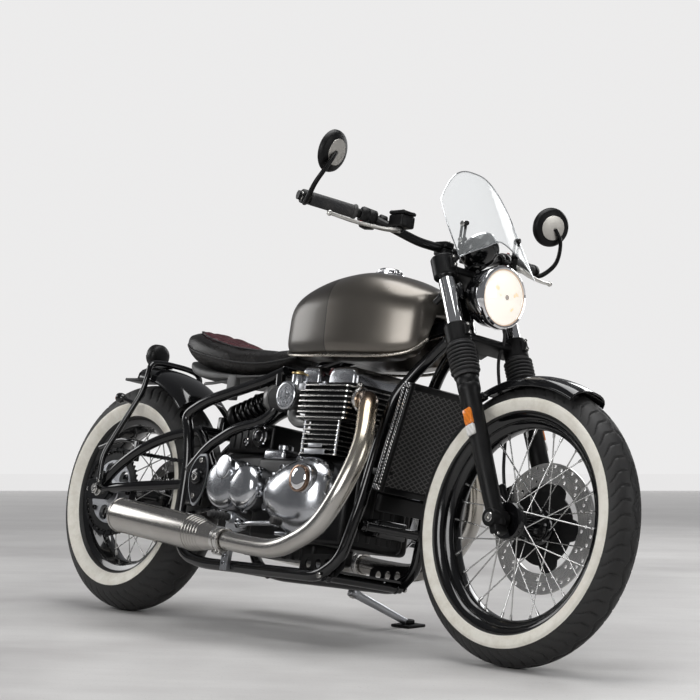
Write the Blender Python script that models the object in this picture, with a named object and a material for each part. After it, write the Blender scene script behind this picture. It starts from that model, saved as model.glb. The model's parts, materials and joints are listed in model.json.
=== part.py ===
"""A bobber motorcycle that leans on its side stand.

Sizes are in metres. Pieces are laid out in the upright machine's own axes: X forward, Y to the left, Z up,
from the ground below the rear axle. One empty then leans the whole machine over.
"""

import math

import bmesh
import bpy
from mathutils import Matrix, Vector

# Stance
LEAN = math.radians(11.1)
WHEELBASE = 1.510
RAKE = math.radians(25.8)
MIDDLE_X = 0.759
MIDDLE_Y = 0.209
GAP = 0.0003
RUN = 0.005

# Wheels: tyre radius, half width and half height of its section, wall above the rim, rim half width
FRONT_TYRE = {"radius": 0.331, "half_width": 0.052, "half_height": 0.060, "wall": 0.076, "rim": 0.040}
REAR_TYRE = {"radius": 0.323, "half_width": 0.075, "half_height": 0.080, "wall": 0.106, "rim": 0.051}
WHEEL_STEPS = 36
SPOKES = 32
SPOKE_RADIUS = 0.0025
RIM_DEPTH = 0.032
BEAD_DEPTH = 0.012
AXLE_RADIUS = 0.010

# Front fork, measured along each leg from the axle
FORK_OFFSET = 0.0648
FORK_HALF = 0.100
SLIDER_RADIUS = 0.024
SLIDER_FOOT = -0.025
LOWER_YOKE = 0.454
UPPER_YOKE = 0.637
YOKE_THICK = 0.050
GAITER_LENGTH = 0.084
COLLAR_LENGTH = 0.040
GAITER_START = LOWER_YOKE - GAITER_LENGTH
COLLAR_START = GAITER_START - COLLAR_LENGTH
NECK_START = LOWER_YOKE + YOKE_THICK + 0.010
NECK_END = UPPER_YOKE - 0.003
FORK_TOP = UPPER_YOKE + 0.054
STANCHION_RADIUS = 0.0205
STEM_RADIUS = 0.016
NECK_RADIUS = 0.030
FRONT_DISC_RADIUS = 0.155
REAR_DISC_RADIUS = 0.127
DISC_THICK = 0.005
FRONT_DISC_Y = 0.064
REAR_DISC_Y = 0.103

# Frame
TUBE_RADIUS = 0.015
BACKBONE_RADIUS = 0.020
CRADLE_HALF = 0.130
RAIL_HEIGHT = 0.153
CAGE_RADIUS = 0.014
PIVOT = (0.430, 0.378)

# Drive
CHAIN_Y = -0.106
CHAIN_WIDTH = 0.014
CHAIN_HEIGHT = 0.015
CHAIN_LINKS = 34
SPROCKET_RADIUS = 0.112
DRIVE_RADIUS = 0.034
DRIVE_CENTRE = (0.560, 0.361)

# Engine
CASE_HALF = 0.117
CASE_TOP = 0.455
BLOCK_TOP = 0.545
HEAD_TOP = 0.632
CAM_TOP = 0.686
HEAD_FRONT = 0.990

# Exhaust
PIPE_RADIUS = 0.024
MUFFLER_RADIUS = 0.046
MUFFLER_Y = 0.240
MUFFLER_JOIN = 0.716

# Bars
BAR_RADIUS = 0.0115
GRIP_RADIUS = 0.0165

# Side stand
STAND_PIVOT = (0.775, 0.160, 0.133)
STAND_FOOT = (0.809, 0.339)
STAND_DROP = 0.14

BLACK = (0.012, 0.012, 0.013)
STEEL = (0.62, 0.60, 0.57)
ALUMINIUM = (0.56, 0.56, 0.57)


def new_collection(name):
    """A collection linked into the scene."""
    made = bpy.data.collections.new(name)
    bpy.context.scene.collection.children.link(made)
    return made


for old in list(bpy.data.objects):
    bpy.data.objects.remove(old)
PARTS = new_collection("bobber_motorcycle")
HELPERS = new_collection("helpers")


def empty(name, location=(0, 0, 0), rotation=(0, 0, 0), parent=None):
    """A named frame that pieces are placed in."""
    made = bpy.data.objects.new(name, None)
    made.location = location
    made.rotation_euler = rotation
    made.parent = parent
    HELPERS.objects.link(made)
    return made


def axle_height(tyre):
    """Height of the axle above the ground line when the leaned section just touches the floor."""
    core = tyre["radius"] - tyre["half_height"]
    return core + math.hypot(tyre["half_height"], tyre["half_width"] * math.tan(LEAN))


REAR_HEIGHT = axle_height(REAR_TYRE)
FRONT_HEIGHT = axle_height(FRONT_TYRE)
HALF_STEP = math.pi / WHEEL_STEPS
UP_FORK = Vector((-math.sin(RAKE), 0, math.cos(RAKE)))
AHEAD_FORK = Vector((math.cos(RAKE), 0, math.sin(RAKE)))
FORK_FOOT = Vector((WHEELBASE, 0, FRONT_HEIGHT)) - FORK_OFFSET * AHEAD_FORK

bike = empty("bike", (-MIDDLE_X, -MIDDLE_Y, 0), (-LEAN, 0, 0))
rear_hub = empty("rear_hub", (0, 0, REAR_HEIGHT), (0, HALF_STEP, 0), bike)
# The fork's empty is on the steering axis, with its own Z up that axis and its X ahead
fork = empty("fork", FORK_FOOT, (0, -RAKE, 0), bike)
# The bars, lamp and dial are laid out in the machine's axes from the stem's top, which carries them
STEM_TOP = Vector((1.150915, 0, 0.925778))
level = empty("level", parent=fork)
level.matrix_local = ((Matrix.Translation(FORK_FOOT) @ Matrix.Rotation(-RAKE, 4, "Y")).inverted()
                      @ Matrix.Translation(FORK_FOOT + FORK_TOP * UP_FORK - STEM_TOP))
front_hub = empty("front_hub", (FORK_OFFSET, 0, 0), (0, RAKE + HALF_STEP, 0), fork)


def finish(name, colour, roughness, metallic=0.0):
    """A Principled material."""
    made = bpy.data.materials.new(name)
    made.use_nodes = True
    shader = made.node_tree.nodes["Principled BSDF"]
    shader.inputs["Base Color"].default_value = (*colour, 1)
    shader.inputs["Roughness"].default_value = roughness
    shader.inputs["Metallic"].default_value = metallic
    return made


GLOSS = finish("gloss black", BLACK, 0.12)
SATIN = finish("satin black", BLACK, 0.4)
RUBBER = finish("rubber", (0.02, 0.02, 0.02), 0.7)
STAINLESS = finish("stainless", STEEL, 0.25, 1)
ALLOY = finish("alloy", ALUMINIUM, 0.3, 1)
CHROME = finish("chrome", (0.8, 0.8, 0.8), 0.08, 1)
PEWTER = finish("pewter paint", (0.17, 0.155, 0.14), 0.35, 0.8)
LEATHER = finish("leather", (0.03, 0.012, 0.012), 0.5)
GLASS = finish("clear screen", (0.9, 0.92, 0.93), 0.05)
LAMP = finish("lamp glass", (1.0, 0.93, 0.8), 0.1)
RED = finish("red lens", (0.5, 0.02, 0.02), 0.2)


def keep(obj, name, parent, material, smooth=True):
    """Names a piece, puts it under its empty and gives it its finish."""
    obj.name = name
    obj.data.name = name
    obj.parent = parent
    obj.data.materials.clear()
    obj.data.materials.append(material)
    if smooth:
        obj.data.shade_smooth()
        obj.data.set_sharp_from_angle(angle=math.radians(35))
    return obj


def from_bmesh(name, mesh):
    """An object from a bmesh, with its faces turned out."""
    bmesh.ops.recalc_face_normals(mesh, faces=mesh.faces)
    data = bpy.data.meshes.new(name)
    mesh.to_mesh(data)
    mesh.free()
    made = bpy.data.objects.new(name, data)
    PARTS.objects.link(made)
    return made


def rod(start, end, radius, end_radius=None, sides=12):
    """A cylinder or cone between two points."""
    start = Vector(start)
    line = Vector(end) - start
    turn = line.to_track_quat("Z", "Y").to_matrix().to_4x4()
    place = Matrix.Translation(start + line / 2) @ turn
    mesh = bmesh.new()
    last = radius if end_radius is None else end_radius
    bmesh.ops.create_cone(mesh, cap_ends=True, segments=sides, radius1=radius, radius2=last,
                          depth=line.length, matrix=place)
    return from_bmesh("rod", mesh)


def box(low, high, bevel=0.0, turn=None):
    """A box between two corners, with its edges bevelled and turned about its centre."""
    low = Vector(low)
    high = Vector(high)
    size = high - low
    place = Matrix.Translation((low + high) / 2)
    if turn is not None:
        place = place @ turn.to_4x4()
    mesh = bmesh.new()
    bmesh.ops.create_cube(mesh, size=1, matrix=place @ Matrix.Diagonal((*size, 1)))
    if bevel:
        bmesh.ops.bevel(mesh, geom=mesh.edges[:], offset=bevel, segments=1, profile=0.5,
                        affect="EDGES", material=-1)
    return from_bmesh("box", mesh)


def lathe(profile, start, direction, steps=24, angle=2 * math.pi):
    """A turned piece. The profile is (radius, distance along the axis) and closes on itself."""
    mesh = bmesh.new()
    points = [mesh.verts.new((radius, 0, along)) for radius, along in profile]
    edges = [mesh.edges.new((a, b)) for a, b in zip(points, points[1:] + points[:1])
             if a.co.x > 0 or b.co.x > 0]
    full = angle > 2 * math.pi - 0.001
    bmesh.ops.spin(mesh, geom=points + edges, cent=(0, 0, 0), axis=(0, 0, 1), angle=angle, steps=steps,
                   use_merge=full, use_duplicate=False)
    bmesh.ops.remove_doubles(mesh, verts=mesh.verts, dist=0.00001)
    if not full:
        bmesh.ops.holes_fill(mesh, edges=[edge for edge in mesh.edges if edge.is_boundary], sides=0)
    turn = Vector(direction).to_track_quat("Z", "Y").to_matrix().to_4x4()
    bmesh.ops.transform(mesh, matrix=Matrix.Translation(start) @ turn, verts=mesh.verts)
    return from_bmesh("lathe", mesh)


def ring(inner, outer, start, end, sides=24):
    """A plain ring or sleeve along the line from start to end."""
    length = (Vector(end) - Vector(start)).length
    return lathe([(inner, 0), (outer, 0), (outer, length), (inner, length)], start,
                 Vector(end) - Vector(start), sides)


def smooth_path(points, closeness):
    """Points on a Catmull-Rom curve through the given points, so many to each span."""
    given = [Vector(point) for point in points]
    ends = [2 * given[0] - given[1]] + given + [2 * given[-1] - given[-2]]
    path = []
    for a, b, c, d in zip(ends, ends[1:], ends[2:], ends[3:]):
        for step in range(closeness):
            t = step / closeness
            path.append(0.5 * (2 * b + (c - a) * t + (2 * a - 5 * b + 4 * c - d) * t * t
                               + (3 * b - a - 3 * c + d) * t ** 3))
    return path + [given[-1]]


def tube(points, radius, closeness=3, sides=8, radii=None):
    """A bent tube as a mesh: a curve with a bevel, its caps welded."""
    path = smooth_path(points, closeness)
    curve = bpy.data.curves.new("tube", "CURVE")
    curve.dimensions = "3D"
    curve.bevel_depth = radius
    curve.bevel_resolution = sides // 2 - 2
    curve.use_fill_caps = True
    spline = curve.splines.new("POLY")
    spline.points.add(len(path) - 1)
    for index, (point, place) in enumerate(zip(spline.points, path)):
        point.co = (*place, 1)
        if radii:
            share = index / (len(path) - 1) * (len(radii) - 1)
            low = min(int(share), len(radii) - 2)
            point.radius = radii[low] + (radii[low + 1] - radii[low]) * (share - low)
    bent = bpy.data.objects.new("tube", curve)
    HELPERS.objects.link(bent)
    bpy.context.view_layer.update()
    data = bpy.data.meshes.new_from_object(bent.evaluated_get(bpy.context.evaluated_depsgraph_get()))
    bpy.data.objects.remove(bent)
    mesh = bmesh.new()
    mesh.from_mesh(data)
    bmesh.ops.remove_doubles(mesh, verts=mesh.verts, dist=0.00001)
    return from_bmesh("tube", mesh)


def combine(base, others, operation="UNION"):
    """Joins pieces to the base, or cuts them from it, with Boolean modifiers."""
    for other in others:
        PARTS.objects.unlink(other)
        HELPERS.objects.link(other)
        other.hide_render = True
        other.display_type = "WIRE"
        modifier = base.modifiers.new(operation.lower(), "BOOLEAN")
        modifier.operation = operation
        modifier.object = other
    bpy.context.view_layer.update()
    data = bpy.data.meshes.new_from_object(base.evaluated_get(bpy.context.evaluated_depsgraph_get()))
    base.modifiers.clear()
    base.data = data
    for other in others:
        bpy.data.objects.remove(other)
    return base


def join(pieces):
    """One solid from several that overlap."""
    return combine(pieces[0], pieces[1:])


def cut(piece, cutters):
    """A solid less its cutters."""
    return combine(piece, cutters, "DIFFERENCE")


def mirrored(point, side):
    """A point given for the left side, moved to the side asked for."""
    return Vector((point[0], side * point[1], point[2]))


def both(points):
    """The same path on the left and on the right."""
    return [[mirrored(point, side) for point in points] for side in (1, -1)]


def loft(sections, rounding, count=16, under=None):
    """A closed skin over sections along X, each (x, half width, bottom, top). The lower half can be squarer."""
    mesh = bmesh.new()
    rings = []
    for x, half, low, high in sections:
        loop = []
        for step in range(count):
            turn = 2 * math.pi * (step + 0.5) / count
            square = under if under and turn > math.pi else rounding
            across = math.copysign(abs(math.cos(turn)) ** square, math.cos(turn))
            rise = math.copysign(abs(math.sin(turn)) ** square, math.sin(turn))
            loop.append(mesh.verts.new((x, half * across, (low + high) / 2 + (high - low) / 2 * rise)))
        rings.append(loop)
    for first, second in zip(rings, rings[1:]):
        for step in range(count):
            after = (step + 1) % count
            mesh.faces.new((first[step], first[after], second[after], second[step]))
    mesh.faces.new(rings[0])
    mesh.faces.new(rings[-1])
    return from_bmesh("loft", mesh)


SIDES = {"left": 1, "right": -1}


def flange_of(sizes):
    """Radius of the rim's flange, which the tyre's wall stands on."""
    return sizes["radius"] - sizes["wall"]


def tyre(name, sizes, parent):
    """A tyre: an elliptical crown, sidewalls drawn in to the rim flanges, and a flat bead seat."""
    core = sizes["radius"] - sizes["half_height"]
    contact = math.atan2(sizes["half_width"] * math.tan(LEAN), sizes["half_height"])
    turns = [-math.pi / 2, -0.95, -contact, contact, 0.95, math.pi / 2]
    grow = 1 / math.cos(HALF_STEP)
    crown = [((core + sizes["half_height"] * math.cos(turn)) * grow, sizes["half_width"] * math.sin(turn))
             for turn in turns]
    seat = flange_of(sizes) - BEAD_DEPTH
    inner = sizes["rim"] - 0.005 - 2 * GAP
    side = [(flange_of(sizes) + 0.002, sizes["rim"] + 0.004), (flange_of(sizes) + 0.002, inner),
            (seat, inner), (seat, -inner), (flange_of(sizes) + 0.002, -inner),
            (flange_of(sizes) + 0.002, -sizes["rim"] - 0.004)]
    piece = lathe(crown + side, (0, 0, 0), (0, 1, 0), WHEEL_STEPS)
    keep(piece, name, parent, RUBBER)


def laced_wheel(name, sizes, parent, hub):
    """A rim, its hub and the crossed spokes between them. The hub is (radius, half width, flange radius)."""
    flange = flange_of(sizes)
    half = sizes["rim"]
    seat = flange - BEAD_DEPTH - GAP
    inner = flange - RIM_DEPTH
    lip = half - 0.005
    rim = lathe([(inner, -0.014), (flange, -half), (flange, -lip), (seat, -lip), (seat, lip), (flange, lip),
                 (flange, half), (inner, 0.014)], (0, 0, 0), (0, 1, 0), WHEEL_STEPS)
    radius, hub_half, flange_radius = hub
    thick = 0.008
    bore = AXLE_RADIUS + 0.0008
    nose = nose_radius(hub)
    core = lathe([(bore, -hub_half - 0.006), (nose, -hub_half - 0.006), (nose, -hub_half),
                  (flange_radius, -hub_half), (flange_radius, thick - hub_half), (radius, thick - hub_half),
                  (radius, hub_half - thick), (flange_radius, hub_half - thick), (flange_radius, hub_half),
                  (nose, hub_half), (nose, hub_half + 0.006), (bore, hub_half + 0.006)],
                 (0, 0, 0), (0, 1, 0), 14)
    spokes = []
    for number in range(SPOKES):
        side = 1 if number % 2 else -1
        lead = math.radians(38) if number % 4 < 2 else -math.radians(38)
        at = 2 * math.pi * number / SPOKES
        foot = (flange_radius - 0.006, at + lead)
        head = (inner + 0.004, at)
        out = hub_half - thick * (0.3 if lead > 0 else 0.7)
        start = (foot[0] * math.cos(foot[1]), side * out, foot[0] * math.sin(foot[1]))
        end = (head[0] * math.cos(head[1]), side * 0.006, head[0] * math.sin(head[1]))
        spokes.append(rod(start, end, SPOKE_RADIUS, sides=3))
    keep(join([rim, core] + spokes), name, parent, GLOSS)


def around(count, reach, y, radius, sides):
    """Round cutters in a circle about a wheel's axis."""
    turns = [2 * math.pi * number / count for number in range(count)]
    places = [(reach * math.cos(turn), reach * math.sin(turn)) for turn in turns]
    return [rod((x, y - 0.02, z), (x, y + 0.02, z), radius, sides=sides) for x, z in places]


def disc(name, radius, y, parent, hub, holes):
    """A drilled brake disc: a flat ring on a carrier that seats on the hub's flange."""
    bore = nose_radius(hub) + 0.001
    carrier = hub[1] + GAP
    half = DISC_THICK / 2
    piece = lathe([(bore, carrier), (carrier_radius(radius), carrier), (carrier_radius(radius), y - half),
                   (radius, y - half), (radius, y + half), (bore, y + half)], (0, 0, 0), (0, 1, 0), 22)
    keep(cut(piece, around(holes, radius * 0.8, y, radius * 0.045, 6)), name, parent, STAINLESS)


def nose_radius(hub):
    """Radius of the short spigot at each end of a hub."""
    return hub[0] * 0.6


def carrier_radius(radius):
    """Outer radius of the boss that a disc is carried on."""
    return radius * 0.3


FRONT_HUB = (0.028, 0.050, 0.044)
REAR_HUB = (0.040, 0.068, 0.056)


def wheels():
    """Both wheels with their tyres, discs and the rear sprocket."""
    tyre("front_tyre", FRONT_TYRE, front_hub)
    tyre("rear_tyre", REAR_TYRE, rear_hub)
    laced_wheel("front_wheel_laced", FRONT_TYRE, front_hub, FRONT_HUB)
    laced_wheel("rear_wheel_laced", REAR_TYRE, rear_hub, REAR_HUB)
    disc("front_disc", FRONT_DISC_RADIUS, FRONT_DISC_Y, front_hub, FRONT_HUB, 8)
    disc("rear_disc", REAR_DISC_RADIUS, REAR_DISC_Y, rear_hub, REAR_HUB, 8)
    seat = -(REAR_HUB[1] + GAP)
    bore = nose_radius(REAR_HUB) + 0.001
    half = CHAIN_WIDTH / 4
    sprocket = lathe([(bore, CHAIN_Y - half), (SPROCKET_RADIUS, CHAIN_Y - half),
                      (SPROCKET_RADIUS, CHAIN_Y + half), (0.046, CHAIN_Y + half), (0.046, seat),
                      (bore, seat)], (0, 0, 0), (0, 1, 0), 24)
    windows = around(5, SPROCKET_RADIUS * 0.7, CHAIN_Y, SPROCKET_RADIUS * 0.17, 6)
    keep(cut(sprocket, windows), "rear_sprocket", rear_hub, STAINLESS)


def yoke(low, high):
    """One fork yoke: a boss on the stem, a boss round each leg and the web between them."""
    thin = (high - low) * 0.3
    boss = rod((0, 0, low), (0, 0, high), 0.023, sides=16)
    legs = [rod((FORK_OFFSET, side * FORK_HALF, low), (FORK_OFFSET, side * FORK_HALF, high), 0.030, sides=12)
            for side in (1, -1)]
    web = box((0.024, -FORK_HALF, low + thin), (FORK_OFFSET + 0.012, FORK_HALF, high - thin))
    middle = box((0.002, -0.040, low + thin), (0.026, 0.040, high - thin))
    return join([boss, middle, web] + legs)


def forks():
    """Yokes, stem and stanchions as one piece, then gaiters, sliders, fender and caliper."""
    lower = yoke(LOWER_YOKE, LOWER_YOKE + YOKE_THICK)
    upper = yoke(UPPER_YOKE, FORK_TOP)
    stem = rod((0, 0, LOWER_YOKE + 0.01), (0, 0, FORK_TOP - 0.01), STEM_RADIUS, sides=16)
    stanchions = [rod((FORK_OFFSET, side * FORK_HALF, GAITER_START + GAP),
                      (FORK_OFFSET, side * FORK_HALF, FORK_TOP + 0.006), STANCHION_RADIUS, sides=16)
                  for side in (1, -1)]
    keep(join([lower, upper, stem] + stanchions), "fork_yokes", fork, GLOSS)
    for name, side in SIDES.items():
        folds = 5
        start = GAITER_START + 2 * GAP
        pitch = (LOWER_YOKE - GAP - start) / folds
        outside = []
        for fold in range(folds):
            outside += [(0.029, start + fold * pitch), (0.036, start + (fold + 0.5) * pitch)]
        outside.append((0.029, start + folds * pitch))
        bore = STANCHION_RADIUS + 4 * GAP
        profile = [(bore, start)] + outside + [(bore, start + folds * pitch)]
        boot = lathe(profile, (FORK_OFFSET, side * FORK_HALF, 0), (0, 0, 1), 12)
        keep(boot, "fork_gaiter_" + name, fork, RUBBER)
    pieces = []
    for side in (1, -1):
        foot = (FORK_OFFSET, side * FORK_HALF)
        pieces.append(rod((*foot, SLIDER_FOOT), (*foot, COLLAR_START + 0.002), SLIDER_RADIUS, sides=16))
        pieces.append(rod((*foot, COLLAR_START), (*foot, GAITER_START), 0.0275, sides=16))
    pieces.append(rod((FORK_OFFSET, -FORK_HALF - 0.028, 0), (FORK_OFFSET, FORK_HALF + 0.028, 0), AXLE_RADIUS,
                      sides=16))
    keep(join(pieces), "fork_legs", fork, SATIN)


def arch(radius, half_width, skirt, start, end, thick=0.003, steps=12):
    """A mudguard: a curved section swept about an axle. Angles are from straight up, forward positive."""
    outside = [(radius - skirt, -half_width), (radius - skirt * 0.35, -half_width),
               (radius, -half_width * 0.45), (radius, half_width * 0.45),
               (radius - skirt * 0.35, half_width), (radius - skirt, half_width)]
    inner = half_width - thick
    inside = [(radius - skirt, inner), (radius - skirt * 0.35, inner),
              (radius - thick, half_width * 0.45), (radius - thick, -half_width * 0.45),
              (radius - skirt * 0.35, -inner), (radius - skirt, -inner)]
    mesh = bmesh.new()
    points = [mesh.verts.new((0, y, r)) for r, y in outside + inside]
    face = mesh.faces.new(points)
    bmesh.ops.rotate(mesh, verts=points, cent=(0, 0, 0), matrix=Matrix.Rotation(start, 3, "Y"))
    swept = bmesh.ops.spin(mesh, geom=[face], cent=(0, 0, 0), axis=(0, 1, 0), angle=end - start, steps=steps,
                           use_duplicate=False)
    return from_bmesh("arch", mesh)


def front_end():
    """What is carried by the fork: mudguard, caliper, lamp, dial, screen, bars and what is on them."""
    guard = arch(FRONT_TYRE["radius"] + 0.019, FRONT_TYRE["half_width"] + 0.004, 0.030, math.radians(-30),
                 math.radians(26))
    guard.data.transform(Matrix.Rotation(RAKE, 4, "Y"))
    guard.data.transform(Matrix.Translation((FORK_OFFSET, 0, 0)))
    reach = FORK_HALF - SLIDER_RADIUS - GAP
    ties = []
    for side in (1, -1):
        inner, outer = sorted((side * 0.054, side * reach))
        ties.append(box((FORK_OFFSET - 0.012, inner, 0.310), (FORK_OFFSET + 0.012, outer, 0.328)))
    keep(join([guard] + ties), "front_fender", fork, GLOSS)

    leg = FORK_OFFSET
    caliper = box((-0.085, 0.038, 0.060), (-0.010, 0.090, 0.150), 0.006)
    bridge = box((-0.030, 0.078, 0.085), (leg - 0.010, 0.090, 0.125))
    slider = rod((leg, FORK_HALF, 0.05), (leg, FORK_HALF, 0.16), SLIDER_RADIUS + GAP, sides=16)
    slot = lathe([(0, FRONT_DISC_Y - 0.0075), (FRONT_DISC_RADIUS + RUN, FRONT_DISC_Y - 0.0075),
                  (FRONT_DISC_RADIUS + RUN, FRONT_DISC_Y + 0.0075), (0, FRONT_DISC_Y + 0.0075)],
                 (leg, 0, 0), (0, 1, 0), 32)
    keep(cut(join([caliper, bridge]), [slot, slider]), "front_caliper", fork, SATIN)

    lamp = (1.337, 0, 0.875)
    shell = lathe([(0, 0), (0.038, 0), (0.062, 0.022), (0.074, 0.068), (0.078, 0.075), (0.078, 0.095),
                   (0.070, 0.095), (0.060, 0.101), (0, 0.107)], (lamp[0] - 0.095, 0, lamp[2]), (1, 0, 0), 24)
    ears = [rod((1.256, side * 0.040, 0.870), (1.256, side * 0.0788, 0.870), 0.010) for side in (1, -1)]
    keep(join([shell] + ears), "headlight", level, GLOSS)



def swing():
    """The rear swing cage with the axle, its pivot tube and the shock's lug."""
    axle = rod((0, -0.166, REAR_HEIGHT), (0, 0.166, REAR_HEIGHT), AXLE_RADIUS, sides=16)
    pivot = rod((PIVOT[0], -0.098, PIVOT[1]), (PIVOT[0], 0.098, PIVOT[1]), 0.020, sides=16)
    cross = rod((0.332, -0.088, 0.512), (0.332, 0.088, 0.512), CAGE_RADIUS)
    lug = box((0.318, -0.020, 0.505), (0.348, 0.020, 0.560), 0.004)
    pieces = [cross, lug, axle, pivot]
    upper = [(-0.005, 0.148, REAR_HEIGHT), (0.055, 0.148, 0.385), (0.140, 0.140, 0.440), (0.200, 0.118, 0.476),
             (0.262, 0.097, 0.499), (0.318, 0.082, 0.510), (0.342, 0.079, 0.503), (PIVOT[0], 0.079, PIVOT[1])]
    lower = [(0, 0.148, REAR_HEIGHT), (0.120, 0.140, 0.338), (0.240, 0.102, 0.354), (0.320, 0.080, 0.364),
             (PIVOT[0], 0.079, PIVOT[1])]
    for path in both(upper) + both(lower):
        pieces.append(tube(path, CAGE_RADIUS, 1))
    for side in (1, -1):
        inner, outer = sorted((side * 0.140, side * 0.156))
        pieces.append(box((-0.050, inner, REAR_HEIGHT - 0.028), (0.040, outer, REAR_HEIGHT + 0.028), 0.002))
    keep(join(pieces), "swing_cage", bike, GLOSS)


def frame():
    """Neck, backbone, cradle, rails, pivot plates and the stand's lug."""
    def on_axis(along, ahead=0.0):
        return FORK_FOOT + along * UP_FORK + ahead * AHEAD_FORK

    neck = rod(on_axis(NECK_START), on_axis(NECK_END), NECK_RADIUS, sides=16)
    hollow = rod(on_axis(NECK_START - 0.01), on_axis(NECK_END + 0.01), STEM_RADIUS + 0.0008, sides=16)
    pieces = [neck]
    backbone = [on_axis(0.5726, -0.0305), (0.960, 0, 0.756), (0.760, 0, 0.716), (0.655, 0, 0.676)]
    pieces.append(tube(backbone, BACKBONE_RADIUS, 1, 12))
    pieces.append(rod((0.655, -0.082, 0.676), (0.655, 0.082, 0.676), TUBE_RADIUS))
    front = [on_axis(0.5356, -0.0251) + Vector((0, 0.016, 0)), on_axis(0.5012, -0.1261) + Vector((0, 0.034, 0)),
             (1.065, 0.056, 0.620), (1.058, 0.080, 0.510),
             (1.056, 0.112, 0.336), (1.030, 0.128, 0.200), (0.960, CRADLE_HALF, RAIL_HEIGHT),
             (0.500, CRADLE_HALF, RAIL_HEIGHT), (0.410, CRADLE_HALF, 0.166), (0.366, CRADLE_HALF, 0.225),
             (0.364, CRADLE_HALF, 0.410), (0.345, CRADLE_HALF, 0.500), (0.318, CRADLE_HALF, 0.545),
             (0.394, 0.122, 0.587), (0.595, 0.100, 0.645), (0.655, 0.080, 0.676)]
    loop = [(0.362, 0.1275, 0.390), (0.438, 0.1275, 0.464), (0.533, 0.122, 0.514),
            (0.634, 0.112, 0.537), (0.672, 0.100, 0.580), (0.646, 0.086, 0.664)]
    for path in both(front):
        pieces.append(tube(path, TUBE_RADIUS, 1))
    for path in both(loop):
        pieces.append(tube(path, TUBE_RADIUS - 0.001, 1))
    for x, half, z in ((1.057, 0.105, 0.290), (0.600, 0.098, 0.646), (0.470, CRADLE_HALF, 0.155),
                       (0.980, CRADLE_HALF, 0.155)):
        pieces.append(rod((x, -half, z), (x, half, z), 0.012))
    pieces.append(box((1.0154, -0.050, 0.268), (1.062, 0.050, 0.312), 0.004))
    pieces.append(box((0.586, -0.020, 0.612), (0.612, 0.020, 0.655), 0.004))
    for side in (1, -1):
        pieces.append(rod((PIVOT[0], side * 0.0984, PIVOT[1]), (PIVOT[0], side * 0.140, PIVOT[1]), 0.026))
        pieces.append(box((0.360, side * CRADLE_HALF - 0.006, 0.330), (0.440, side * CRADLE_HALF + 0.006,
                                                                        0.425), 0.003))
    keep(cut(join(pieces + stand_lug()), [hollow]), "main_frame", bike, GLOSS)


def tank():
    """The fuel tank with its tunnel over the backbone, and the cap on top."""
    # x, half width, bottom, top
    sections = [(0.660, 0.050, 0.744, 0.800), (0.672, 0.095, 0.728, 0.858), (0.700, 0.122, 0.712, 0.888),
                (0.760, 0.138, 0.706, 0.913), (0.840, 0.146, 0.704, 0.933), (0.930, 0.144, 0.704, 0.942),
                (1.010, 0.128, 0.706, 0.931), (1.080, 0.104, 0.714, 0.909), (1.125, 0.082, 0.733, 0.888),
                (1.147, 0.058, 0.764, 0.866)]
    body = loft(sections, 0.76, 20, 0.42)
    tunnel = [(1.230, 0, 0.8175), (0.960, 0, 0.756), (0.760, 0, 0.716), (0.600, 0, 0.652)]
    bores = []
    for start, end in zip(tunnel, tunnel[1:]):
        line = Vector(end) - Vector(start)
        turn = Matrix.Rotation(-math.atan2(line.z, line.x) + math.pi, 3, "Y")
        middle = (Vector(start) + Vector(end)) / 2
        size = Vector((line.length / 2 + 0.010, BACKBONE_RADIUS + 0.010, BACKBONE_RADIUS + 0.0009))
        bores.append(box(middle - size, middle + size, turn=turn))
    bores.append(box((0.640, -BACKBONE_RADIUS - 0.010, 0.640), (1.145, BACKBONE_RADIUS + 0.010, 0.7165)))
    bores.append(box((1.000, -BACKBONE_RADIUS - 0.030, 0.640), (1.200, BACKBONE_RADIUS + 0.030, 0.778)))
    keep(cut(body, bores), "fuel_tank", bike, PEWTER)
    cap = lathe([(0, 0), (0.038, 0), (0.038, 0.005), (0.030, 0.008), (0.030, 0.016), (0.022, 0.020),
                 (0, 0.020)], (0.917, 0, 0.9412), (0, 0, 1), 24)
    keep(cap, "fuel_cap", bike, CHROME)


def saddle():
    """The seat on its pan, with the pan's bracket down to the frame."""
    sections = [(0.219, 0.060, 0.762, 0.779), (0.2346, 0.098, 0.7325, 0.7915), (0.2865, 0.124, 0.692, 0.791),
                (0.3557, 0.130, 0.6791, 0.770), (0.4335, 0.124, 0.6705, 0.7505), (0.5027, 0.106, 0.6676, 0.7416),
                (0.5632, 0.088, 0.6734, 0.7394), (0.6151, 0.070, 0.689, 0.743), (0.648, 0.052, 0.706, 0.742)]
    keep(loft(sections, 0.62, 16), "seat", bike, LEATHER)
    pan = [(0.250, 0.060, 0.690, 0.714), (0.2865, 0.084, 0.664, 0.6917), (0.3557, 0.096, 0.652, 0.6788),
           (0.4335, 0.098, 0.6505, 0.6702), (0.5027, 0.086, 0.656, 0.6673), (0.5632, 0.070, 0.662, 0.6731)]
    plate = loft(pan, 0.5, 12)
    legs = [box((0.440, side * 0.089 - 0.0105, 0.596), (0.465, side * 0.089 + 0.0105, 0.668), 0.002)
            for side in (1, -1)]
    keep(join([plate] + legs), "seat_pan", bike, SATIN)


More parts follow.
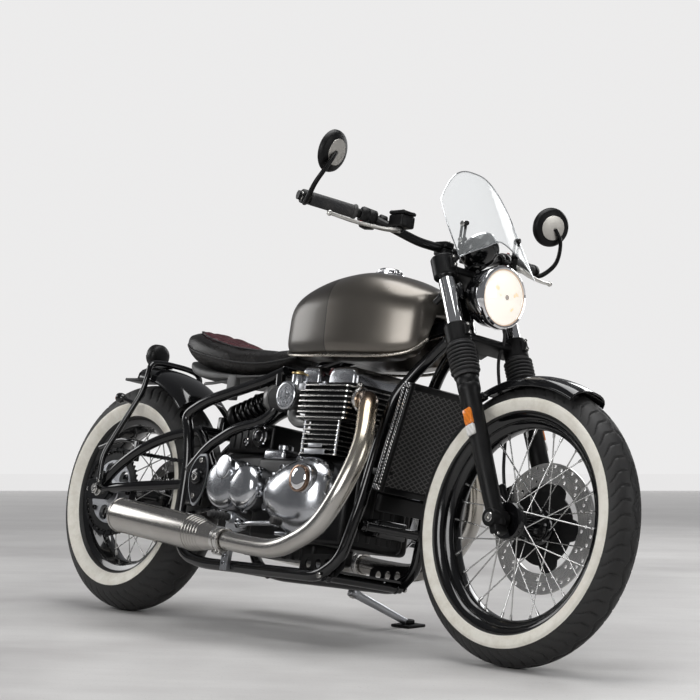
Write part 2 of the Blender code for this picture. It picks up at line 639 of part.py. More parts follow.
def finned(low, high, count, thick, depth):
    """A finned casting: plates with cut corners, and the narrower core showing between them."""
    corner = 0.012
    pitch = (high[2] - low[2] - thick) / (count - 1)
    levels = []
    for number in range(count):
        base = low[2] + number * pitch
        levels += [(base, 0), (base + thick, 0), (base + thick, depth), (base + pitch, depth)]
    mesh = bmesh.new()
    loops = []
    for z, inset in levels[:-2]:
        x_low = low[0] + inset
        x_high = high[0] - inset
        y_low = low[1] + inset
        y_high = high[1] - inset
        outline = [(x_low + corner, y_low), (x_high - corner, y_low), (x_high, y_low + corner),
                   (x_high, y_high - corner), (x_high - corner, y_high), (x_low + corner, y_high),
                   (x_low, y_high - corner), (x_low, y_low + corner)]
        loops.append([mesh.verts.new((x, y, z)) for x, y in outline])
    stack(mesh, loops)
    return from_bmesh("finned", mesh)


def stack(mesh, loops):
    """Closes a stack of rings with walls between them and a face at each end."""
    for lower, upper in zip(loops, loops[1:]):
        for step in range(len(lower)):
            after = (step + 1) % len(lower)
            mesh.faces.new((lower[step], lower[after], upper[after], upper[step]))
    mesh.faces.new(loops[0])
    mesh.faces.new(loops[-1])
    bmesh.ops.recalc_face_normals(mesh, faces=mesh.faces)


def clutch_shell(centre, rises):
    """A cover with a rounded triangular outline, drawn in as it rises from the case."""
    mesh = bmesh.new()
    loops = []
    for share, rise in rises:
        ring_points = []
        for step in range(26):
            turn = 2 * math.pi * step / 26
            reach = share * (0.102 - 0.007 * math.cos(3 * turn))
            ring_points.append(mesh.verts.new((centre[0] + reach * math.cos(turn) * 1.25, -CASE_HALF - GAP - rise,
                                               centre[1] + reach * math.sin(turn))))
        loops.append(ring_points)
    stack(mesh, loops)
    return from_bmesh("shell", mesh)


def engine():
    """Cases, cylinders, head, cam cover, side covers, intake and the box behind."""
    case = box((0.470, -0.092, 0.235), (1.015, 0.092, CASE_TOP), 0.016)
    wide = box((0.640, -CASE_HALF, 0.232), (1.006, CASE_HALF, 0.446), 0.014)
    sump = box((0.560, -0.070, 0.190), (0.860, 0.070, 0.250), 0.012)
    hub = rod((DRIVE_CENTRE[0], -0.090, DRIVE_CENTRE[1]), (DRIVE_CENTRE[0], CHAIN_Y - 0.004, DRIVE_CENTRE[1]),
              DRIVE_RADIUS - 0.004, sides=24)
    notch = rod((PIVOT[0], -0.130, PIVOT[1]), (PIVOT[0], 0.130, PIVOT[1]), 0.030, sides=16)
    keep(cut(join([case, wide, sump, hub]), [notch]), "crankcase", bike, SATIN)
    keep(finned((0.811, -0.130, CASE_TOP + GAP), (0.953, 0.130, BLOCK_TOP), 7, 0.0045, 0.012),
         "cylinder_block", bike, SATIN)
    head = finned((0.798, -0.148, BLOCK_TOP + GAP), (HEAD_FRONT - 0.002, 0.148, HEAD_TOP), 7, 0.0045, 0.014)
    ports = []
    for side in (1, -1):
        ports.append(rod((0.968, side * 0.104, 0.600), (HEAD_FRONT, side * 0.104, 0.600), PIPE_RADIUS + 0.004,
                         sides=8))
    ports.append(box((0.796, -0.070, 0.574), (0.830, 0.070, 0.630)))
    keep(join([head] + ports), "cylinder_head", bike, SATIN)
    keep(box((0.762, -0.118, HEAD_TOP + GAP), (0.974, 0.118, CAM_TOP), 0.018), "cam_cover", bike, ALLOY)

    clutch = clutch_shell((0.864, 0.344), ((1, 0), (1, 0.026), (0.93, 0.046), (0.62, 0.070), (0.20, 0.080)))
    cap = lathe([(0, 0.05), (0.031, 0.05), (0.031, 0.086), (0, 0.086)], (0.912, -CASE_HALF - GAP, 0.385),
                (0, -1, 0), 20)
    keep(join([clutch, cap]), "clutch_cover", bike, ALLOY)
    points = ((0.568, 0.363, 0.070), (0.652, 0.358, 0.060))
    discs = [lathe([(0, 0), (radius, 0), (radius, 0.044), (radius - 0.012, 0.058), (0, 0.062)],
                   (x, -CASE_HALF - GAP, z), (0, -1, 0), 24) for x, z, radius in points]
    keep(join(discs), "sprocket_cover", bike, ALLOY)
    left = lathe([(0, 0), (0.100, 0), (0.100, 0.036), (0.088, 0.052), (0.040, 0.060), (0, 0.062)],
                 (0.905, CASE_HALF + GAP, 0.342), (0, 1, 0), 28)
    keep(left, "alternator_cover", bike, ALLOY)

    pieces = [box((0.690, -0.066, 0.578), (0.7957, 0.066, 0.628), 0.006),
              box((0.636, -0.060, 0.576), (0.700, 0.060, 0.624), 0.008)]
    for side in (1, -1):
        pieces.append(rod((0.7505, side * 0.060, 0.602), (0.7505, side * 0.146, 0.602), 0.034, sides=20))
        pieces.append(rod((0.7505, side * 0.122, 0.600), (0.7505, side * 0.122, 0.670), 0.017, sides=12))
    keep(join(pieces), "intake", bike, SATIN)
    keep(box((0.455, -0.078, CASE_TOP + GAP), (0.640, 0.078, 0.535), 0.008), "battery_box", bike, SATIN)


def exhaust():
    """Headers down from the head and back along the rails, and the silencers on their ends."""
    path = [(HEAD_FRONT + GAP, 0.104, 0.600), (HEAD_FRONT + 0.018, 0.104, 0.600), (1.040, 0.120, 0.593),
            (1.075, 0.150, 0.560),
            (1.118, 0.192, 0.470), (1.108, 0.226, 0.360), (1.053, 0.236, 0.272), (0.980, 0.238, 0.228),
            (0.905, 0.238, 0.205), (0.820, 0.238, 0.205), (MUFFLER_JOIN, 0.240, 0.212)]
    for name, side in SIDES.items():
        header = tube([mirrored(point, side) for point in path], PIPE_RADIUS, 1, 12)
        keep(header, "header_" + name, bike, STAINLESS)
        start = Vector((MUFFLER_JOIN - 0.0009, side * 0.240, 0.212))
        end = Vector((0.240, side * MUFFLER_Y, 0.252))
        length = (end - start).length
        can = lathe([(0, 0), (0.029, 0), (0.029, 0.034), (MUFFLER_RADIUS, 0.130),
                     (MUFFLER_RADIUS, length - 0.010), (MUFFLER_RADIUS - 0.006, length), (0.024, length),
                     (0.020, length - 0.040), (0, length - 0.040)], start, end - start, 20)
        keep(can, "muffler_" + name, bike, STAINLESS)


def radiator():
    """The slab radiator ahead of the down tubes, with the tabs that carry it."""
    tilt = math.atan2(1.187 - 1.127, 0.638 - 0.375)
    turn = Matrix.Rotation(tilt, 3, "Y")
    slab = box((1.126, -0.118, 0.372), (1.156, 0.118, 0.648), 0.004, turn)
    tabs = []
    for x, z, half in ((1.0725, 0.540, 0.070), (1.0722, 0.425, 0.098)):
        for side in (1, -1):
            tabs.append(box((x + 0.0022, side * half - 0.008, z - 0.008), (x + 0.075, side * half + 0.008,
                                                                       z + 0.008)))
    keep(join([slab] + tabs), "radiator", bike, SATIN)
    places = [(x, y) for x in (0.905, 0.975) for y in (-0.072, 0, 0.072)]
    holes = [rod((x, y, 0.160), (x, y, 0.180), 0.012, sides=6) for x, y in places]
    keep(cut(box((0.870, -0.113, 0.1673), (1.010, 0.113, 0.1733)), holes), "belly_plate", bike, GLOSS)


def shock():
    """The single shock under the seat: eyes, coil and reservoir collar."""
    start = Vector((0.3508, 0, 0.553))
    end = Vector((0.5820, 0, 0.6268))
    length = (end - start).length
    profile = [(0, 0), (0.014, 0), (0.014, 0.024), (0.034, 0.028), (0.034, 0.040)]
    coils = 4
    first = 0.044
    pitch = (length - 0.060 - first) / coils
    for coil in range(coils):
        at = first + coil * pitch
        profile += [(0.030, at), (0.037, at + pitch * 0.3), (0.037, at + pitch * 0.6)]
    profile += [(0.030, length - 0.056), (0.034, length - 0.050), (0.034, length - 0.026),
                (0.014, length - 0.024), (0.014, length), (0, length)]
    keep(lathe(profile, start, end - start, 12), "rear_shock", bike, SATIN)


def rear_guard():
    """Rear mudguard, the stay that carries it with its indicators, and the tail light."""
    guard = arch(REAR_TYRE["radius"] + 0.050, REAR_TYRE["half_width"] + 0.009, 0.042, math.radians(1),
                 math.radians(42))
    guard.data.transform(Matrix.Translation((0, 0, REAR_HEIGHT)))
    keep(guard, "rear_fender", bike, GLOSS)
    stay = [(0.022, 0.1710, 0.350), (0.014, 0.1680, 0.418), (0.040, 0.124, 0.540), (0.060, 0.1010, 0.610),
            (0.064, 0.0941, 0.660), (0.060, 0.0881, 0.697), (0.052, 0.050, 0.7060), (0.050, 0, 0.7068)]
    pieces = []
    for side in (1, -1):
        pieces.append(tube([mirrored(point, side) for point in stay], 0.008, 1, 6))
        pieces.append(box((0.010, side * 0.167 - 0.0047, 0.335), (0.034, side * 0.167 + 0.0047, 0.375), 0.002))
        pieces.append(rod((0.050, side * 0.1125, 0.576), (0.004, side * 0.125, 0.589), 0.006, sides=8))
        pieces.append(lathe([(0, 0), (0.008, 0), (0.014, 0.008), (0.014, 0.026), (0, 0.030)],
                            (0.012, side * 0.125, 0.590), (-1, 0, 0), 12))
    keep(join(pieces), "fender_stay", bike, GLOSS)
    lamp = lathe([(0, 0), (0.024, 0), (0.034, 0.012), (0.034, 0.034), (0.026, 0.040), (0, 0.040)],
                 (-0.012, 0, 0.733), (-1, 0, 0.1), 20)
    stalk = box((-0.024, -0.011, 0.680), (0.034, 0.011, 0.712), 0.002)
    drop = box((-0.044, -0.009, 0.660), (-0.020, 0.009, 0.712), 0.002)
    plate = box((-0.128, -0.035, 0.657), (-0.022, 0.035, 0.665), 0.002)
    crown = rod((0, -0.1, REAR_HEIGHT), (0, 0.1, REAR_HEIGHT), REAR_TYRE["radius"] + 0.0505, sides=72)
    keep(cut(join([lamp, stalk, drop, plate]), [crown]), "tail_light", bike, SATIN)


def even_loop(points, count):
    """Points set at even steps round a closed path."""
    closed = points + points[:1]
    lengths = [(b - a).length for a, b in zip(closed, closed[1:])]
    step = sum(lengths) / count
    found = []
    passed = 0
    wanted = 0
    for start, end, length in zip(closed, closed[1:], lengths):
        while len(found) < count and wanted <= passed + length:
            found.append(start.lerp(end, (wanted - passed) / length))
            wanted += step
        passed += length
    return found


def drive():
    """The chain of wide and narrow links round both sprockets as one loop, and the guard over it."""
    rear = Vector((0, 0, REAR_HEIGHT))
    front = Vector((DRIVE_CENTRE[0], 0, DRIVE_CENTRE[1]))
    big = SPROCKET_RADIUS + GAP + 0.0004
    small = DRIVE_RADIUS
    line = front - rear
    base = math.atan2(line.z, line.x)
    open_angle = math.acos((big - small) / line.length)

    def belt(growth):
        points = []
        for centre, radius, start, end in ((rear, big, base + open_angle, base + 2 * math.pi - open_angle),
                                           (front, small, base - open_angle, base + open_angle)):
            steps = 18 if radius > small else 10
            for step in range(steps + 1):
                turn = start + (end - start) * step / steps
                points.append(centre + (radius + growth) * Vector((math.cos(turn), 0, math.sin(turn))))
        return points
    clear = 0.0009
    path = even_loop(belt((CHAIN_HEIGHT + clear) / 2), CHAIN_LINKS * 4)
    count = len(path)
    mesh = bmesh.new()
    loops = [[], [], [], []]
    for step, point in enumerate(path):
        ahead = (path[(step + 1) % count] - path[step - 1]).normalized()
        out = Vector((ahead.z, 0, -ahead.x))
        wide = step % 4 < 2
        half = CHAIN_WIDTH * (0.5 if wide else 0.34)
        rise = (CHAIN_HEIGHT - clear) * (0.5 if wide else 0.38)
        for loop, (up, y) in zip(loops, ((-rise, half), (rise, half), (rise, -half), (-rise, -half))):
            loop.append(mesh.verts.new(point + out * up + Vector((0, CHAIN_Y + y, 0))))
    for first, second in zip(loops, loops[1:] + loops[:1]):
        for step in range(count):
            after = (step + 1) % count
            mesh.faces.new((first[step], first[after], second[after], second[step]))
    bmesh.ops.recalc_face_normals(mesh, faces=mesh.faces)
    keep(from_bmesh("chain", mesh), "chain", bike, STAINLESS)
    guard = tube([(-0.085, -0.112, 0.447), (0.006, -0.114, 0.470), (0.060, -0.114, 0.470),
                  (0.120, -0.112, 0.464)], 0.007, 2)
    tab = box((0.096, -0.1280, 0.412), (0.118, -0.1160, 0.470), 0.001)
    keep(join([guard, tab]), "chain_guard", bike, SATIN)
    caliper = box((0.040, 0.085, REAR_HEIGHT - 0.118), (0.112, 0.126, REAR_HEIGHT - 0.038), 0.005)
    arm = box((0.060, 0.112, REAR_HEIGHT - 0.054), (0.085, 0.1281, REAR_HEIGHT + 0.0117), 0.001)
    slot = rod((0, REAR_DISC_Y - 0.0075, REAR_HEIGHT), (0, REAR_DISC_Y + 0.0075, REAR_HEIGHT),
               REAR_DISC_RADIUS + RUN, sides=32)
    keep(cut(join([caliper, arm]), [slot]), "rear_caliper", bike, SATIN)


def controls():
    """Footrests, each with its pedal and the bracket that holds it to the frame rail."""
    for name, side in SIDES.items():
        inner, outer = sorted((side * 0.1455, side * 0.157))
        pieces = [box((0.596, inner, 0.140), (0.632, outer, 0.288), 0.003),
                  rod((0.612, side * 0.150, 0.277), (0.612, side * 0.228, 0.277), 0.010),
                  rod((0.664, side * 0.150, 0.262), (0.664, side * 0.172, 0.262), 0.012)]
        inner, outer = sorted((side * 0.146, side * 0.156))
        pieces.append(box((0.628, inner, 0.248), (0.672, outer, 0.276), 0.002))
        if name == "right":
            arm = [(0.664, 0.166, 0.262), (0.700, 0.190, 0.256), (0.760, 0.211, 0.262), (0.860, 0.214, 0.268),
                   (0.892, 0.232, 0.272)]
        else:
            arm = [(0.664, 0.166, 0.262), (0.720, 0.190, 0.262), (0.780, 0.211, 0.268), (0.860, 0.213, 0.276),
                   (0.892, 0.232, 0.280)]
        pieces.append(tube([mirrored(point, side) for point in arm], 0.006, 2))
        toe = mirrored(arm[-1], side)
        pieces.append(rod(toe - Vector((0, 0.012, 0)), toe + Vector((0, 0.018, 0)), 0.010))
        keep(join(pieces), "footrest_" + name, bike, SATIN)


def on_fork(ahead, y, up):
    """A point given along the fork's own axes, in the upright machine's axes."""
    return FORK_FOOT + ahead * AHEAD_FORK + up * UP_FORK + Vector((0, y, 0))


def along(start, end, distance):
    """The point so far from the start towards the end."""
    line = Vector(end) - Vector(start)
    return Vector(start) + line.normalized() * distance


def bars():
    """Handlebar with its risers, then grips, switchgear, levers and mirrors on each side."""
    half_path = [(1.149, 0, 0.992), (1.150, 0.060, 0.992), (1.146, 0.084, 0.9925), (1.132, 0.122, 0.997),
                 (1.105, 0.180, 1.015), (1.0865, 0.222, 1.0275), (1.068, 0.265, 1.035),
                 (1.019, 0.423, 1.045)]
    left = [Vector(point) for point in half_path]
    full = [mirrored(point, -1) for point in reversed(left[1:])] + left
    bar = tube(full, BAR_RADIUS, 1, 8)
    pieces = [bar]
    for side in (1, -1):
        pieces.append(rod(on_fork(0.028, side * 0.045, 0.6756), on_fork(0.028, side * 0.045, 0.745), 0.015))
        pieces.append(box((1.130, side * 0.045 - 0.016, 0.975), (1.172, side * 0.045 + 0.016, 1.010), 0.004))
    keep(join(pieces), "handlebar", level, SATIN)
    for name, side in SIDES.items():
        near = mirrored(half_path[-2], side)
        tip = mirrored(half_path[-1], side)
        inner = mirrored(half_path[-3], side)
        bore = BAR_RADIUS + 0.0010
        grip = ring(bore, GRIP_RADIUS, along(near, tip, 0.010), along(near, tip, 0.134), 12)
        keep(grip, "grip_" + name, level, RUBBER)
        switchgear(name, side, inner, near, bore)
        mirror(name, side, near, tip, bore)


def switchgear(name, side, inner, near, bore):
    """A switch housing on the bar with its lever, and on the right the fluid reservoir."""
    housing = rod(along(inner, near, 0.003), along(inner, near, 0.044), 0.021, sides=12)
    perch = mirrored((1.150, 0.206, 1.006), side)
    pieces = [housing, rod(along(inner, near, 0.012), perch, 0.010, sides=8)]
    lever = [(1.148, 0.200, 1.006), (1.166, 0.222, 0.998), (1.160, 0.262, 0.992), (1.136, 0.330, 0.994),
             (1.108, 0.390, 1.003)]
    pieces.append(tube([mirrored(point, side) for point in lever], 0.0065, 2, 6))
    if name == "right":
        pieces.append(box((1.128, -0.222, 1.008), (1.180, -0.176, 1.050), 0.005))
    before = mirrored((1.105, 0.180, 1.015), side)
    holes = [rod(along(near, inner, -0.010), along(inner, near, -0.006), bore, sides=12),
             rod(along(inner, before, -0.006), before, bore, sides=12)]
    keep(cut(join(pieces), holes), "switchgear_" + name, level, SATIN)


def mirror(name, side, near, tip, bore):
    """A round bar-end mirror on a curved stem."""
    clamp = rod(along(near, tip, 0.137), along(near, tip, 0.155), 0.0175, sides=12)
    stem = [(1.0260, 0.4028, 1.030), (1.052, 0.418, 1.036), (1.085, 0.428, 1.070), (1.106, 0.412, 1.120),
            (1.098, 0.389, 1.152)]
    neck = tube([mirrored(point, side) for point in stem], 0.0065, 2, 6)
    facing = mirrored((-0.93, 0.27, 0.23), side)
    centre = mirrored((1.085, 0.390, 1.157), side)
    head = lathe([(0, -0.016), (0.030, -0.014), (0.050, -0.004), (0.052, 0.006), (0, 0.006)], centre, facing, 20)
    hole = rod(along(tip, near, -0.010), along(tip, near, 0.050), bore, sides=12)
    keep(cut(join([clamp, neck, head]), [hole]), "mirror_" + name, level, SATIN)


def instruments():
    """The dial pod on its bracket, and the windscreen with its two brackets."""
    facing = Vector((-0.75, 0, 0.66))
    pod = lathe([(0, -0.026), (0.030, -0.026), (0.048, -0.012), (0.051, 0.012), (0.051, 0.018), (0.044, 0.018),
                 (0.044, 0.013), (0, 0.013)], (1.238, 0, 0.990), facing, 20)
    pod.data.transform(level.matrix_local)
    plate = box((0.046, -0.018, 0.6756), (0.100, 0.018, 0.690), 0.002)
    keep(join([pod, plate]), "instrument", fork, SATIN)

    half_width = 0.132
    bend = 0.216
    low = Vector((1.307, 0, 1.006))
    rise = Vector((-0.130, 0, 0.189))
    mesh = bmesh.new()
    bmesh.ops.create_grid(mesh, x_segments=10, y_segments=5, size=1)
    for vert in mesh.verts:
        across, height = vert.co.x, (vert.co.y + 1) / 2
        bottom = -0.25 * across ** 2
        top = 1 - 0.52 * abs(across) ** 3
        share = bottom + (top - bottom) * height
        y = half_width * across
        back = bend - math.sqrt(bend ** 2 - y ** 2)
        vert.co = low + share * rise + Vector((-back, y, 0))
    bmesh.ops.solidify(mesh, geom=mesh.faces[:], thickness=0.003)
    screen = from_bmesh("screen", mesh)
    arms = []
    for side in (1, -1):
        arm = [(1.2500, 0.098, 0.9450), (1.270, 0.094, 0.975), (1.268, 0.090, 1.020), (1.268, 0.090, 1.046)]
        arms.append(tube([mirrored(point, side) for point in arm], 0.005, 1, 6))
    keep(join([screen] + arms), "windscreen", level, GLASS)


def stand_axis():
    """The side stand's hinge axis, square to the leg and tilted so that it folds down and back."""
    pivot = Vector(STAND_PIVOT)
    foot = Vector((*STAND_FOOT, STAND_FOOT[1] * math.tan(LEAN))) - pivot
    across = (-foot.z + STAND_DROP * foot.x) / foot.y
    return Vector((-STAND_DROP, across, 1)).normalized(), foot


def side_stand():
    """The side stand: a boss on the frame's pin, the leg, and a plate flat on the floor."""
    axis, foot = stand_axis()
    pivot = empty("stand_pivot", STAND_PIVOT, parent=bike)
    boss = rod(-0.010 * axis, 0.010 * axis, 0.015, sides=12)
    leg = rod((0, 0, 0), foot + Vector((0, -0.010, 0.012)), 0.012, 0.009, sides=10)
    turn = Matrix.Rotation(LEAN, 3, "X")
    middle = foot + turn @ Vector((0.004, 0, 0.004))
    size = Vector((0.035, 0.032, 0.004))
    plate = box(middle - size, middle + size, turn=turn)
    hole = rod(-0.02 * axis, 0.02 * axis, 0.0068, sides=12)
    keep(cut(join([boss, leg, plate]), [hole]), "side_stand", pivot, SATIN)


def stand_lug():
    """The frame's pin and plate that the side stand turns on."""
    axis, foot = stand_axis()
    pivot = Vector(STAND_PIVOT)
    rail = Vector((STAND_PIVOT[0], CRADLE_HALF, RAIL_HEIGHT))
    return [rod(pivot - 0.013 * axis, pivot + 0.021 * axis, 0.006, sides=8),
            rod(pivot + 0.0155 * axis, pivot + 0.0235 * axis, 0.015, sides=12),
            rod(pivot + 0.0205 * axis, rail + 0.008 * axis, 0.0050, sides=6)]


wheels()
forks()
swing()
frame()
front_end()
tank()
saddle()
engine()
exhaust()
radiator()
shock()
rear_guard()
drive()
controls()
bars()
instruments()
side_stand()
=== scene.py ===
"""A bobber motorcycle leaning on its side stand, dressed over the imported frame.

Sizes are in metres. Pieces are shaped in the upright machine's own axes (X ahead, Y left, Z up, from the
ground below the rear axle) and then leaned over with it.
"""

import json
import math
import random

import bmesh
import bpy
from mathutils import Matrix, Vector

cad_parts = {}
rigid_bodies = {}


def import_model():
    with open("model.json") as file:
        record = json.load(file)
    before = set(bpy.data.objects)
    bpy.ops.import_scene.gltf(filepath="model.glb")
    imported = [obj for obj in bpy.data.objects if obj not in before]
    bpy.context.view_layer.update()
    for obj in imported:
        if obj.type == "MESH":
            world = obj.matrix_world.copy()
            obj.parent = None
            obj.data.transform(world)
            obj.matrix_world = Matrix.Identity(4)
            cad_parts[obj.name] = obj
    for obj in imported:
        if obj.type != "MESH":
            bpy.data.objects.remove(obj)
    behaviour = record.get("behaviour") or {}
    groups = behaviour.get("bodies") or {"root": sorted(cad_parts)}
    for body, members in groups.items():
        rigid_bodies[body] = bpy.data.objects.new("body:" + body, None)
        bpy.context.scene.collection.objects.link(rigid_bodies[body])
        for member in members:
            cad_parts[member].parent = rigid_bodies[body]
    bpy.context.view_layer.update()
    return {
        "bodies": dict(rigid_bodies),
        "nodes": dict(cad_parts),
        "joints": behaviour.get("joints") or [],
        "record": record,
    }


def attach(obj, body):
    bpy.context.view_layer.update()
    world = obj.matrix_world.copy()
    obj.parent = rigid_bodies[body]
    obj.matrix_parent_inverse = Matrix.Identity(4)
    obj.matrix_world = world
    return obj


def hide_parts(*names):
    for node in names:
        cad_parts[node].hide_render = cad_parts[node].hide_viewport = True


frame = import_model()

# Camera
# It stands ahead of the machine on its right, a little below the top of the wheels' height, and looks along
# the floor with a long lens, as the photograph was taken.
LENS = 107.07
EYE = (4.0985, -3.6511, 0.6927)
AIM = (math.radians(90.45), 0, math.radians(48.5))
view = bpy.data.cameras.new("view")
view.lens = LENS
view.sensor_width = 36
view.clip_end = 60
camera = bpy.data.objects.new("camera", view)
camera.location = EYE
camera.rotation_euler = AIM
bpy.context.scene.collection.objects.link(camera)
bpy.context.scene.camera = camera


# Floor and skirting
# A pale worn concrete floor runs far out on every side but one, where it ends at a low painted board. Plain
# white lies beyond the board, and no wall stands between the machine and a camera behind it.
class Wire:
    """One socket of a finish, so that sums on it read as plain expressions."""

    def __init__(self, finish, socket):
        self.finish = finish
        self.socket = socket

    def sum(self, kind, *values):
        return self.finish.node("ShaderNodeMath", {"operation": kind}, dict(enumerate(values)))

    __add__ = __radd__ = lambda self, other: self.sum("ADD", self, other)
    __mul__ = __rmul__ = lambda self, other: self.sum("MULTIPLY", self, other)
    __sub__ = lambda self, other: self.sum("SUBTRACT", self, other)
    __rsub__ = lambda self, other: self.sum("SUBTRACT", other, self)
    __truediv__ = lambda self, other: self.sum("DIVIDE", self, other)
    __pow__ = lambda self, other: self.sum("POWER", self, other)
    __gt__ = lambda self, other: self.sum("GREATER_THAN", self, other)
    __lt__ = lambda self, other: self.sum("LESS_THAN", self, other)


class Finish:
    """A material made of nodes, with one method that adds any of them."""

    def __init__(self, name):
        self.made = bpy.data.materials.new(name)
        self.made.use_nodes = True
        self.tree = self.made.node_tree
        self.tree.nodes.clear()
        self.end = self.tree.nodes.new("ShaderNodeOutputMaterial")

    def node(self, kind, settings=(), sockets=(), out=0):
        made = self.tree.nodes.new(kind)
        for key, value in dict(settings).items():
            if key == "stops":
                while len(made.color_ramp.elements) < len(value):
                    made.color_ramp.elements.new(0.5)
                for stop, (place, colour) in zip(made.color_ramp.elements, value):
                    stop.position = place
                    stop.color = colour if len(colour) == 4 else (*colour, 1)
            else:
                setattr(made, key, value)
        for key, value in dict(sockets).items():
            if isinstance(value, Wire):
                self.tree.links.new(value.socket, made.inputs[key])
            elif made.inputs[key].type == "RGBA" and len(value) == 3:
                made.inputs[key].default_value = (*value, 1)
            else:
                made.inputs[key].default_value = value
        return Wire(self, made.outputs[out])

    def place(self, matrix=None, scale=(1, 1, 1)):
        """Object coordinates, or the same measured from a piece's own centre and axes."""
        spot = self.node("ShaderNodeTexCoord", out=3)
        if matrix is None and scale == (1, 1, 1):
            return spot
        matrix = matrix or Matrix()
        sockets = {"Vector": spot, "Location": matrix.translation, "Rotation": matrix.to_euler(),
                   "Scale": scale}
        return self.node("ShaderNodeMapping", {"vector_type": "TEXTURE"}, sockets)

    def noise(self, scale, detail=3.0, rough=0.55, at=None, bend=0.0):
        sockets = {"Vector": at or self.place(), "Scale": scale, "Detail": detail, "Roughness": rough,
                   "Distortion": bend}
        return self.node("ShaderNodeTexNoise", {}, sockets)

    def split(self, vector, axis):
        return self.node("ShaderNodeSeparateXYZ", {}, {0: vector}, axis)

    def ramp(self, value, stops):
        return self.node("ShaderNodeValToRGB", {"stops": stops}, {0: value})

    def span(self, value, low, high, first=0.0, last=1.0):
        """The value, stretched so that low..high becomes first..last."""
        return self.node("ShaderNodeMapRange", {}, {0: value, 1: low, 2: high, 3: first, 4: last})

    def mix(self, share, first, second):
        return self.node("ShaderNodeMix", {"data_type": "RGBA"}, {0: share, 6: first, 7: second}, 2)

    def bump(self, height, distance, strength=1.0, under=None):
        sockets = {"Height": height, "Distance": distance, "Strength": strength}
        if under:
            sockets["Normal"] = under
        return self.node("ShaderNodeBump", {}, sockets)

    def principled(self, colour, rough, metal=0.0, **more):
        sockets = {"Base Color": colour, "Roughness": rough, "Metallic": metal}
        for key, value in more.items():
            sockets[key.replace("_", " ").title().replace("Ior", "IOR")] = value
        return self.node("ShaderNodeBsdfPrincipled", {}, sockets)

    def surface(self, wire):
        self.tree.links.new(wire.socket, self.end.inputs[0])
        return self.made


def concrete():
    """Pale power-floated concrete with broad stains, fine grit and a soft sheen, and painted light that glows further
    out.
    """
    made = Finish("concrete floor")
    broad = made.noise(1.1, 5, 0.6)
    streak = made.noise(2.4, 6, 0.65, at=made.place(Matrix.Rotation(0.6, 4, "Z"), (2.6, 0.7, 1)))
    grit = made.noise(140, 2)
    cloud = broad * 0.55 + streak * 0.45
    tone = made.ramp(cloud, ((0.34, (0.48, 0.465, 0.46)), (0.52, (0.6, 0.59, 0.58)), (0.68, (0.7, 0.69, 0.68))))
    tone = made.mix(made.span(grit, 0.62, 0.8), tone, (0.42, 0.41, 0.4))
    rough = made.span(broad, 0.3, 0.7, 0.42, 0.62)
    spot = made.place()
    x, y = made.split(spot, 0), made.split(spot, 1)
    # Painted light: the floor glows, from nothing 1.6 m from the middle to full strength 8 m out.
    far = made.span((x * x + y * y) ** 0.5, 1.6, 8.0)
    painted_far_light = made.mix(far, (0, 0, 0), (0.46, 0.453, 0.448))
    return made.surface(made.principled(tone, rough, normal=made.bump(cloud + grit * 0.05, 0.002, 0.4),
                                        emission_color=painted_far_light, emission_strength=1.0))


def board_paint(name, share):
    """Flat off-white paint that shows at its own colour behind the machine."""
    made = Finish(name)
    shade = made.noise(0.35, 2)
    colour = made.ramp(shade, ((0.3, (0.8, 0.79, 0.79)), (0.7, (0.86, 0.855, 0.855))))
    lit = made.node("ShaderNodeEmission", {}, {"Color": colour, "Strength": share})
    plain = made.principled(colour, 0.9)
    rays = made.node("ShaderNodeLightPath", out=0)
    through = made.node("ShaderNodeLightPath", out=6)
    seen = rays.sum("MAXIMUM", rays, through)
    return made.surface(made.node("ShaderNodeMixShader", {}, {0: seen, 1: plain, 2: lit}))


FLOOR_END, FLOOR_START, FLOOR_REACH, SKIRTING_TOP = 11.6, 60, 40.0, 0.093
forward = Vector((-math.sin(AIM[2]), math.cos(AIM[2]), 0))
across = Vector((forward.y, -forward.x, 0)) * FLOOR_REACH
far_middle = Vector((EYE[0], EYE[1], 0)) + forward * FLOOR_END
far_corners = [far_middle - across, far_middle + across]


def stage_sheet(name, corners, material):
    """One flat sheet of the stage, with its corners in order."""
    shape = bmesh.new()
    shape.faces.new([shape.verts.new(corner) for corner in corners])
    mesh = bpy.data.meshes.new(name)
    shape.to_mesh(mesh)
    shape.free()
    mesh.materials.append(material)
    return bpy.data.objects.new(name, mesh)


near_corners = [corner - forward * FLOOR_START for corner in far_corners]
floor = stage_sheet("floor", near_corners + far_corners[::-1], concrete())
board = stage_sheet("skirting", far_corners + [corner + Vector((0, 0, SKIRTING_TOP)) for corner in far_corners[::-1]],
                    board_paint("skirting paint", 0.97))
for part in (floor, board):
    bpy.context.scene.collection.objects.link(part)

# Lights
# One broad lamp overhead, a tall soft panel at each side and a low fill behind the camera.
LAMPS = {"overhead": ((0.2, 0.0, 3.4), 2.6, 84.0), "right_panel": ((0.9, -3.3, 1.7), 1.7, 44.0),
         "left_panel": ((-0.6, 3.2, 1.9), 1.7, 34.0), "front_panel": ((3.4, 0.6, 1.5), 1.4, 18.0),
         "rear_panel": ((-3.2, -1.2, 1.6), 1.4, 22.0)}
for name, (spot, size, power) in LAMPS.items():
    lamp = bpy.data.lights.new(name, "AREA")
    lamp.shape = "RECTANGLE"
    lamp.size = size
    lamp.size_y = size * 0.8
    lamp.energy = power
    holder = bpy.data.objects.new(name, lamp)
    holder.location = spot
    holder.rotation_euler = (Vector((0, -0.1, 0.5)) - Vector(spot)).to_track_quat("-Z", "Y").to_euler()
    bpy.context.scene.collection.objects.link(holder)
world = bpy.data.worlds.new("studio")
world.use_nodes = True
tree = world.node_tree
dim, seen = tree.nodes["Background"], tree.nodes.new("ShaderNodeBackground")
dim.inputs[0].default_value, dim.inputs[1].default_value = (0.95, 0.96, 1.0, 1), 0.16
seen.inputs[0].default_value, seen.inputs[1].default_value = (0.84, 0.835, 0.835, 1), 1.0
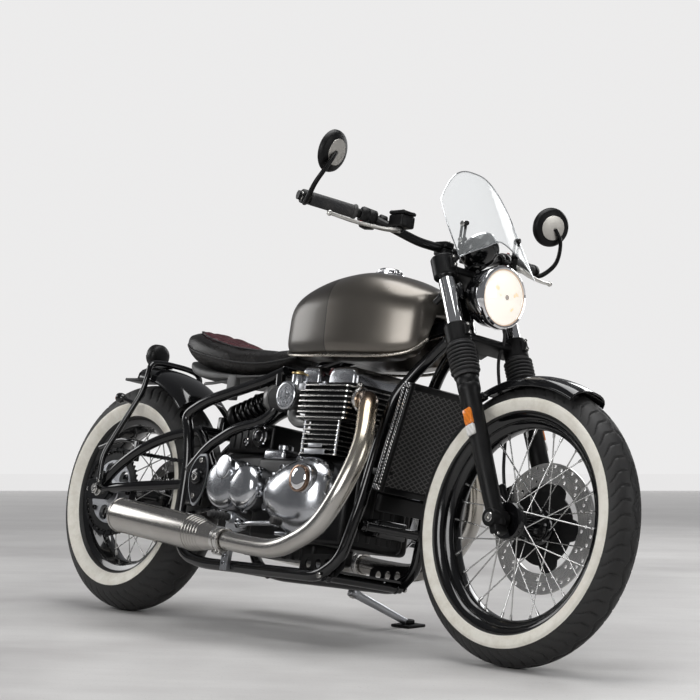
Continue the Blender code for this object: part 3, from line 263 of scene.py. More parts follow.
choose, path = tree.nodes.new("ShaderNodeMixShader"), tree.nodes.new("ShaderNodeLightPath")
tree.links.new(path.outputs[0], choose.inputs[0])
tree.links.new(dim.outputs[0], choose.inputs[1])
tree.links.new(seen.outputs[0], choose.inputs[2])
tree.links.new(choose.outputs[0], tree.nodes["World Output"].inputs[0])
bpy.context.scene.world = world
bpy.context.scene.view_settings.view_transform = "Standard"

# Wheels: black spoked rims with whitewall tyres
# Each rim is a rolled black steel section laced to a small hub by 32 stainless spokes. The tyre sits on it
# with a cream band on both walls, and its tread is cut with slanted grooves and one wavy groove.
LEAN = math.radians(11.1)
WHEELBASE = 1.51
MIDDLE = Vector((-0.759, -0.209, 0))
REAR_AXLE = 0.324342
FRONT_AXLE = 0.331861
bike = Matrix.Translation(MIDDLE) @ Matrix.Rotation(-LEAN, 4, "X")
rear_axle = bike @ Matrix.Translation((0, 0, REAR_AXLE))
front_axle = bike @ Matrix.Translation((WHEELBASE, 0, FRONT_AXLE))


def graft(shape, part, at=None):
    """Adds a small shape to a larger one, in its place."""
    if at:
        part.transform(at)
    mesh = bpy.data.meshes.new("graft")
    part.to_mesh(mesh)
    part.free()
    shape.from_mesh(mesh)
    bpy.data.meshes.remove(mesh)


def turned(shape, profile, centre, axis, steps=64, closed=False):
    """Spins a profile of (radius, along) about an axis that starts at a centre."""
    part = bmesh.new()
    verts = [part.verts.new((radius, 0, height)) for radius, height in profile]
    edges = [part.edges.new(pair) for pair in zip(verts, verts[1:])]
    if closed:
        edges.append(part.edges.new((verts[-1], verts[0])))
    bmesh.ops.spin(part, geom=verts + edges, cent=(0, 0, 0), axis=(0, 0, 1), angle=2 * math.pi, steps=steps,
                   use_merge=True, use_duplicate=False)
    turn = Vector((0, 0, 1)).rotation_difference(Vector(axis).normalized()).to_matrix().to_4x4()
    graft(shape, part, Matrix.Translation(centre) @ turn)


def swept(shape, points, radius, sides=12, flat=1.0, closed=False):
    """A tube along points, with one radius or one for each point. Flat squeezes it one way."""
    points = [Vector(point) for point in points]
    radii = radius if isinstance(radius, (list, tuple)) else [radius] * len(points)
    side = (points[1] - points[0]).orthogonal().normalized()
    places = []
    for number, (point, size) in enumerate(zip(points, radii)):
        before = points[max(number - 1, 0)]
        after = points[min(number + 1, len(points) - 1)]
        way = (after - before).normalized()
        side = (side - way * side.dot(way)).normalized()
        turn = Matrix((side * size, way.cross(side) * size * flat, way)).transposed().to_4x4()
        places.append(Matrix.Translation(point) @ turn)
    part = bmesh.new()
    ring = bmesh.ops.create_circle(part, radius=1, segments=sides, matrix=places[0])["verts"]
    first = edges = part.edges[:]
    for before, after in zip(places, places[1:]):
        made = bmesh.ops.extrude_edge_only(part, edges=edges)["geom"]
        ring = [item for item in made if isinstance(item, bmesh.types.BMVert)]
        edges = [item for item in made if isinstance(item, bmesh.types.BMEdge)]
        bmesh.ops.transform(part, matrix=after @ before.inverted(), verts=ring)
    for end in () if closed else (first, edges):
        bmesh.ops.contextual_create(part, geom=end)
    graft(shape, part)


def curve_points(points, count):
    """A smooth path through a few points, as many short steps as asked for."""
    points = [Vector(point) for point in points]
    whole = [2 * points[0] - points[1]] + points + [2 * points[-1] - points[-2]]
    path = []
    for a, b, c, d in zip(whole, whole[1:], whole[2:], whole[3:]):
        for step in range(count):
            t = step / count
            path.append(0.5 * (2 * b + (c - a) * t + (2 * a - 5 * b + 4 * c - d) * t ** 2
                               + (3 * b - a - 3 * c + d) * t ** 3))
    return path + [points[-1]]


def block(shape, low, high, rounding=0.0, turn=None, segments=3):
    """A box between two corners with rounded edges, which may be turned about its middle."""
    low, high = Vector(low), Vector(high)
    part = bmesh.new()
    bmesh.ops.create_cube(part, size=1, matrix=Matrix.Diagonal((*(high - low), 1)))
    if rounding:
        bmesh.ops.bevel(part, geom=part.edges[:], offset=rounding, segments=segments, profile=0.5,
                        affect="EDGES", material=-1, clamp_overlap=True)
    graft(shape, part, Matrix.Translation((low + high) / 2) @ (turn or Matrix()).to_4x4())


def bolt(shape, centre, axis, radius=0.005, height=0.005):
    """A socket-headed bolt: a round head with a sunk hexagon."""
    turned(shape, [(radius, 0), (radius, height * 0.8), (radius * 0.85, height), (radius * 0.55, height)],
           centre, axis, 18)
    turned(shape, [(radius * 0.55, height), (radius * 0.5, height * 0.35), (0, height * 0.3)], centre, axis, 6)


def piece(name, shape, finish, body, stands_for=(), at=bike, sharp=32, smooth=True):
    """Places a finished shape, gives it its material and lets it ride on its body."""
    bmesh.ops.remove_doubles(shape, verts=shape.verts, dist=0.00002)
    bmesh.ops.recalc_face_normals(shape, faces=shape.faces)
    shape.transform(at)
    mesh = bpy.data.meshes.new(name)
    shape.to_mesh(mesh)
    shape.free()
    if smooth:
        mesh.shade_smooth()
        mesh.set_sharp_from_angle(angle=math.radians(sharp))
    made = bpy.data.objects.new(name, mesh)
    bpy.context.scene.collection.objects.link(made)
    for one in finish if isinstance(finish, (list, tuple)) else (finish,):
        mesh.materials.append(one)
    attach(made, body)
    if stands_for:
        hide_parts(*([stands_for] if isinstance(stands_for, str) else stands_for))
    return made


def gloss_black(name="gloss black enamel"):
    """Deep black enamel under lacquer, with a trace of orange peel and fine dust."""
    made = Finish(name)
    dust = made.noise(9, 5, 0.7)
    peel = made.noise(420, 1)
    tone = made.mix(made.span(dust, 0.55, 0.9, 0, 0.5), (0.003, 0.003, 0.0035), (0.012, 0.011, 0.011))
    rough = made.span(dust, 0.35, 0.8, 0.08, 0.22)
    return made.surface(made.principled(tone, rough, coat_weight=0.35, coat_roughness=0.03, specular_ior_level=0.4,
                                        normal=made.bump(peel, 0.0002, 0.08)))


def satin_black(name="satin black", rough=0.42):
    """Powder-coated black with its fine pebbled skin and lighter rubbed patches."""
    made = Finish(name)
    patch = made.noise(14, 4, 0.6)
    grain = made.noise(900, 2)
    tone = made.mix(made.span(patch, 0.4, 0.8, 0, 0.6), (0.0025, 0.0025, 0.0028), (0.0085, 0.008, 0.008))
    return made.surface(made.principled(tone, made.span(patch, 0.3, 0.7, rough - 0.06, rough + 0.08),
                                        specular_ior_level=0.22, normal=made.bump(grain, 0.0003, 0.25)))


def bright_steel(name="stainless steel", colour=(0.62, 0.61, 0.59), rough=0.2):
    """Polished stainless with fine drawn scratches and a slight haze."""
    made = Finish(name)
    haze = made.noise(30, 4)
    line = made.noise(260, 2, at=made.place(scale=(1, 12, 12)))
    tone = made.mix(made.span(haze, 0.3, 0.75), colour, tuple(value * 0.8 for value in colour))
    return made.surface(made.principled(tone, made.span(haze + line * 0.4, 0.4, 1.1, rough - 0.07, rough + 0.12),
                                        1.0, normal=made.bump(line, 0.0001, 0.12)))


def tyre_rubber(name, hub, band, edge):
    """Dull black rubber whose walls carry a cream band between two radii, a little soiled at its edges."""
    made = Finish(name)
    spot = made.place(hub)
    x, y, z = (made.split(spot, axis) for axis in range(3))
    radius = (x * x + z * z) ** 0.5
    outside = y.sum("MAXIMUM", y, y * -1.0) > edge
    soil = made.noise(26, 5, 0.7)
    fine = made.noise(500, 2)
    wobble = radius + soil * 0.0012
    white = (wobble > band[0]) * (wobble < band[1]) * outside
    cream = made.mix(made.span(soil, 0.42, 0.85), (0.8, 0.775, 0.7), (0.6, 0.56, 0.47))
    black = made.mix(made.span(soil, 0.3, 0.75), (0.006, 0.006, 0.0065), (0.022, 0.021, 0.02))
    rough = made.span(soil, 0.3, 0.8, 0.5, 0.78) + white * -0.08
    height = fine * 0.4 + soil * 0.6
    return made.surface(made.principled(made.mix(white, black, cream), rough,
                                        normal=made.bump(height, 0.0006, 0.35)))


TYRES = {"front": {"hub": front_axle, "radius": 0.331, "half": 0.052, "height": 0.06, "flange": 0.255,
                   "rim": 0.04, "band": (0.262, 0.292), "edge": 0.03, "pitches": 60},
         "rear": {"hub": rear_axle, "radius": 0.323, "half": 0.075, "height": 0.08, "flange": 0.217,
                  "rim": 0.051, "band": (0.226, 0.262), "edge": 0.04, "pitches": 52}}
GROOVE_DEPTH = 0.0036


def groove(turn, across):
    """How deep the tread is cut, 0 to 1, at a turn in pitches and a place across from -1 to 1."""
    wavy = abs(across - 0.1 * math.sin(2 * math.pi * turn / 2)) - 0.04
    depth = 1.0 if wavy < 0 else max(0.0, 1 - wavy / 0.02)
    reach = abs(across)
    if 0.22 < reach < 0.93:
        side = 0.0 if across > 0 else 0.5
        slant = (turn + side + reach * 1.15 + 0.16 * math.sin(reach * 9)) % 1.0
        width = 0.085 * (1.15 - reach * 0.5)
        away = min(slant, 1 - slant)
        fade = min(1.0, (reach - 0.22) / 0.04, (0.93 - reach) / 0.08)
        depth = max(depth, fade * (1.0 if away < width * 0.6 else max(0.0, 1 - (away - width * 0.6) / (width * 0.5))))
    return depth


for end, size in TYRES.items():
    tyre = bmesh.new()
    core = size["radius"] - size["height"]
    crown = 40
    tread_turn = 1.22
    outline = []
    for step in range(crown + 1):
        turn = -tread_turn + 2 * tread_turn * step / crown
        outline.append((core + size["height"] * math.cos(turn), size["half"] * math.sin(turn)))
    lip = size["flange"] + 0.002
    wall = []
    wall_low = size["rim"] + 0.004
    wall_top = outline[-1]
    for step in range(1, 9):
        t = step / 8
        r = wall_top[0] + (lip - wall_top[0]) * t
        bulge = size["half"] * 1.0 - (size["half"] - wall_low) * max(0, (t - 0.18) / 0.82) ** 1.9
        wall.append((r, max(bulge if t > 0.12 else wall_top[1], wall_low)))
    bead = size["flange"] - 0.0115
    tail = [(lip - 0.001, size["rim"] - 0.0056), (bead, size["rim"] - 0.0056)]
    ridge = [(size["band"][0] + 0.001, 0), (size["band"][1] - 0.001, 0)]
    profile = ([(r, -y) for r, y in reversed(tail)] + [(r, -y) for r, y in reversed(wall)] + outline + wall + tail)
    steps = size["pitches"] * 14
    turned(tyre, profile, (0, 0, 0), (0, 1, 0), steps, closed=True)
    for vert in tyre.verts:
        radius = math.hypot(vert.co.x, vert.co.z)
        turn = math.atan2(vert.co.z, vert.co.x) / (2 * math.pi) * size["pitches"]
        lift = (radius - core) / size["height"]
        if lift > 0.3:
            across = math.atan2(vert.co.y / size["half"], lift) / tread_turn
            if abs(across) < 1.0:
                less = 1 - GROOVE_DEPTH * groove(turn, across) / radius
                vert.co.x *= less
                vert.co.z *= less
                vert.co.y *= 1 - (1 - less) * 2 * abs(across)
        elif size["band"][0] < radius < size["band"][1]:
            vert.co.y += math.copysign(0.0008, vert.co.y)
    rubber = tyre_rubber(end + " tyre rubber", size["hub"], size["band"], size["edge"])
    piece(end + "_whitewall_tyre", tyre, rubber, end + "_wheel", end + "_tyre", size["hub"], 50)

RIM_BLACK = gloss_black("rim enamel")
SPOKE_STEEL = bright_steel("spoke steel", (0.66, 0.66, 0.65), 0.22)
HUBS = {"front": (0.03, 0.05, 0.044), "rear": (0.04, 0.068, 0.056)}
for end, size in TYRES.items():
    radius, half, flange = HUBS[end]
    rim = bmesh.new()
    top, width, low = size["flange"], size["rim"], size["flange"] - 0.032
    outer = [(low, 0.01), (low + 0.003, 0.018), (top - 0.017, width * 0.56), (top - 0.014, width - 0.006),
             (top - 0.004, width - 0.001), (top, width), (top + 0.0005, width - 0.002), (top, width - 0.0048),
             (top - 0.0118, width - 0.0052), (top - 0.0122, width * 0.5), (low + 0.006, 0.012)]
    turned(rim, outer + [(r, -y) for r, y in reversed(outer)], (0, 0, 0), (0, 1, 0), 120, closed=True)
    piece(end + "_rim", rim, RIM_BLACK, end + "_wheel", end + "_wheel_laced", size["hub"], 50)
    centre = bmesh.new()
    nose = radius * 0.6
    barrel = [(0.0112, -half - 0.006), (nose, -half - 0.006), (nose + 0.001, -half), (flange - 0.002, -half),
              (flange, 0.002 - half), (flange, 0.006 - half), (flange - 0.002, 0.008 - half),
              (radius + 0.004, 0.009 - half), (radius, 0.014 - half)]
    turned(centre, barrel + [(r, -y) for r, y in reversed(barrel)], (0, 0, 0), (0, 1, 0), 64, closed=True)
    piece(end + "_hub", centre, RIM_BLACK, end + "_wheel", at=size["hub"], sharp=40)
    spokes = bmesh.new()
    for number in range(32):
        side = 1 if number % 2 else -1
        lead = math.radians(42) if number % 4 < 2 else -math.radians(42)
        at = 2 * math.pi * number / 32
        out = half - 0.008 * (0.1 if lead > 0 else 0.9) + (0.0012 if lead > 0 else -0.0012)
        foot = Vector(((flange - 0.006) * math.cos(at + lead), side * out, (flange - 0.006) * math.sin(at + lead)))
        head = Vector(((low + 0.003) * math.cos(at), side * 0.007, (low + 0.003) * math.sin(at)))
        way = (head - foot).normalized()
        swept(spokes, [foot, foot + way * 0.01, head], [0.0022, 0.0017, 0.0017], 7)
        turned(spokes, [(0, 0.001), (0.0034, 0), (0.0034, -0.011), (0.0026, -0.016), (0, -0.0162)], head, way, 8)
        turned(spokes, [(0, -0.0022), (0.0032, -0.0018), (0.0032, 0.0004), (0, 0.0008)], foot,
               (0, side, 0), 8)
    piece(end + "_spokes", spokes, SPOKE_STEEL, end + "_wheel", at=size["hub"], sharp=60)

# Front fork: chromed stanchions in black yokes, rubber gaiters and satin black sliders
# Two forged yokes clamp the stanchions and turn on the stem. Below them the ribbed gaiters run down to the
# sliders' collars, and the sliders end in the feet that clamp the axle.
RAKE = math.radians(25.8)
FORK_OFFSET = 0.0648
FORK_HALF = 0.1
AHEAD_FORK = Vector((math.cos(RAKE), 0, math.sin(RAKE)))
UP_FORK = Vector((-math.sin(RAKE), 0, math.cos(RAKE)))
FORK_FOOT = Vector((WHEELBASE, 0, FRONT_AXLE)) - FORK_OFFSET * AHEAD_FORK
fork = bike @ Matrix.Translation(FORK_FOOT) @ Matrix.Rotation(-RAKE, 4, "Y")
COLLAR_START = 0.33
GAITER_START = 0.37
LOWER_YOKE = 0.454
UPPER_YOKE = 0.637
FORK_TOP = 0.691


def chrome(name="chrome plate"):
    """Bright chrome with faint swirls and finger marks."""
    made = Finish(name)
    haze = made.noise(16, 4, 0.7)
    return made.surface(made.principled((0.8, 0.8, 0.81), made.span(haze, 0.4, 0.85, 0.03, 0.13), 1.0))


def black_rubber(name="moulded rubber"):
    """Matt black rubber, a little dusty in places."""
    made = Finish(name)
    dust = made.noise(20, 5, 0.7)
    grain = made.noise(700, 2)
    tone = made.mix(made.span(dust, 0.45, 0.85), (0.013, 0.013, 0.014), (0.045, 0.043, 0.041))
    return made.surface(made.principled(tone, made.span(dust, 0.3, 0.8, 0.5, 0.72),
                                        normal=made.bump(grain, 0.0003, 0.3)))


SATIN = satin_black()
BLACK_ENAMEL = gloss_black()
CHROME = chrome()
RUBBER = black_rubber()
STAINLESS = bright_steel()

yokes = bmesh.new()
for low, high in ((LOWER_YOKE, LOWER_YOKE + 0.05), (UPPER_YOKE, FORK_TOP)):
    thin = (high - low) * 0.3
    turned(yokes, [(0, low), (0.021, low), (0.023, low + 0.002), (0.023, high - 0.002), (0.021, high), (0, high)],
           (0, 0, 0), (0, 0, 1), 40)
    block(yokes, (0.024, -FORK_HALF, low + thin), (FORK_OFFSET + 0.012, FORK_HALF, high - thin), 0.006)
    block(yokes, (0.002, -0.04, low + thin), (0.032, 0.04, high - thin), 0.005)
    for side in (1, -1):
        turned(yokes, [(0.021, low), (0.028, low), (0.03, low + 0.003), (0.03, high - 0.003), (0.028, high),
                       (0.021, high)], (FORK_OFFSET, side * FORK_HALF, 0), (0, 0, 1), 40, closed=True)
        ear = FORK_OFFSET + 0.026
        block(yokes, (ear - 0.006, side * FORK_HALF - 0.01, low + 0.01),
              (ear + 0.01, side * FORK_HALF + 0.01, high - 0.01), 0.004)
piece("fork_yoke_pair", yokes, SATIN, "steering", "fork_yokes", fork)
tubes = bmesh.new()
for side in (1, -1):
    at = (FORK_OFFSET, side * FORK_HALF, 0)
    turned(tubes, [(0.0205, GAITER_START + 0.001), (0.0205, FORK_TOP + 0.001), (0.0195, FORK_TOP + 0.004),
                   (0.014, FORK_TOP + 0.006), (0.009, FORK_TOP + 0.0055), (0.008, FORK_TOP + 0.002),
                   (0, FORK_TOP + 0.002)], at, (0, 0, 1), 56)
turned(tubes, [(0.016, LOWER_YOKE + 0.052), (0.0155, UPPER_YOKE - 0.001)], (0, 0, 0), (0, 0, 1), 32)
turned(tubes, [(0.013, FORK_TOP - 0.002), (0.013, FORK_TOP + 0.003), (0.008, FORK_TOP + 0.0055),
               (0, FORK_TOP + 0.0055)], (0, 0, 0), (0, 0, 1), 6)
piece("stanchion_pair", tubes, CHROME, "steering", at=fork)

for name, side in (("left", 1), ("right", -1)):
    boot = bmesh.new()
    folds = 8
    low, high = GAITER_START - 0.006, LOWER_YOKE - 0.0008
    outline = [(0.0215, low), (0.03, low), (0.0308, low + 0.004), (0.03, low + 0.009)]
    pitch = (high - low - 0.014) / folds
    for fold in range(folds):
        for step in range(8):
            share = step / 8
            wave = abs(math.sin(math.pi * share)) ** 0.7
            outline.append((0.0272 + 0.0085 * wave, low + 0.01 + (fold + share) * pitch))
    outline += [(0.0272, high - 0.005), (0.03, high - 0.003), (0.03, high), (0.0215, high)]
    turned(boot, outline, (FORK_OFFSET, side * FORK_HALF, 0), (0, 0, 1), 56, closed=True)
    piece("gaiter_" + name, boot, RUBBER, "steering", "fork_gaiter_" + name, fork, 50)

sliders = bmesh.new()
for side in (1, -1):
    at = (FORK_OFFSET, side * FORK_HALF, 0)
    turned(sliders, [(0, -0.0235), (0.01, -0.0235), (0.017, -0.021), (0.0205, -0.012), (0.0215, 0.004),
                     (0.0205, 0.03), (0.0215, 0.06), (0.0232, 0.2), (0.0238, COLLAR_START - 0.012),
                     (0.0262, COLLAR_START - 0.006), (0.0274, COLLAR_START), (0.0274, COLLAR_START + 0.008),
                     (0.0266, COLLAR_START + 0.01), (0.0274, COLLAR_START + 0.012),
                     (0.0274, GAITER_START - 0.01), (0.025, GAITER_START - 0.0065), (0.021, GAITER_START - 0.006)],
           at, (0, 0, 1), 56)
    turned(sliders, [(0.0112, -0.026), (0.02, -0.026), (0.0215, -0.0235), (0.0215, 0.0235), (0.02, 0.026),
                     (0.0112, 0.026)], (FORK_OFFSET, side * FORK_HALF, 0), (0, 1, 0), 48, closed=True)
    block(sliders, (FORK_OFFSET - 0.012, side * FORK_HALF - 0.02, -0.038),
          (FORK_OFFSET + 0.012, side * FORK_HALF + 0.02, -0.012), 0.005)
    block(sliders, (FORK_OFFSET - 0.03, side * FORK_HALF - 0.01, 0.29),
          (FORK_OFFSET - 0.012, side * FORK_HALF + 0.01, 0.33), 0.004)
piece("slider_pair", sliders, SATIN, "steering", "fork_legs", fork, 40)
axle = bmesh.new()
reach = FORK_HALF + 0.0275
turned(axle, [(0, -reach + 0.004), (0.005, -reach + 0.004), (0.006, -reach), (0.0105, -reach),
              (0.0125, -reach + 0.003), (0.0125, -reach + 0.008), (0.01, -reach + 0.008), (0.01, reach - 0.008),
              (0.0125, reach - 0.008), (0.0125, reach - 0.003), (0.0105, reach), (0.006, reach), (0, reach - 0.004)],
       (FORK_OFFSET, 0, 0), (0, 1, 0), 32)
for side in (1, -1):
    for step in (0, 1):
        bolt(axle, (FORK_OFFSET + 0.006 - step * 0.012, side * (FORK_HALF + 0.01), -0.0385), (0, 0, -1), 0.0035,
             0.004)
    for low in (LOWER_YOKE, UPPER_YOKE + 0.004):
        for step in (0.014, 0.036):
            bolt(axle, (FORK_OFFSET + 0.0362, side * FORK_HALF, low + step), (1, 0, 0), 0.0042, 0.005)
piece("axle_and_clamp_bolts", axle, STAINLESS, "steering", at=fork)


def lamp_plastic(name, colour, ridge=260.0):
    """Clear coloured lens plastic with moulded ribs behind a smooth face."""
    made = Finish(name)
    rib = made.node("ShaderNodeTexWave", {"bands_direction": "DIAGONAL"},
                    {"Vector": made.place(), "Scale": ridge / 6})
    tone = made.mix(rib * 0.5, colour, tuple(value * 0.6 for value in colour))
    return made.surface(made.principled(tone, 0.12, coat_weight=0.6, normal=made.bump(rib, 0.0008, 0.5)))


AMBER = lamp_plastic("amber lens", (0.8, 0.22, 0.02))
RED = lamp_plastic("red lens", (0.42, 0.012, 0.012))
CLEAR_LENS = lamp_plastic("clear ribbed lens", (0.75, 0.74, 0.72))
for name, lens, low, high in (("amber", AMBER, 0.236, 0.276), ("clear", CLEAR_LENS, 0.208, 0.235)):
    markers = bmesh.new()
    for side in (1, -1):
        y = side * (FORK_HALF + 0.024)
        block(markers, (FORK_OFFSET - 0.012, y - 0.005, low), (FORK_OFFSET + 0.012, y + 0.005, high), 0.003)
    piece("fork_marker_" + name, markers, lens, "steering", at=fork)

# Front mudguard
# A short gloss black blade of pressed steel with a rolled edge, close over the tyre, on two brackets.


def guard_shape(radius, half, skirt, start, end, steps, thick=0.0022):
    """A mudguard's pressed section spun about the axle, with a rolled edge on each side."""
    shape = bmesh.new()
    count = 12
    outside = []
    for step in range(count + 1):
        turn = -math.pi / 2 + math.pi * step / count
        outside.append((radius - skirt * (1 - math.cos(turn) ** 0.75), half * math.sin(turn) * 1.0))
    inside = [(r - thick, y * (1 - thick / half)) for r, y in reversed(outside)]
    lip = 0.003
    inside[0] = (outside[-1][0] - thick * 0.2, outside[-1][1] - thick)
    inside[-1] = (outside[0][0] - thick * 0.2, outside[0][1] + thick)
    verts = [shape.verts.new((0, y, r)) for r, y in outside + inside]
    face = shape.faces.new(verts)
    bmesh.ops.rotate(shape, verts=verts, cent=(0, 0, 0), matrix=Matrix.Rotation(start, 3, "Y"))
    bmesh.ops.spin(shape, geom=[face], cent=(0, 0, 0), axis=(0, 1, 0), angle=end - start, steps=steps,
                   use_duplicate=False)
    for side in (1, -1):
        edge = [Vector((r * math.sin(a), side * (half - lip * 0.4), r * math.cos(a)))
                for r in (radius - skirt,) for a in [start + (end - start) * n / steps for n in range(steps + 1)]]
        swept(shape, edge, lip, 8)
    for a in (start, end):
        lip_line = [Vector(((r - thick / 2) * math.sin(a), y, (r - thick / 2) * math.cos(a))) for r, y in outside]
        swept(shape, lip_line, lip * 0.8, 8)
    return shape


guard = guard_shape(0.349, 0.055, 0.03, math.radians(-30) + RAKE, math.radians(26) + RAKE, 48)
guard.transform(Matrix.Translation((FORK_OFFSET, 0, 0)))
for side in (1, -1):
    block(guard, (FORK_OFFSET - 0.014, min(side * 0.053, side * 0.077), 0.309),
          (FORK_OFFSET + 0.014, max(side * 0.053, side * 0.077), 0.323), 0.003)
piece("front_mudguard", guard, BLACK_ENAMEL, "steering", "front_fender", fork, 40)
studs = bmesh.new()
for side in (1, -1):
    for step in (-0.008, 0.008):
        bolt(studs, (FORK_OFFSET + step, side * 0.066, 0.323), (0, 0, 1), 0.004, 0.004)
piece("front_mudguard_bolts", studs, STAINLESS, "steering", at=fork)

# Front brake
# A drilled stainless disc is riveted to a black bell on the hub's left, and a black caliper on the left
# slider grips it. Its hose comes down from the bars beside the fork.


def plate(shape, loops, thick, at=None):
    """A flat plate in X and Z with the holes that its inner loops make, thick along Y."""
    part = bmesh.new()
    for loop in loops:
        verts = [part.verts.new((x, -thick / 2, z)) for x, z in loop]
        for pair in zip(verts, verts[1:] + verts[:1]):
            part.edges.new(pair)
    made = bmesh.ops.triangle_fill(part, use_beauty=True, use_dissolve=False, edges=part.edges[:])
    faces = [item for item in made["geom"] if isinstance(item, bmesh.types.BMFace)]
    raised = bmesh.ops.extrude_face_region(part, geom=faces)["geom"]
    bmesh.ops.translate(part, verts=[item for item in raised if isinstance(item, bmesh.types.BMVert)],
                        vec=(0, thick, 0))
    graft(shape, part, at)


def circle(radius, count, middle=(0, 0), start=0.0):
    """Points round a circle in X and Z."""
    return [(middle[0] + radius * math.cos(start + 2 * math.pi * step / count),
             middle[1] + radius * math.sin(start + 2 * math.pi * step / count)) for step in range(count)]


def drilled_disc(name, outer, inner, rows, thick, y, hub, body, replaced, finish):
    """A brake disc with holes in slanted rows. Each row is (radius, turn in degrees)."""
    shape = bmesh.new()
    loops = [circle(outer, 120), circle(inner, 96)]
    for number in range(16):
        for radius, lead in rows:
            turn = 2 * math.pi * number / 16 + math.radians(lead)
            loops.append(circle(0.0042, 10, (radius * math.cos(turn), radius * math.sin(turn))))
    plate(shape, loops, thick, Matrix.Translation((0, y, 0)))
    return piece(name, shape, finish, body, replaced, hub, 30)


def disc_steel(name, hub):
    """Ground stainless that the pads have polished in fine rings."""
    made = Finish(name)
    spot = made.place(hub)
    x, z = made.split(spot, 0), made.split(spot, 2)
    ring = made.noise(420, 2, at=made.node("ShaderNodeCombineXYZ", {}, {0: (x * x + z * z) ** 0.5}))
    tone = made.mix(ring, (0.7, 0.69, 0.68), (0.5, 0.49, 0.48))
    return made.surface(made.principled(tone, made.span(ring, 0.3, 0.7, 0.22, 0.36), 0.95,
                                        normal=made.bump(ring, 0.0002, 0.2)))


DISC_STEEL = disc_steel("ground front disc", front_axle)
drilled_disc("front_drilled_disc", 0.155, 0.106, ((0.118, 0), (0.13, 5), (0.142, 10), (0.148, -4)), 0.0048,
             0.064, front_axle, "front_wheel", "front_disc", DISC_STEEL)
bell = bmesh.new()
spider = []
for number in range(80):
    turn = 2 * math.pi * number / 80
    spider.append(((0.088 + 0.02 * max(0, math.cos(turn * 5)) ** 0.5) * math.cos(turn),
                   (0.088 + 0.02 * max(0, math.cos(turn * 5)) ** 0.5) * math.sin(turn)))
plate(bell, [spider, circle(0.04, 40)], 0.0052, Matrix.Translation((0, 0.0635, 0)))
turned(bell, [(0.019, 0.0505), (0.045, 0.0505), (0.047, 0.053), (0.052, 0.06), (0.056, 0.0665), (0.05, 0.0675),
              (0.038, 0.066), (0.03, 0.0662), (0.019, 0.0662)], (0, 0, 0), (0, 1, 0), 64, closed=True)
piece("front_disc_bell", bell, SATIN, "front_wheel", at=front_axle, sharp=40)
rivets = bmesh.new()
for number in range(10):
    turn = 2 * math.pi * (number + 0.5 * (number % 2)) / 10
    spot = (0.1 * math.cos(2 * math.pi * (number // 2) / 5), 0, 0.1 * math.sin(2 * math.pi * (number // 2) / 5))
    if number % 2 == 0:
        turned(rivets, [(0, 0.0005), (0.0052, 0.0005), (0.0052, 0.003), (0.003, 0.0042), (0, 0.0042)],
               (spot[0], 0.066, spot[2]), (0, 1, 0), 16)
    hub_turn = 2 * math.pi * number / 10 + 0.3
    if number % 2:
        bolt(rivets, (0.038 * math.cos(hub_turn), 0.066, 0.038 * math.sin(hub_turn)), (0, 1, 0), 0.0045, 0.004)
piece("front_disc_rivets", rivets, STAINLESS, "front_wheel", at=front_axle)
ring_cover = bmesh.new()
turned(ring_cover, [(0.018, -0.0505), (0.043, -0.0505), (0.0445, -0.052), (0.0445, -0.064), (0.042, -0.0665),
                    (0.03, -0.068), (0.018, -0.068)], (0, 0, 0), (0, 1, 0), 64, closed=True)
piece("front_speed_ring", ring_cover, gloss_black("speed ring enamel"), "front_wheel", at=front_axle)

caliper = bmesh.new()
block(caliper, (-0.083, 0.0395, 0.062), (-0.012, 0.0562, 0.148), 0.006)
block(caliper, (-0.083, 0.0718, 0.062), (-0.012, 0.0885, 0.148), 0.006)
block(caliper, (-0.084, 0.042, 0.064), (-0.064, 0.087, 0.146), 0.006, Matrix.Rotation(0.12, 3, "Y"))
block(caliper, (-0.03, 0.0782, 0.086), (FORK_OFFSET - 0.016, 0.0898, 0.124), 0.003)
for z in (0.084, 0.126):
    turned(caliper, [(0.015, 0), (0.015, 0.004), (0.012, 0.006), (0, 0.006)], (-0.046, 0.088, z), (0, 1, 0), 28)
piece("front_caliper_body", caliper, SATIN, "steering", "front_caliper", fork)
pins = bmesh.new()
for z in (0.07, 0.14):
    bolt(pins, (-0.07, 0.0885, z), (0, 1, 0), 0.005, 0.005)
for z in (0.092, 0.118):
    bolt(pins, (FORK_OFFSET - 0.026, 0.0898, z), (0, 1, 0), 0.0055, 0.005)
piece("front_caliper_bolts", pins, STAINLESS, "steering", at=fork)
hose = bmesh.new()
route = [(-0.046, 0.084, 0.15), (-0.03, 0.078, 0.2), (0.01, 0.068, 0.29), (0.022, 0.062, 0.38),
         (0.046, 0.052, 0.45), (0.092, 0.04, 0.5), (0.104, 0.01, 0.58), (0.098, -0.02, 0.66)]
swept(hose, curve_points(route, 8), 0.0042, 10)
piece("front_brake_hose", hose, RUBBER, "steering", at=fork)

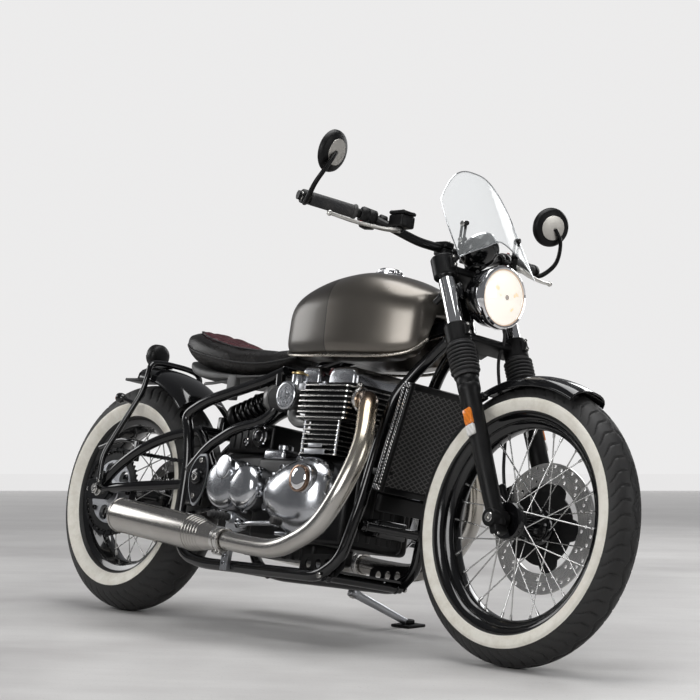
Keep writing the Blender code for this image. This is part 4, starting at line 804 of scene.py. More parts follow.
# Headlamp
# A gloss black bowl hangs between the legs on two short ears. A chromed rim holds a clear lens over a
# bright reflector, and the lamp is lit, as in the photograph.
LAMP = Vector((1.337, 0, 0.875))
bowl = bmesh.new()
turned(bowl, [(0, 0), (0.02, 0.001), (0.04, 0.007), (0.058, 0.02), (0.069, 0.04), (0.0735, 0.062), (0.0745, 0.074),
              (0.072, 0.078), (0.068, 0.078)], LAMP + Vector((-0.0955, 0, 0)), (1, 0, 0), 72)
for side in (1, -1):
    turned(bowl, [(0.0085, 0), (0.01, 0.002), (0.01, 0.026)], (1.256, side * 0.053, 0.87), (0, side, 0), 24)
    block(bowl, (1.225, side * 0.08 - 0.004, 0.85), (1.275, side * 0.08 + 0.004, 0.89), 0.003,
          Matrix.Rotation(-0.45, 3, "Y"))
    swept(bowl,
          curve_points([(1.256, side * 0.08, 0.87), (1.215, side * 0.082, 0.868), (1.186, side * 0.08, 0.85)], 6),
          0.008, 14)
piece("headlamp_bowl", bowl, BLACK_ENAMEL, "steering", "headlight", sharp=40)
rim = bmesh.new()
turned(rim, [(0.0685, -0.02), (0.0765, -0.02), (0.0782, -0.016), (0.0782, -0.006), (0.0765, 0.000), (0.0725, 0.0035),
             (0.069, 0.0025), (0.068, -0.002)], LAMP, (1, 0, 0), 96, closed=True)
bolt(rim, LAMP + Vector((0.0, 0, 0.0765)), (0, 0, 1), 0.003, 0.003)
piece("headlamp_rim", rim, chrome("headlamp chrome"), "steering")


def lit_lens():
    """A lit lamp seen through clear glass: bright all over, warmer where the reflector folds."""
    made = Finish("lit headlamp lens")
    lamp_frame = bike @ Matrix.Translation(LAMP)
    spot = made.place(lamp_frame)
    y, z = made.split(spot, 1), made.split(spot, 2)
    radius = (y * y + z * z) ** 0.5
    patch = made.noise(34, 2, 0.5, at=made.place(lamp_frame, (1, 1, 0.7)), bend=0.6)
    fold = made.span(patch, 0.6, 0.68) * made.span(radius, 0.062, 0.03, 0, 1) * 0.75
    core = (radius < 0.0065) * 0.9
    tone = made.mix(fold, (0.93, 0.88, 0.79), (0.88, 0.56, 0.28))
    tone = made.mix(core, tone, (0.3, 0.26, 0.24))
    tone = made.mix(made.span(radius, 0.0645, 0.067), tone, (0.62, 0.46, 0.34))
    lamp = made.node("ShaderNodeBsdfPrincipled", {}, {"Base Color": tone, "Roughness": 0.08, "Coat Weight": 1.0,
                                                     "Emission Color": tone, "Emission Strength": 0.62})
    return made.surface(lamp)


glass = bmesh.new()
turned(glass, [(0, 0.012), (0.02, 0.0112), (0.04, 0.0086), (0.056, 0.0046), (0.0655, 0.0008), (0.0685, -0.001),
               (0.0685, -0.006), (0, -0.006)], LAMP, (1, 0, 0), 96)
piece("headlamp_lens", glass, lit_lens(), "steering", sharp=50)

# Handlebar, risers and grips
# A low, wide bar of black tube is clamped on two risers over the upper yoke. Ribbed rubber grips end it.
BAR = [(1.149, 0, 0.992), (1.15, 0.06, 0.992), (1.146, 0.084, 0.9925), (1.132, 0.122, 0.997),
       (1.105, 0.18, 1.015), (1.0865, 0.222, 1.0275), (1.068, 0.265, 1.035), (1.019, 0.423, 1.045)]


def sided(point, side):
    """A point on the left, or the same on the right."""
    return Vector((point[0], side * point[1], point[2]))


def on_fork(ahead, y, up):
    """A point given along the fork, in the upright machine's axes."""
    return FORK_FOOT + ahead * AHEAD_FORK + up * UP_FORK + Vector((0, y, 0))


bar = bmesh.new()
half_bar = curve_points(BAR[:-1], 6) + [Vector(BAR[-1])]
swept(bar, [sided(point, -1) for point in reversed(half_bar[1:])] + half_bar, 0.0113, 24)
for side in (1, -1):
    turned(bar, [(0.015, 0.6915), (0.0165, 0.6935), (0.015, 0.7), (0.015, 0.742), (0.012, 0.745), (0, 0.745)],
           FORK_FOOT + Vector((0, side * 0.045, 0)) + 0.028 * AHEAD_FORK, UP_FORK, 40)
    block(bar, (1.131, side * 0.045 - 0.0155, 0.9755), (1.1715, side * 0.045 + 0.0155, 0.9925), 0.004)
    block(bar, (1.1305, side * 0.045 - 0.016, 0.9935), (1.172, side * 0.045 + 0.016, 1.0098), 0.004)
piece("handlebar_and_risers", bar, satin_black("bar black", 0.34), "steering", "handlebar", sharp=45)
fittings = bmesh.new()
for side in (1, -1):
    for x in (1.137, 1.1655):
        bolt(fittings, (x, side * 0.045, 1.0094), (0, 0, 1), 0.004, 0.003)
for name, side in (("left", 1), ("right", -1)):
    near, tip = sided(BAR[-2], side), sided(BAR[-1], side)
    way = (tip - near).normalized()
    grip = bmesh.new()
    outline = [(0.0118, 0.01), (0.0185, 0.01), (0.0195, 0.012), (0.0185, 0.015), (0.016, 0.017)]
    for rib in range(26):
        at = 0.02 + rib * 0.0042
        outline += [(0.0158, at), (0.0166, at + 0.0008), (0.0166, at + 0.0026), (0.0158, at + 0.0034)]
    outline += [(0.016, 0.131), (0.0166, 0.1335), (0.0118, 0.1338)]
    turned(grip, outline, near, way, 40, closed=True)
    piece("ribbed_grip_" + name, grip, RUBBER, "steering", "grip_" + name, sharp=50)
    turned(fittings, [(0.0113, 0.1345), (0.014, 0.1345), (0.015, 0.1365), (0.0118, 0.137)], near, way, 32,
           closed=True)
    turned(fittings, [(0, 0.1655), (0.006, 0.165), (0.0105, 0.162), (0.0115, 0.1565), (0, 0.1565)], near, way, 32)
piece("bar_fittings", fittings, STAINLESS, "steering")

# Switchgear, levers and reservoir
# A split black housing carries the switches on each side. Silver forged levers pivot in their perches, and
# the brake's reservoir stands on the right one.
LEVER_STEEL = bright_steel("lever alloy", (0.64, 0.63, 0.6), 0.3)
levers = bmesh.new()
buttons = bmesh.new()
for name, side in (("left", 1), ("right", -1)):
    near, inner = sided(BAR[-2], side), sided(BAR[-3], side)
    way = (near - inner).normalized()
    gear = bmesh.new()
    turned(gear, [(0.0125, 0.003), (0.018, 0.003), (0.0205, 0.006), (0.0205, 0.0225), (0.0198, 0.0235),
                  (0.0205, 0.0245), (0.0205, 0.04), (0.018, 0.0435), (0.0125, 0.0435)], inner, way, 40, closed=True)
    turned(gear, [(0.0125, -0.024), (0.0165, -0.024), (0.0175, -0.022), (0.0175, -0.008), (0.0165, -0.006),
                  (0.0125, -0.006)], inner, way, 32, closed=True)
    box_spot = inner + way * 0.022
    block(gear, box_spot + Vector((-0.016, -0.017, -0.03)), box_spot + Vector((0.014, 0.017, -0.01)), 0.005,
          Matrix.Rotation(-side * 0.35, 3, "Z"))
    perch = sided((1.15, 0.206, 1.006), side)
    swept(gear, [inner + way * 0.008, (inner + perch) / 2 + Vector((0, 0, -0.002)), perch], [0.011, 0.009, 0.0085],
          16)
    block(gear, perch + Vector((-0.01, -0.013, -0.008)), perch + Vector((0.012, 0.013, 0.008)), 0.004)
    if name == "right":
        block(gear, (1.1285, -0.2215, 1.0085), (1.1795, -0.1765, 1.04), 0.006)
        block(gear, (1.128, -0.222, 1.0405), (1.18, -0.176, 1.0495), 0.004)
        for x in (1.134, 1.174):
            for y in (-0.216, -0.182):
                turned(gear, [(0.003, 0), (0.003, 0.0008), (0, 0.0008)], (x, y, 1.0492), (0, 0, 1), 12)
    piece("switch_housing_" + name, gear, SATIN, "steering", "switchgear_" + name, sharp=40)
    blade = curve_points([sided(point, side) for point in
                          ((1.15, 0.2, 1.0055), (1.166, 0.222, 0.998), (1.16, 0.262, 0.992), (1.136, 0.33, 0.994),
                           (1.11, 0.385, 1.002))], 7)
    sizes = [0.0085 - 0.0032 * min(1, n / len(blade) * 1.6) for n in range(len(blade))]
    swept(levers, blade, sizes, 16, flat=0.72)
    bmesh.ops.create_uvsphere(levers, u_segments=18, v_segments=12, radius=0.0072,
                              matrix=Matrix.Translation(sided((1.1075, 0.39, 1.0028), side)))
    turned(levers, [(0.0045, -0.01), (0.0055, -0.009), (0.0055, 0.009), (0.0035, 0.0105), (0, 0.0105)],
           sided((1.152, 0.203, 1.006), side), (0, 0, 1), 18)
    for number, (lift, height) in enumerate(((0.35, 0.005), (1.1, 0.004), (1.8, 0.005))):
        out = Matrix.Rotation(lift, 3, way) @ Vector((-1, 0, 0))
        bmesh.ops.create_cone(buttons, cap_ends=True, segments=16, radius1=0.0048, radius2=0.004, depth=height,
                              matrix=Matrix.Translation(inner + way * (0.012 + 0.009 * number) + out * 0.0215)
                              @ Vector((0, 0, 1)).rotation_difference(out).to_matrix().to_4x4())
piece("brake_and_clutch_levers", levers, LEVER_STEEL, "steering", sharp=50)
piece("switch_buttons", buttons, lamp_plastic("switch plastic", (0.2, 0.03, 0.03)), "steering")

# Bar-end mirrors
# Each is a round black head on a curved arm from a clamp at the bar's end, with a silver boss on its back
# and its glass towards the rider.
MIRROR_GLASS = chrome("mirror glass")
SILVER = bright_steel("cast silver boss", (0.6, 0.58, 0.54), 0.38)
for name, side in (("left", 1), ("right", -1)):
    near, tip = sided(BAR[-2], side), sided(BAR[-1], side)
    way = (tip - near).normalized()
    facing = sided((-0.93, 0.27, 0.23), side).normalized()
    middle = sided((1.085, 0.39, 1.157), side)
    arm = bmesh.new()
    turned(arm, [(0.0118, 0.1372), (0.0165, 0.1372), (0.0175, 0.139), (0.0175, 0.154), (0.0165, 0.1558),
                 (0.0118, 0.1558)], near, way, 32, closed=True)
    stem = curve_points([sided(point, side) for point in
                         ((1.026, 0.4028, 1.03), (1.052, 0.418, 1.036), (1.085, 0.428, 1.07), (1.106, 0.412, 1.12),
                          (1.101, 0.391, 1.152))], 8)
    swept(arm, stem, [0.0085 - 0.0025 * n / len(stem) for n in range(len(stem))], 16, flat=0.75)
    turned(arm, [(0.047, -0.0085), (0.05, -0.0055), (0.052, 0.000), (0.0522, 0.0045), (0.0505, 0.0062),
                 (0.0485, 0.0045), (0.044, 0.004), (0.044, -0.008)], middle, facing, 72, closed=True)
    turned(arm, [(0.047, -0.0085), (0.04, -0.0118), (0.033, -0.0135), (0.033, -0.01)], middle, facing, 72)
    piece("mirror_arm_" + name, arm, SATIN, "steering", "mirror_" + name, sharp=40)
    boss = bmesh.new()
    turned(boss, [(0.0335, -0.012), (0.0325, -0.014), (0.02, -0.0156), (0.008, -0.016), (0, -0.016)], middle,
           facing, 64)
    piece("mirror_boss_" + name, boss, SILVER, "steering")
    face = bmesh.new()
    turned(face, [(0.048, 0.003), (0.048, 0.0042), (0, 0.0042)], middle, facing, 64)
    piece("mirror_face_" + name, face, MIRROR_GLASS, "steering")

# Dial and its pod
# One round clock faces the rider from a black pod ahead of the risers, on a bracket from the upper yoke.
facing = Vector((-0.75, 0, 0.66)).normalized()
DIAL = Vector((1.238, 0, 0.99))
pod = bmesh.new()
turned(pod, [(0, -0.0258), (0.016, -0.0252), (0.032, -0.021), (0.044, -0.0125), (0.0495, 0.000), (0.0505, 0.012),
             (0.0455, 0.0125), (0.0455, 0.01)], DIAL, facing, 72)
block(pod, on_fork(0.073, 0, 0.6828) - Vector((0.027, 0.018, 0.0065)), on_fork(0.073, 0, 0.6828)
      + Vector((0.027, 0.018, 0.0065)), 0.003, Matrix.Rotation(-RAKE, 3, "Y"))
piece("dial_pod", pod, gloss_black("pod enamel"), "steering", "instrument", sharp=40)
bezel = bmesh.new()
turned(bezel, [(0.045, 0.012), (0.0508, 0.012), (0.051, 0.0165), (0.049, 0.018), (0.0455, 0.0178),
               (0.044, 0.015)], DIAL, facing, 72, closed=True)
piece("dial_bezel", bezel, chrome("dial chrome"), "steering")


def dial_face():
    """A black clock face with plain white ticks round it and a small window."""
    made = Finish("clock face")
    turn = Vector((0, 0, 1)).rotation_difference(facing).to_matrix().to_4x4()
    spot = made.place(bike @ Matrix.Translation(DIAL) @ turn)
    x, y = made.split(spot, 0), made.split(spot, 1)
    radius = (x * x + y * y) ** 0.5
    angle = x.sum("ARCTAN2", y, x)
    tick = (angle * (36 / (2 * math.pi))).sum("FRACT", angle * (36 / (2 * math.pi)))
    mark = (tick < 0.16) * (radius > 0.035) * (radius < 0.041)
    window = (y.sum("ABSOLUTE", y + 0.014) < 0.006) * (x.sum("ABSOLUTE", x) < 0.012)
    tone = made.mix(mark, (0.012, 0.012, 0.014), (0.82, 0.82, 0.8))
    tone = made.mix(window, tone, (0.16, 0.18, 0.15))
    return made.surface(made.principled(tone, 0.35, coat_weight=1.0, coat_roughness=0.03))


clock = bmesh.new()
turned(clock, [(0.0448, 0.011), (0.0448, 0.0128), (0, 0.0128)], DIAL, facing, 64)
turned(clock, [(0.0045, 0.0128), (0.0045, 0.015), (0, 0.015)], DIAL, facing, 24)
block(clock, DIAL + facing * 0.0143 - Vector((0.0006, 0.001, 0.0006)), DIAL + facing * 0.0143
      + Vector((0.0006, 0.03, 0.0006)), 0.0)
piece("dial_clock", clock, dial_face(), "steering")

# Windscreen
# A small bent sheet of clear acrylic with a bright polished edge, on a slotted black bracket at each side.


def acrylic():
    """Clear acrylic that shows as a faint sheen, with a few fine scratches."""
    made = Finish("clear acrylic")
    scratch = made.noise(60, 3, at=made.place(scale=(1, 1, 8)))
    clear = made.node("ShaderNodeBsdfTransparent", {}, {"Color": (0.965, 0.972, 0.975, 1)})
    shine = made.principled((0.9, 0.93, 0.94), made.span(scratch, 0.3, 0.8, 0.02, 0.1))
    edge = made.node("ShaderNodeLayerWeight", {}, {"Blend": 0.22}, 1)
    return made.surface(made.node("ShaderNodeMixShader", {}, {0: made.span(edge, 0.0, 1.0, 0.015, 0.45),
                                                             1: clear, 2: shine}))


ACRYLIC = acrylic()
SCREEN_HALF = 0.132
SCREEN_BEND = 0.216
SCREEN_LOW = Vector((1.307, 0, 1.006))
SCREEN_RISE = Vector((-0.13, 0, 0.189))


def screen_point(across, height):
    """A point of the bent sheet, across from -1 to 1 and up from 0 to 1."""
    bottom = -0.25 * across ** 2 + 0.1 * math.exp(-(across / 0.32) ** 2) - 0.06
    top = 1 - 0.52 * abs(across) ** 3
    share = bottom + (top - bottom) * height
    width = SCREEN_HALF * across * (1 - 0.16 * max(0, share) ** 2)
    back = SCREEN_BEND - math.sqrt(SCREEN_BEND ** 2 - width ** 2)
    return SCREEN_LOW + share * SCREEN_RISE + Vector((-back, width, 0))


screen = bmesh.new()
bmesh.ops.create_grid(screen, x_segments=36, y_segments=30, size=1)
for vert in screen.verts:
    vert.co = screen_point(vert.co.x, (vert.co.y + 1) / 2)
bmesh.ops.solidify(screen, geom=screen.faces[:], thickness=0.0022)
piece("windscreen_sheet", screen, ACRYLIC, "steering", "windscreen", sharp=40)
edge_line = [screen_point(-1 + 2 * n / 40, 0) for n in range(40)] + [screen_point(1, n / 30) for n in range(30)]
edge_line += [screen_point(1 - 2 * n / 40, 1) for n in range(40)] + [screen_point(-1, 1 - n / 30) for n in range(31)]
edging = bmesh.new()
swept(edging, edge_line, 0.0016, 8)
piece("windscreen_edge", edging, bright_steel("polished acrylic edge", (0.78, 0.8, 0.82), 0.12), "steering")
arms = bmesh.new()
screws = bmesh.new()
for side in (1, -1):
    line = curve_points([sided(point, side) for point in ((1.25, 0.098, 0.945), (1.266, 0.095, 0.968),
                                                          (1.262, 0.094, 0.985))], 5)
    swept(arms, line, 0.0055, 12)
    for shift in (-0.0065, 0.0065):
        block(arms, Vector((1.2625 + shift - 0.003, side * 0.094 - 0.0025, 0.982)),
              Vector((1.2625 + shift + 0.003, side * 0.094 + 0.0025, 1.044)), 0.0012)
    for z in (0.984, 1.042):
        block(arms, Vector((1.253, side * 0.094 - 0.003, z - 0.005)),
              Vector((1.272, side * 0.094 + 0.003, z + 0.005)),
              0.002)
    for z in (1.000, 1.04):
        turned(screws, [(0.0065, 0), (0.007, 0.002), (0.005, 0.0045), (0, 0.005)], (1.262, side * 0.0975, z),
               (0.25, side, 0.15), 20)
        turned(arms, [(0.0058, -0.004), (0.0058, 0.012), (0, 0.012)], (1.262, side * 0.09, z),
               (0.9, side * 0.35, 0.1),
               16)
piece("windscreen_brackets", arms, SATIN, "steering")
piece("windscreen_screws", screws, STAINLESS, "steering")

# Fuel tank
# A teardrop tank of pressed steel in satin metallic pewter. Its two halves meet in a bright seam along the
# bottom edge, and a darker satin panel behind the knee line. A tunnel under it straddles the backbone.
TANK = [(0.658, 0.04, 0.752, 0.8), (0.672, 0.095, 0.728, 0.858), (0.7, 0.122, 0.712, 0.888),
        (0.76, 0.138, 0.706, 0.913), (0.84, 0.146, 0.704, 0.933), (0.93, 0.144, 0.704, 0.942),
        (1.01, 0.128, 0.706, 0.931), (1.08, 0.104, 0.714, 0.909), (1.125, 0.078, 0.733, 0.888),
        (1.146, 0.04, 0.774, 0.856)]
BACKBONE = [(1.202, 0.815), (0.96, 0.756), (0.76, 0.716), (0.655, 0.676)]
KNEE_LINE = 0.862


def between(stations, count):
    """Smooth stations from a few: each is (x, half width, bottom, top)."""
    first = curve_points([(x, half, low) for x, half, low, high in stations], count)
    second = curve_points([(x, half, high) for x, half, low, high in stations], count)
    return [(a.x, a.y, a.z, b.z) for a, b in zip(first, second)]


def backbone_height(x):
    """Middle of the frame's backbone at a place along the machine."""
    for ahead, behind in zip(BACKBONE, BACKBONE[1:]):
        if x >= behind[0]:
            share = (x - behind[0]) / (ahead[0] - behind[0])
            return behind[1] + share * (ahead[1] - behind[1])
    return BACKBONE[-1][1]


def skin(shape, rings, ends=True):
    """Bridges rings of points, one after another, and closes both ends."""
    part = bmesh.new()
    loops = []
    for ring in rings:
        verts = [part.verts.new(point) for point in ring]
        loops.append([part.edges.new(pair) for pair in zip(verts, verts[1:] + verts[:1])])
    for first, second in zip(loops, loops[1:]):
        bmesh.ops.bridge_loops(part, edges=first + second)
    if ends:
        for loop in (loops[0], loops[-1]):
            bmesh.ops.contextual_create(part, geom=loop)
    graft(shape, part)


def egg(x, half, low, high, rounding, count, under=None):
    """A ring round one station: an oval squared by its rounding, which may differ in its lower half."""
    ring = []
    for step in range(count):
        turn = 2 * math.pi * (step + 0.5) / count
        square = under if under and turn > math.pi else rounding
        across = math.copysign(abs(math.cos(turn)) ** square, math.cos(turn))
        rise = math.copysign(abs(math.sin(turn)) ** square, math.sin(turn))
        ring.append(Vector((x, half * across, (low + high) / 2 + (high - low) / 2 * rise)))
    return ring


def pewter():
    """Satin metallic pewter under matt lacquer, with fine flake and a darker panel behind the knee line."""
    made = Finish("satin pewter paint")
    spot = made.place(bike)
    x, z = made.split(spot, 0), made.split(spot, 2)
    flake = made.noise(2600, 1)
    cloud = made.noise(5, 3)
    edge = x + (z - 0.8) * 0.06
    panel = edge < KNEE_LINE
    bright = made.mix(made.span(cloud, 0.3, 0.7), (0.12, 0.108, 0.093), (0.152, 0.139, 0.121))
    dark = made.mix(made.span(cloud, 0.3, 0.7), (0.062, 0.056, 0.05), (0.08, 0.074, 0.066))
    tone = made.mix(panel, bright, dark)
    tone = made.mix(made.span(flake, 0.62, 0.72, 0, 0.35), tone, (0.42, 0.39, 0.35))
    line = edge.sum("ABSOLUTE", edge - KNEE_LINE) < 0.0011
    tone = made.mix(line, tone, (0.02, 0.02, 0.02))
    rough = made.span(cloud, 0.3, 0.7, 0.27, 0.33) + panel * 0.1
    return made.surface(made.principled(tone, rough, 0.85, coat_weight=0.35, coat_roughness=0.18,
                                        normal=made.bump(line * -1.0, 0.0012, 0.8)))


PEWTER = pewter()
tank = bmesh.new()
rings = []
for x, half, low, high in between(TANK, 8):
    ring = egg(x, max(half, 0.012), low, high, 0.76, 128, 0.32)
    for point in ring:
        if abs(point.y) < 0.046 and point.z < (low + high) / 2:
            tunnel = backbone_height(x) + 0.0225
            ease = min(1.0, (0.046 - abs(point.y)) / 0.012)
            point.z = max(point.z, point.z + (min(tunnel, high - 0.03) - point.z) * ease)
    rings.append(ring)
skin(tank, rings)
piece("teardrop_tank", tank, PEWTER, "frame", "fuel_tank", sharp=50)
seam = bmesh.new()
stations = between(TANK, 8)
for side in (1, -1):
    line = []
    for x, half, low, high in stations[3:-2]:
        line.append((x, side * half * 0.935, (low + high) / 2 - (high - low) / 2 * 0.97))
    swept(seam, line, 0.0042, 12)
piece("tank_seam", seam, bright_steel("tank seam in bright pewter", (0.46, 0.43, 0.38), 0.26), "frame")

cap = bmesh.new()
turned(cap, [(0.03, 0.0003), (0.038, 0.0003), (0.0385, 0.002), (0.037, 0.0048), (0.03, 0.0062)],
       (0.917, 0, 0.9412), (0, 0, 1), 72, closed=True)
turned(cap, [(0.026, 0.005), (0.03, 0.0065), (0.0308, 0.0105), (0.029, 0.015), (0.023, 0.0178),
             (0.012, 0.0192), (0, 0.0196)], (0.917, 0, 0.9412), (0, 0, 1), 72)
for number in range(36):
    turn = 2 * math.pi * number / 36
    turned(cap, [(0, 0.006), (0.0013, 0.0062), (0.0013, 0.0125), (0, 0.0135)],
           (0.917 + 0.0303 * math.cos(turn), 0.0303 * math.sin(turn), 0.9412), (0, 0, 1), 8)
for number in range(6):
    turn = 2 * math.pi * number / 6
    bolt(cap, (0.917 + 0.0345 * math.cos(turn), 0.0345 * math.sin(turn), 0.9412 + 0.0045), (0, 0, 1), 0.0022, 0.002)
piece("filler_cap", cap, CHROME, "frame", "fuel_cap", sharp=45)

# Seat
# A single dished saddle of foam under black grained leather. An oxblood panel quilted in diamonds is let
# into its top inside a piped seam, and it sits on a grey pan bolted to the frame.
SEAT = [(0.2195, 0.03, 0.764, 0.779), (0.226, 0.078, 0.742, 0.788), (0.245, 0.106, 0.72, 0.792),
        (0.2865, 0.124, 0.692, 0.791), (0.3557, 0.13, 0.6795, 0.77), (0.4335, 0.124, 0.671, 0.7505),
        (0.5027, 0.106, 0.668, 0.7416), (0.5632, 0.088, 0.674, 0.7394), (0.6151, 0.07, 0.6895, 0.743),
        (0.64, 0.058, 0.702, 0.743), (0.648, 0.04, 0.712, 0.736)]
SEAT_SQUARE = 0.66
DIAMOND = 0.06
PANEL_BACK, PANEL_FRONT = 0.24, 0.56


def panel_half(x, half):
    """Half width of the quilted panel at a place along the seat."""
    share = min(max((x - PANEL_BACK) / (PANEL_FRONT - PANEL_BACK), 0.0), 1.0)
    return half * 0.8 * (1 - (2 * share - 1) ** 6) ** 0.5 * (1 - 0.3 * share ** 2)


def seat_top(half, low, high, y):
    """Height of the seat's skin above a place across it."""
    across = min(abs(y) / half, 0.999)
    rise = (1 - across ** (2 / SEAT_SQUARE)) ** (SEAT_SQUARE / 2)
    return (low + high) / 2 + (high - low) / 2 * rise


def leather():
    """Black grained leather with painted shade in its creases; the quilted panel is oxblood with stitched diamonds.
    """
    made = Finish("seat leather")
    spot = made.place(bike)
    x, y = made.split(spot, 0), made.split(spot, 1)
    inset = made.node("ShaderNodeAttribute", {"attribute_name": "panel"}, out=2)
    cells = made.node("ShaderNodeTexVoronoi", {"feature": "DISTANCE_TO_EDGE"},
                      {"Vector": made.place(), "Scale": 420.0})
    fine = made.noise(260, 4, 0.65)
    worn = made.noise(11, 4, 0.6)
    first = (x + y * 0.82) / DIAMOND
    second = (x - y * 0.82) / DIAMOND
    near_first = first.sum("PINGPONG", first, 0.5)
    near_second = second.sum("PINGPONG", second, 0.5)
    dash_first = (second * 7.0).sum("FRACT", second * 7.0) > 0.35
    dash_second = (first * 7.0).sum("FRACT", first * 7.0) > 0.35
    rows = [(near_first < 0.022) * dash_first, (near_second < 0.022) * dash_second]
    thread = inset.sum("MAXIMUM", *rows) * inset
    black = made.mix(made.span(worn, 0.35, 0.8), (0.006, 0.0055, 0.0055), (0.017, 0.015, 0.014))
    red = made.mix(made.span(worn, 0.35, 0.75), (0.042, 0.0045, 0.0075), (0.08, 0.011, 0.016))
    tone = made.mix(inset, black, red)
    # Painted shade: the grain's creases, at the edges of its cells, are darkened towards black.
    tone = made.mix(made.span(cells, 0.0, 0.06, 0.35, 0.0), tone, (0.004, 0.004, 0.004))
    tone = made.mix(thread, tone, (0.16, 0.05, 0.055))
    grain = made.bump(made.span(cells, 0.0, 0.18) * 0.7 + fine * 0.3, 0.0005, 0.45)
    return made.surface(made.principled(tone, made.span(worn, 0.3, 0.75, 0.2, 0.33), normal=grain,
                                        specular_ior_level=0.3))


LEATHER = leather()
SHRINK, CAP, VOXEL, CLOTH_FRAMES = 0.003, 0.0042, 0.005, 20


def plumped(core, cap):
    """Blows a closed core up as a skin over foam, each point moving no further than the cap."""
    bmesh.ops.recalc_face_normals(core, faces=core.faces)
    mesh = bpy.data.meshes.new("cushion_core")
    core.to_mesh(mesh)
    core.free()
    scene = bpy.context.scene
    body = bpy.data.objects.new("cushion_core", mesh)
    scene.collection.objects.link(body)

    def settled():
        return bpy.data.meshes.new_from_object(body.evaluated_get(bpy.context.evaluated_depsgraph_get()))

    remesh = body.modifiers.new("remesh", "REMESH")
    remesh.mode, remesh.voxel_size = "VOXEL", VOXEL
    fine = settled()
    body.modifiers.clear()
    body.data = fine
    begun = [vert.co.copy() for vert in fine.vertices]
    cloth = body.modifiers.new("cloth", "CLOTH")
    cloth.settings.use_pressure = True
    cloth.settings.uniform_pressure_force = 4
    cloth.settings.effector_weights.gravity = 0
    cloth.point_cache.frame_start, cloth.point_cache.frame_end = 1, CLOTH_FRAMES
    for frame in range(1, CLOTH_FRAMES + 1):
        scene.frame_set(frame)
    blown = settled()
    body.modifiers.clear()
    scene.frame_set(1)
    for vert, old in zip(blown.vertices, begun):
        move = vert.co - old
        vert.co = old + move * min(1.0, cap / max(move.length, 1e-9))
    body.data = blown
    body.modifiers.new("smooth", "SUBSURF").levels = 1
    done = bmesh.new()
    done.from_mesh(settled())
    bpy.data.objects.remove(body)
    return done


core = bmesh.new()
core_rings = []
for x, half, low, high in between(SEAT, 8):
    tail = max(0.0, 1 - (x - SEAT[0][0]) / 0.05)
    less = SHRINK * (1 - 1.6 * tail)
    core_rings.append(egg(x - 0.005 * tail, half - less, low + less, high - less, SEAT_SQUARE, 96))
skin(core, core_rings)
seat = plumped(core, CAP)
stations = between(SEAT, 14)
on_panel = []
for vert in seat.verts:
    spot = vert.co
    x, half, low, high = min(stations, key=lambda station: abs(station[0] - spot.x))
    inner = panel_half(spot.x, half)
    quilted = spot.z > (low + high) / 2 and PANEL_BACK < spot.x < PANEL_FRONT and abs(spot.y) < inner
    on_panel.append(1.0 if quilted else 0.0)
    if spot.z > (low + high) / 2:
        dish = 0.006 * max(0.0, 1 - (spot.y / max(half, 0.01)) ** 2) * math.exp(-((spot.x - 0.39) / 0.12) ** 2)
        if quilted:
            first = (spot.x + spot.y * 0.82) / DIAMOND
            second = (spot.x - spot.y * 0.82) / DIAMOND
            puff = abs(math.sin(math.pi * first) * math.sin(math.pi * second)) ** 0.45
            edge = min(1.0, (inner - abs(spot.y)) / 0.01, (spot.x - PANEL_BACK) / 0.01, (PANEL_FRONT - spot.x) / 0.01)
            dish -= 0.006 * puff * edge - 0.0034 * edge
        spot.z -= dish
saddle = piece("quilted_saddle", seat, LEATHER, "frame", "seat", sharp=180)
assert len(saddle.data.vertices) == len(on_panel)
panel = saddle.data.attributes.new("panel", "FLOAT", "POINT")
panel.data.foreach_set("value", on_panel)
piping = bmesh.new()
line = []
for side in (1, -1):
    part = []
    for x, half, low, high in stations:
        if PANEL_BACK <= x <= PANEL_FRONT:
            y = panel_half(x, half)
            dish = 0.006 * max(0.0, 1 - (y / half) ** 2) * math.exp(-((x - 0.39) / 0.12) ** 2)
            part.append((x, side * y, seat_top(half, low, high, y) - dish + 0.0006))
    line += part if side == 1 else part[::-1]
swept(piping, line + line[:1], 0.0024, 8)
low_line = [(x, half * 0.985, (low + high) / 2 - (high - low) * 0.13) for x, half, low, high in stations[4:-4]]
around = [Vector(point) for point in low_line][::-1] + [Vector((x, -y, z)) for x, y, z in low_line]
swept(piping, around, 0.0022, 8)
piece("seat_piping", piping, RUBBER, "frame")


def grey_plastic():
    """Moulded grey plastic with a fine spark-eroded grain and scuffs."""
    made = Finish("grey seat pan")
    scuff = made.noise(18, 4, 0.7)
    grain = made.noise(800, 2)
    tone = made.mix(made.span(scuff, 0.35, 0.8), (0.085, 0.085, 0.085), (0.15, 0.15, 0.148))
    return made.surface(made.principled(tone, made.span(scuff, 0.3, 0.8, 0.42, 0.58),
                                        normal=made.bump(grain, 0.0003, 0.3)))


PAN_GREY = grey_plastic()
PAN = [(0.216, 0.05, 0.7, 0.712), (0.24, 0.078, 0.682, 0.706), (0.2865, 0.098, 0.66, 0.6915),
       (0.3557, 0.104, 0.65, 0.6785), (0.4335, 0.1, 0.65, 0.67), (0.5027, 0.088, 0.656, 0.667),
       (0.5632, 0.072, 0.662, 0.673), (0.6, 0.06, 0.676, 0.686)]
pan = bmesh.new()
skin(pan, [egg(x, half, low, high, 0.5, 64) for x, half, low, high in between(PAN, 8)])
for side in (1, -1):
    block(pan, (0.436, side * 0.089 - 0.01, 0.5965), (0.469, side * 0.089 + 0.01, 0.664), 0.003)
    swept(pan, curve_points([(0.42, side * 0.08, 0.652), (0.37, side * 0.088, 0.643), (0.33, side * 0.09, 0.64)], 5),
          0.006, 12, flat=0.6)
piece("seat_base", pan, PAN_GREY, "frame", "seat_pan", sharp=40)

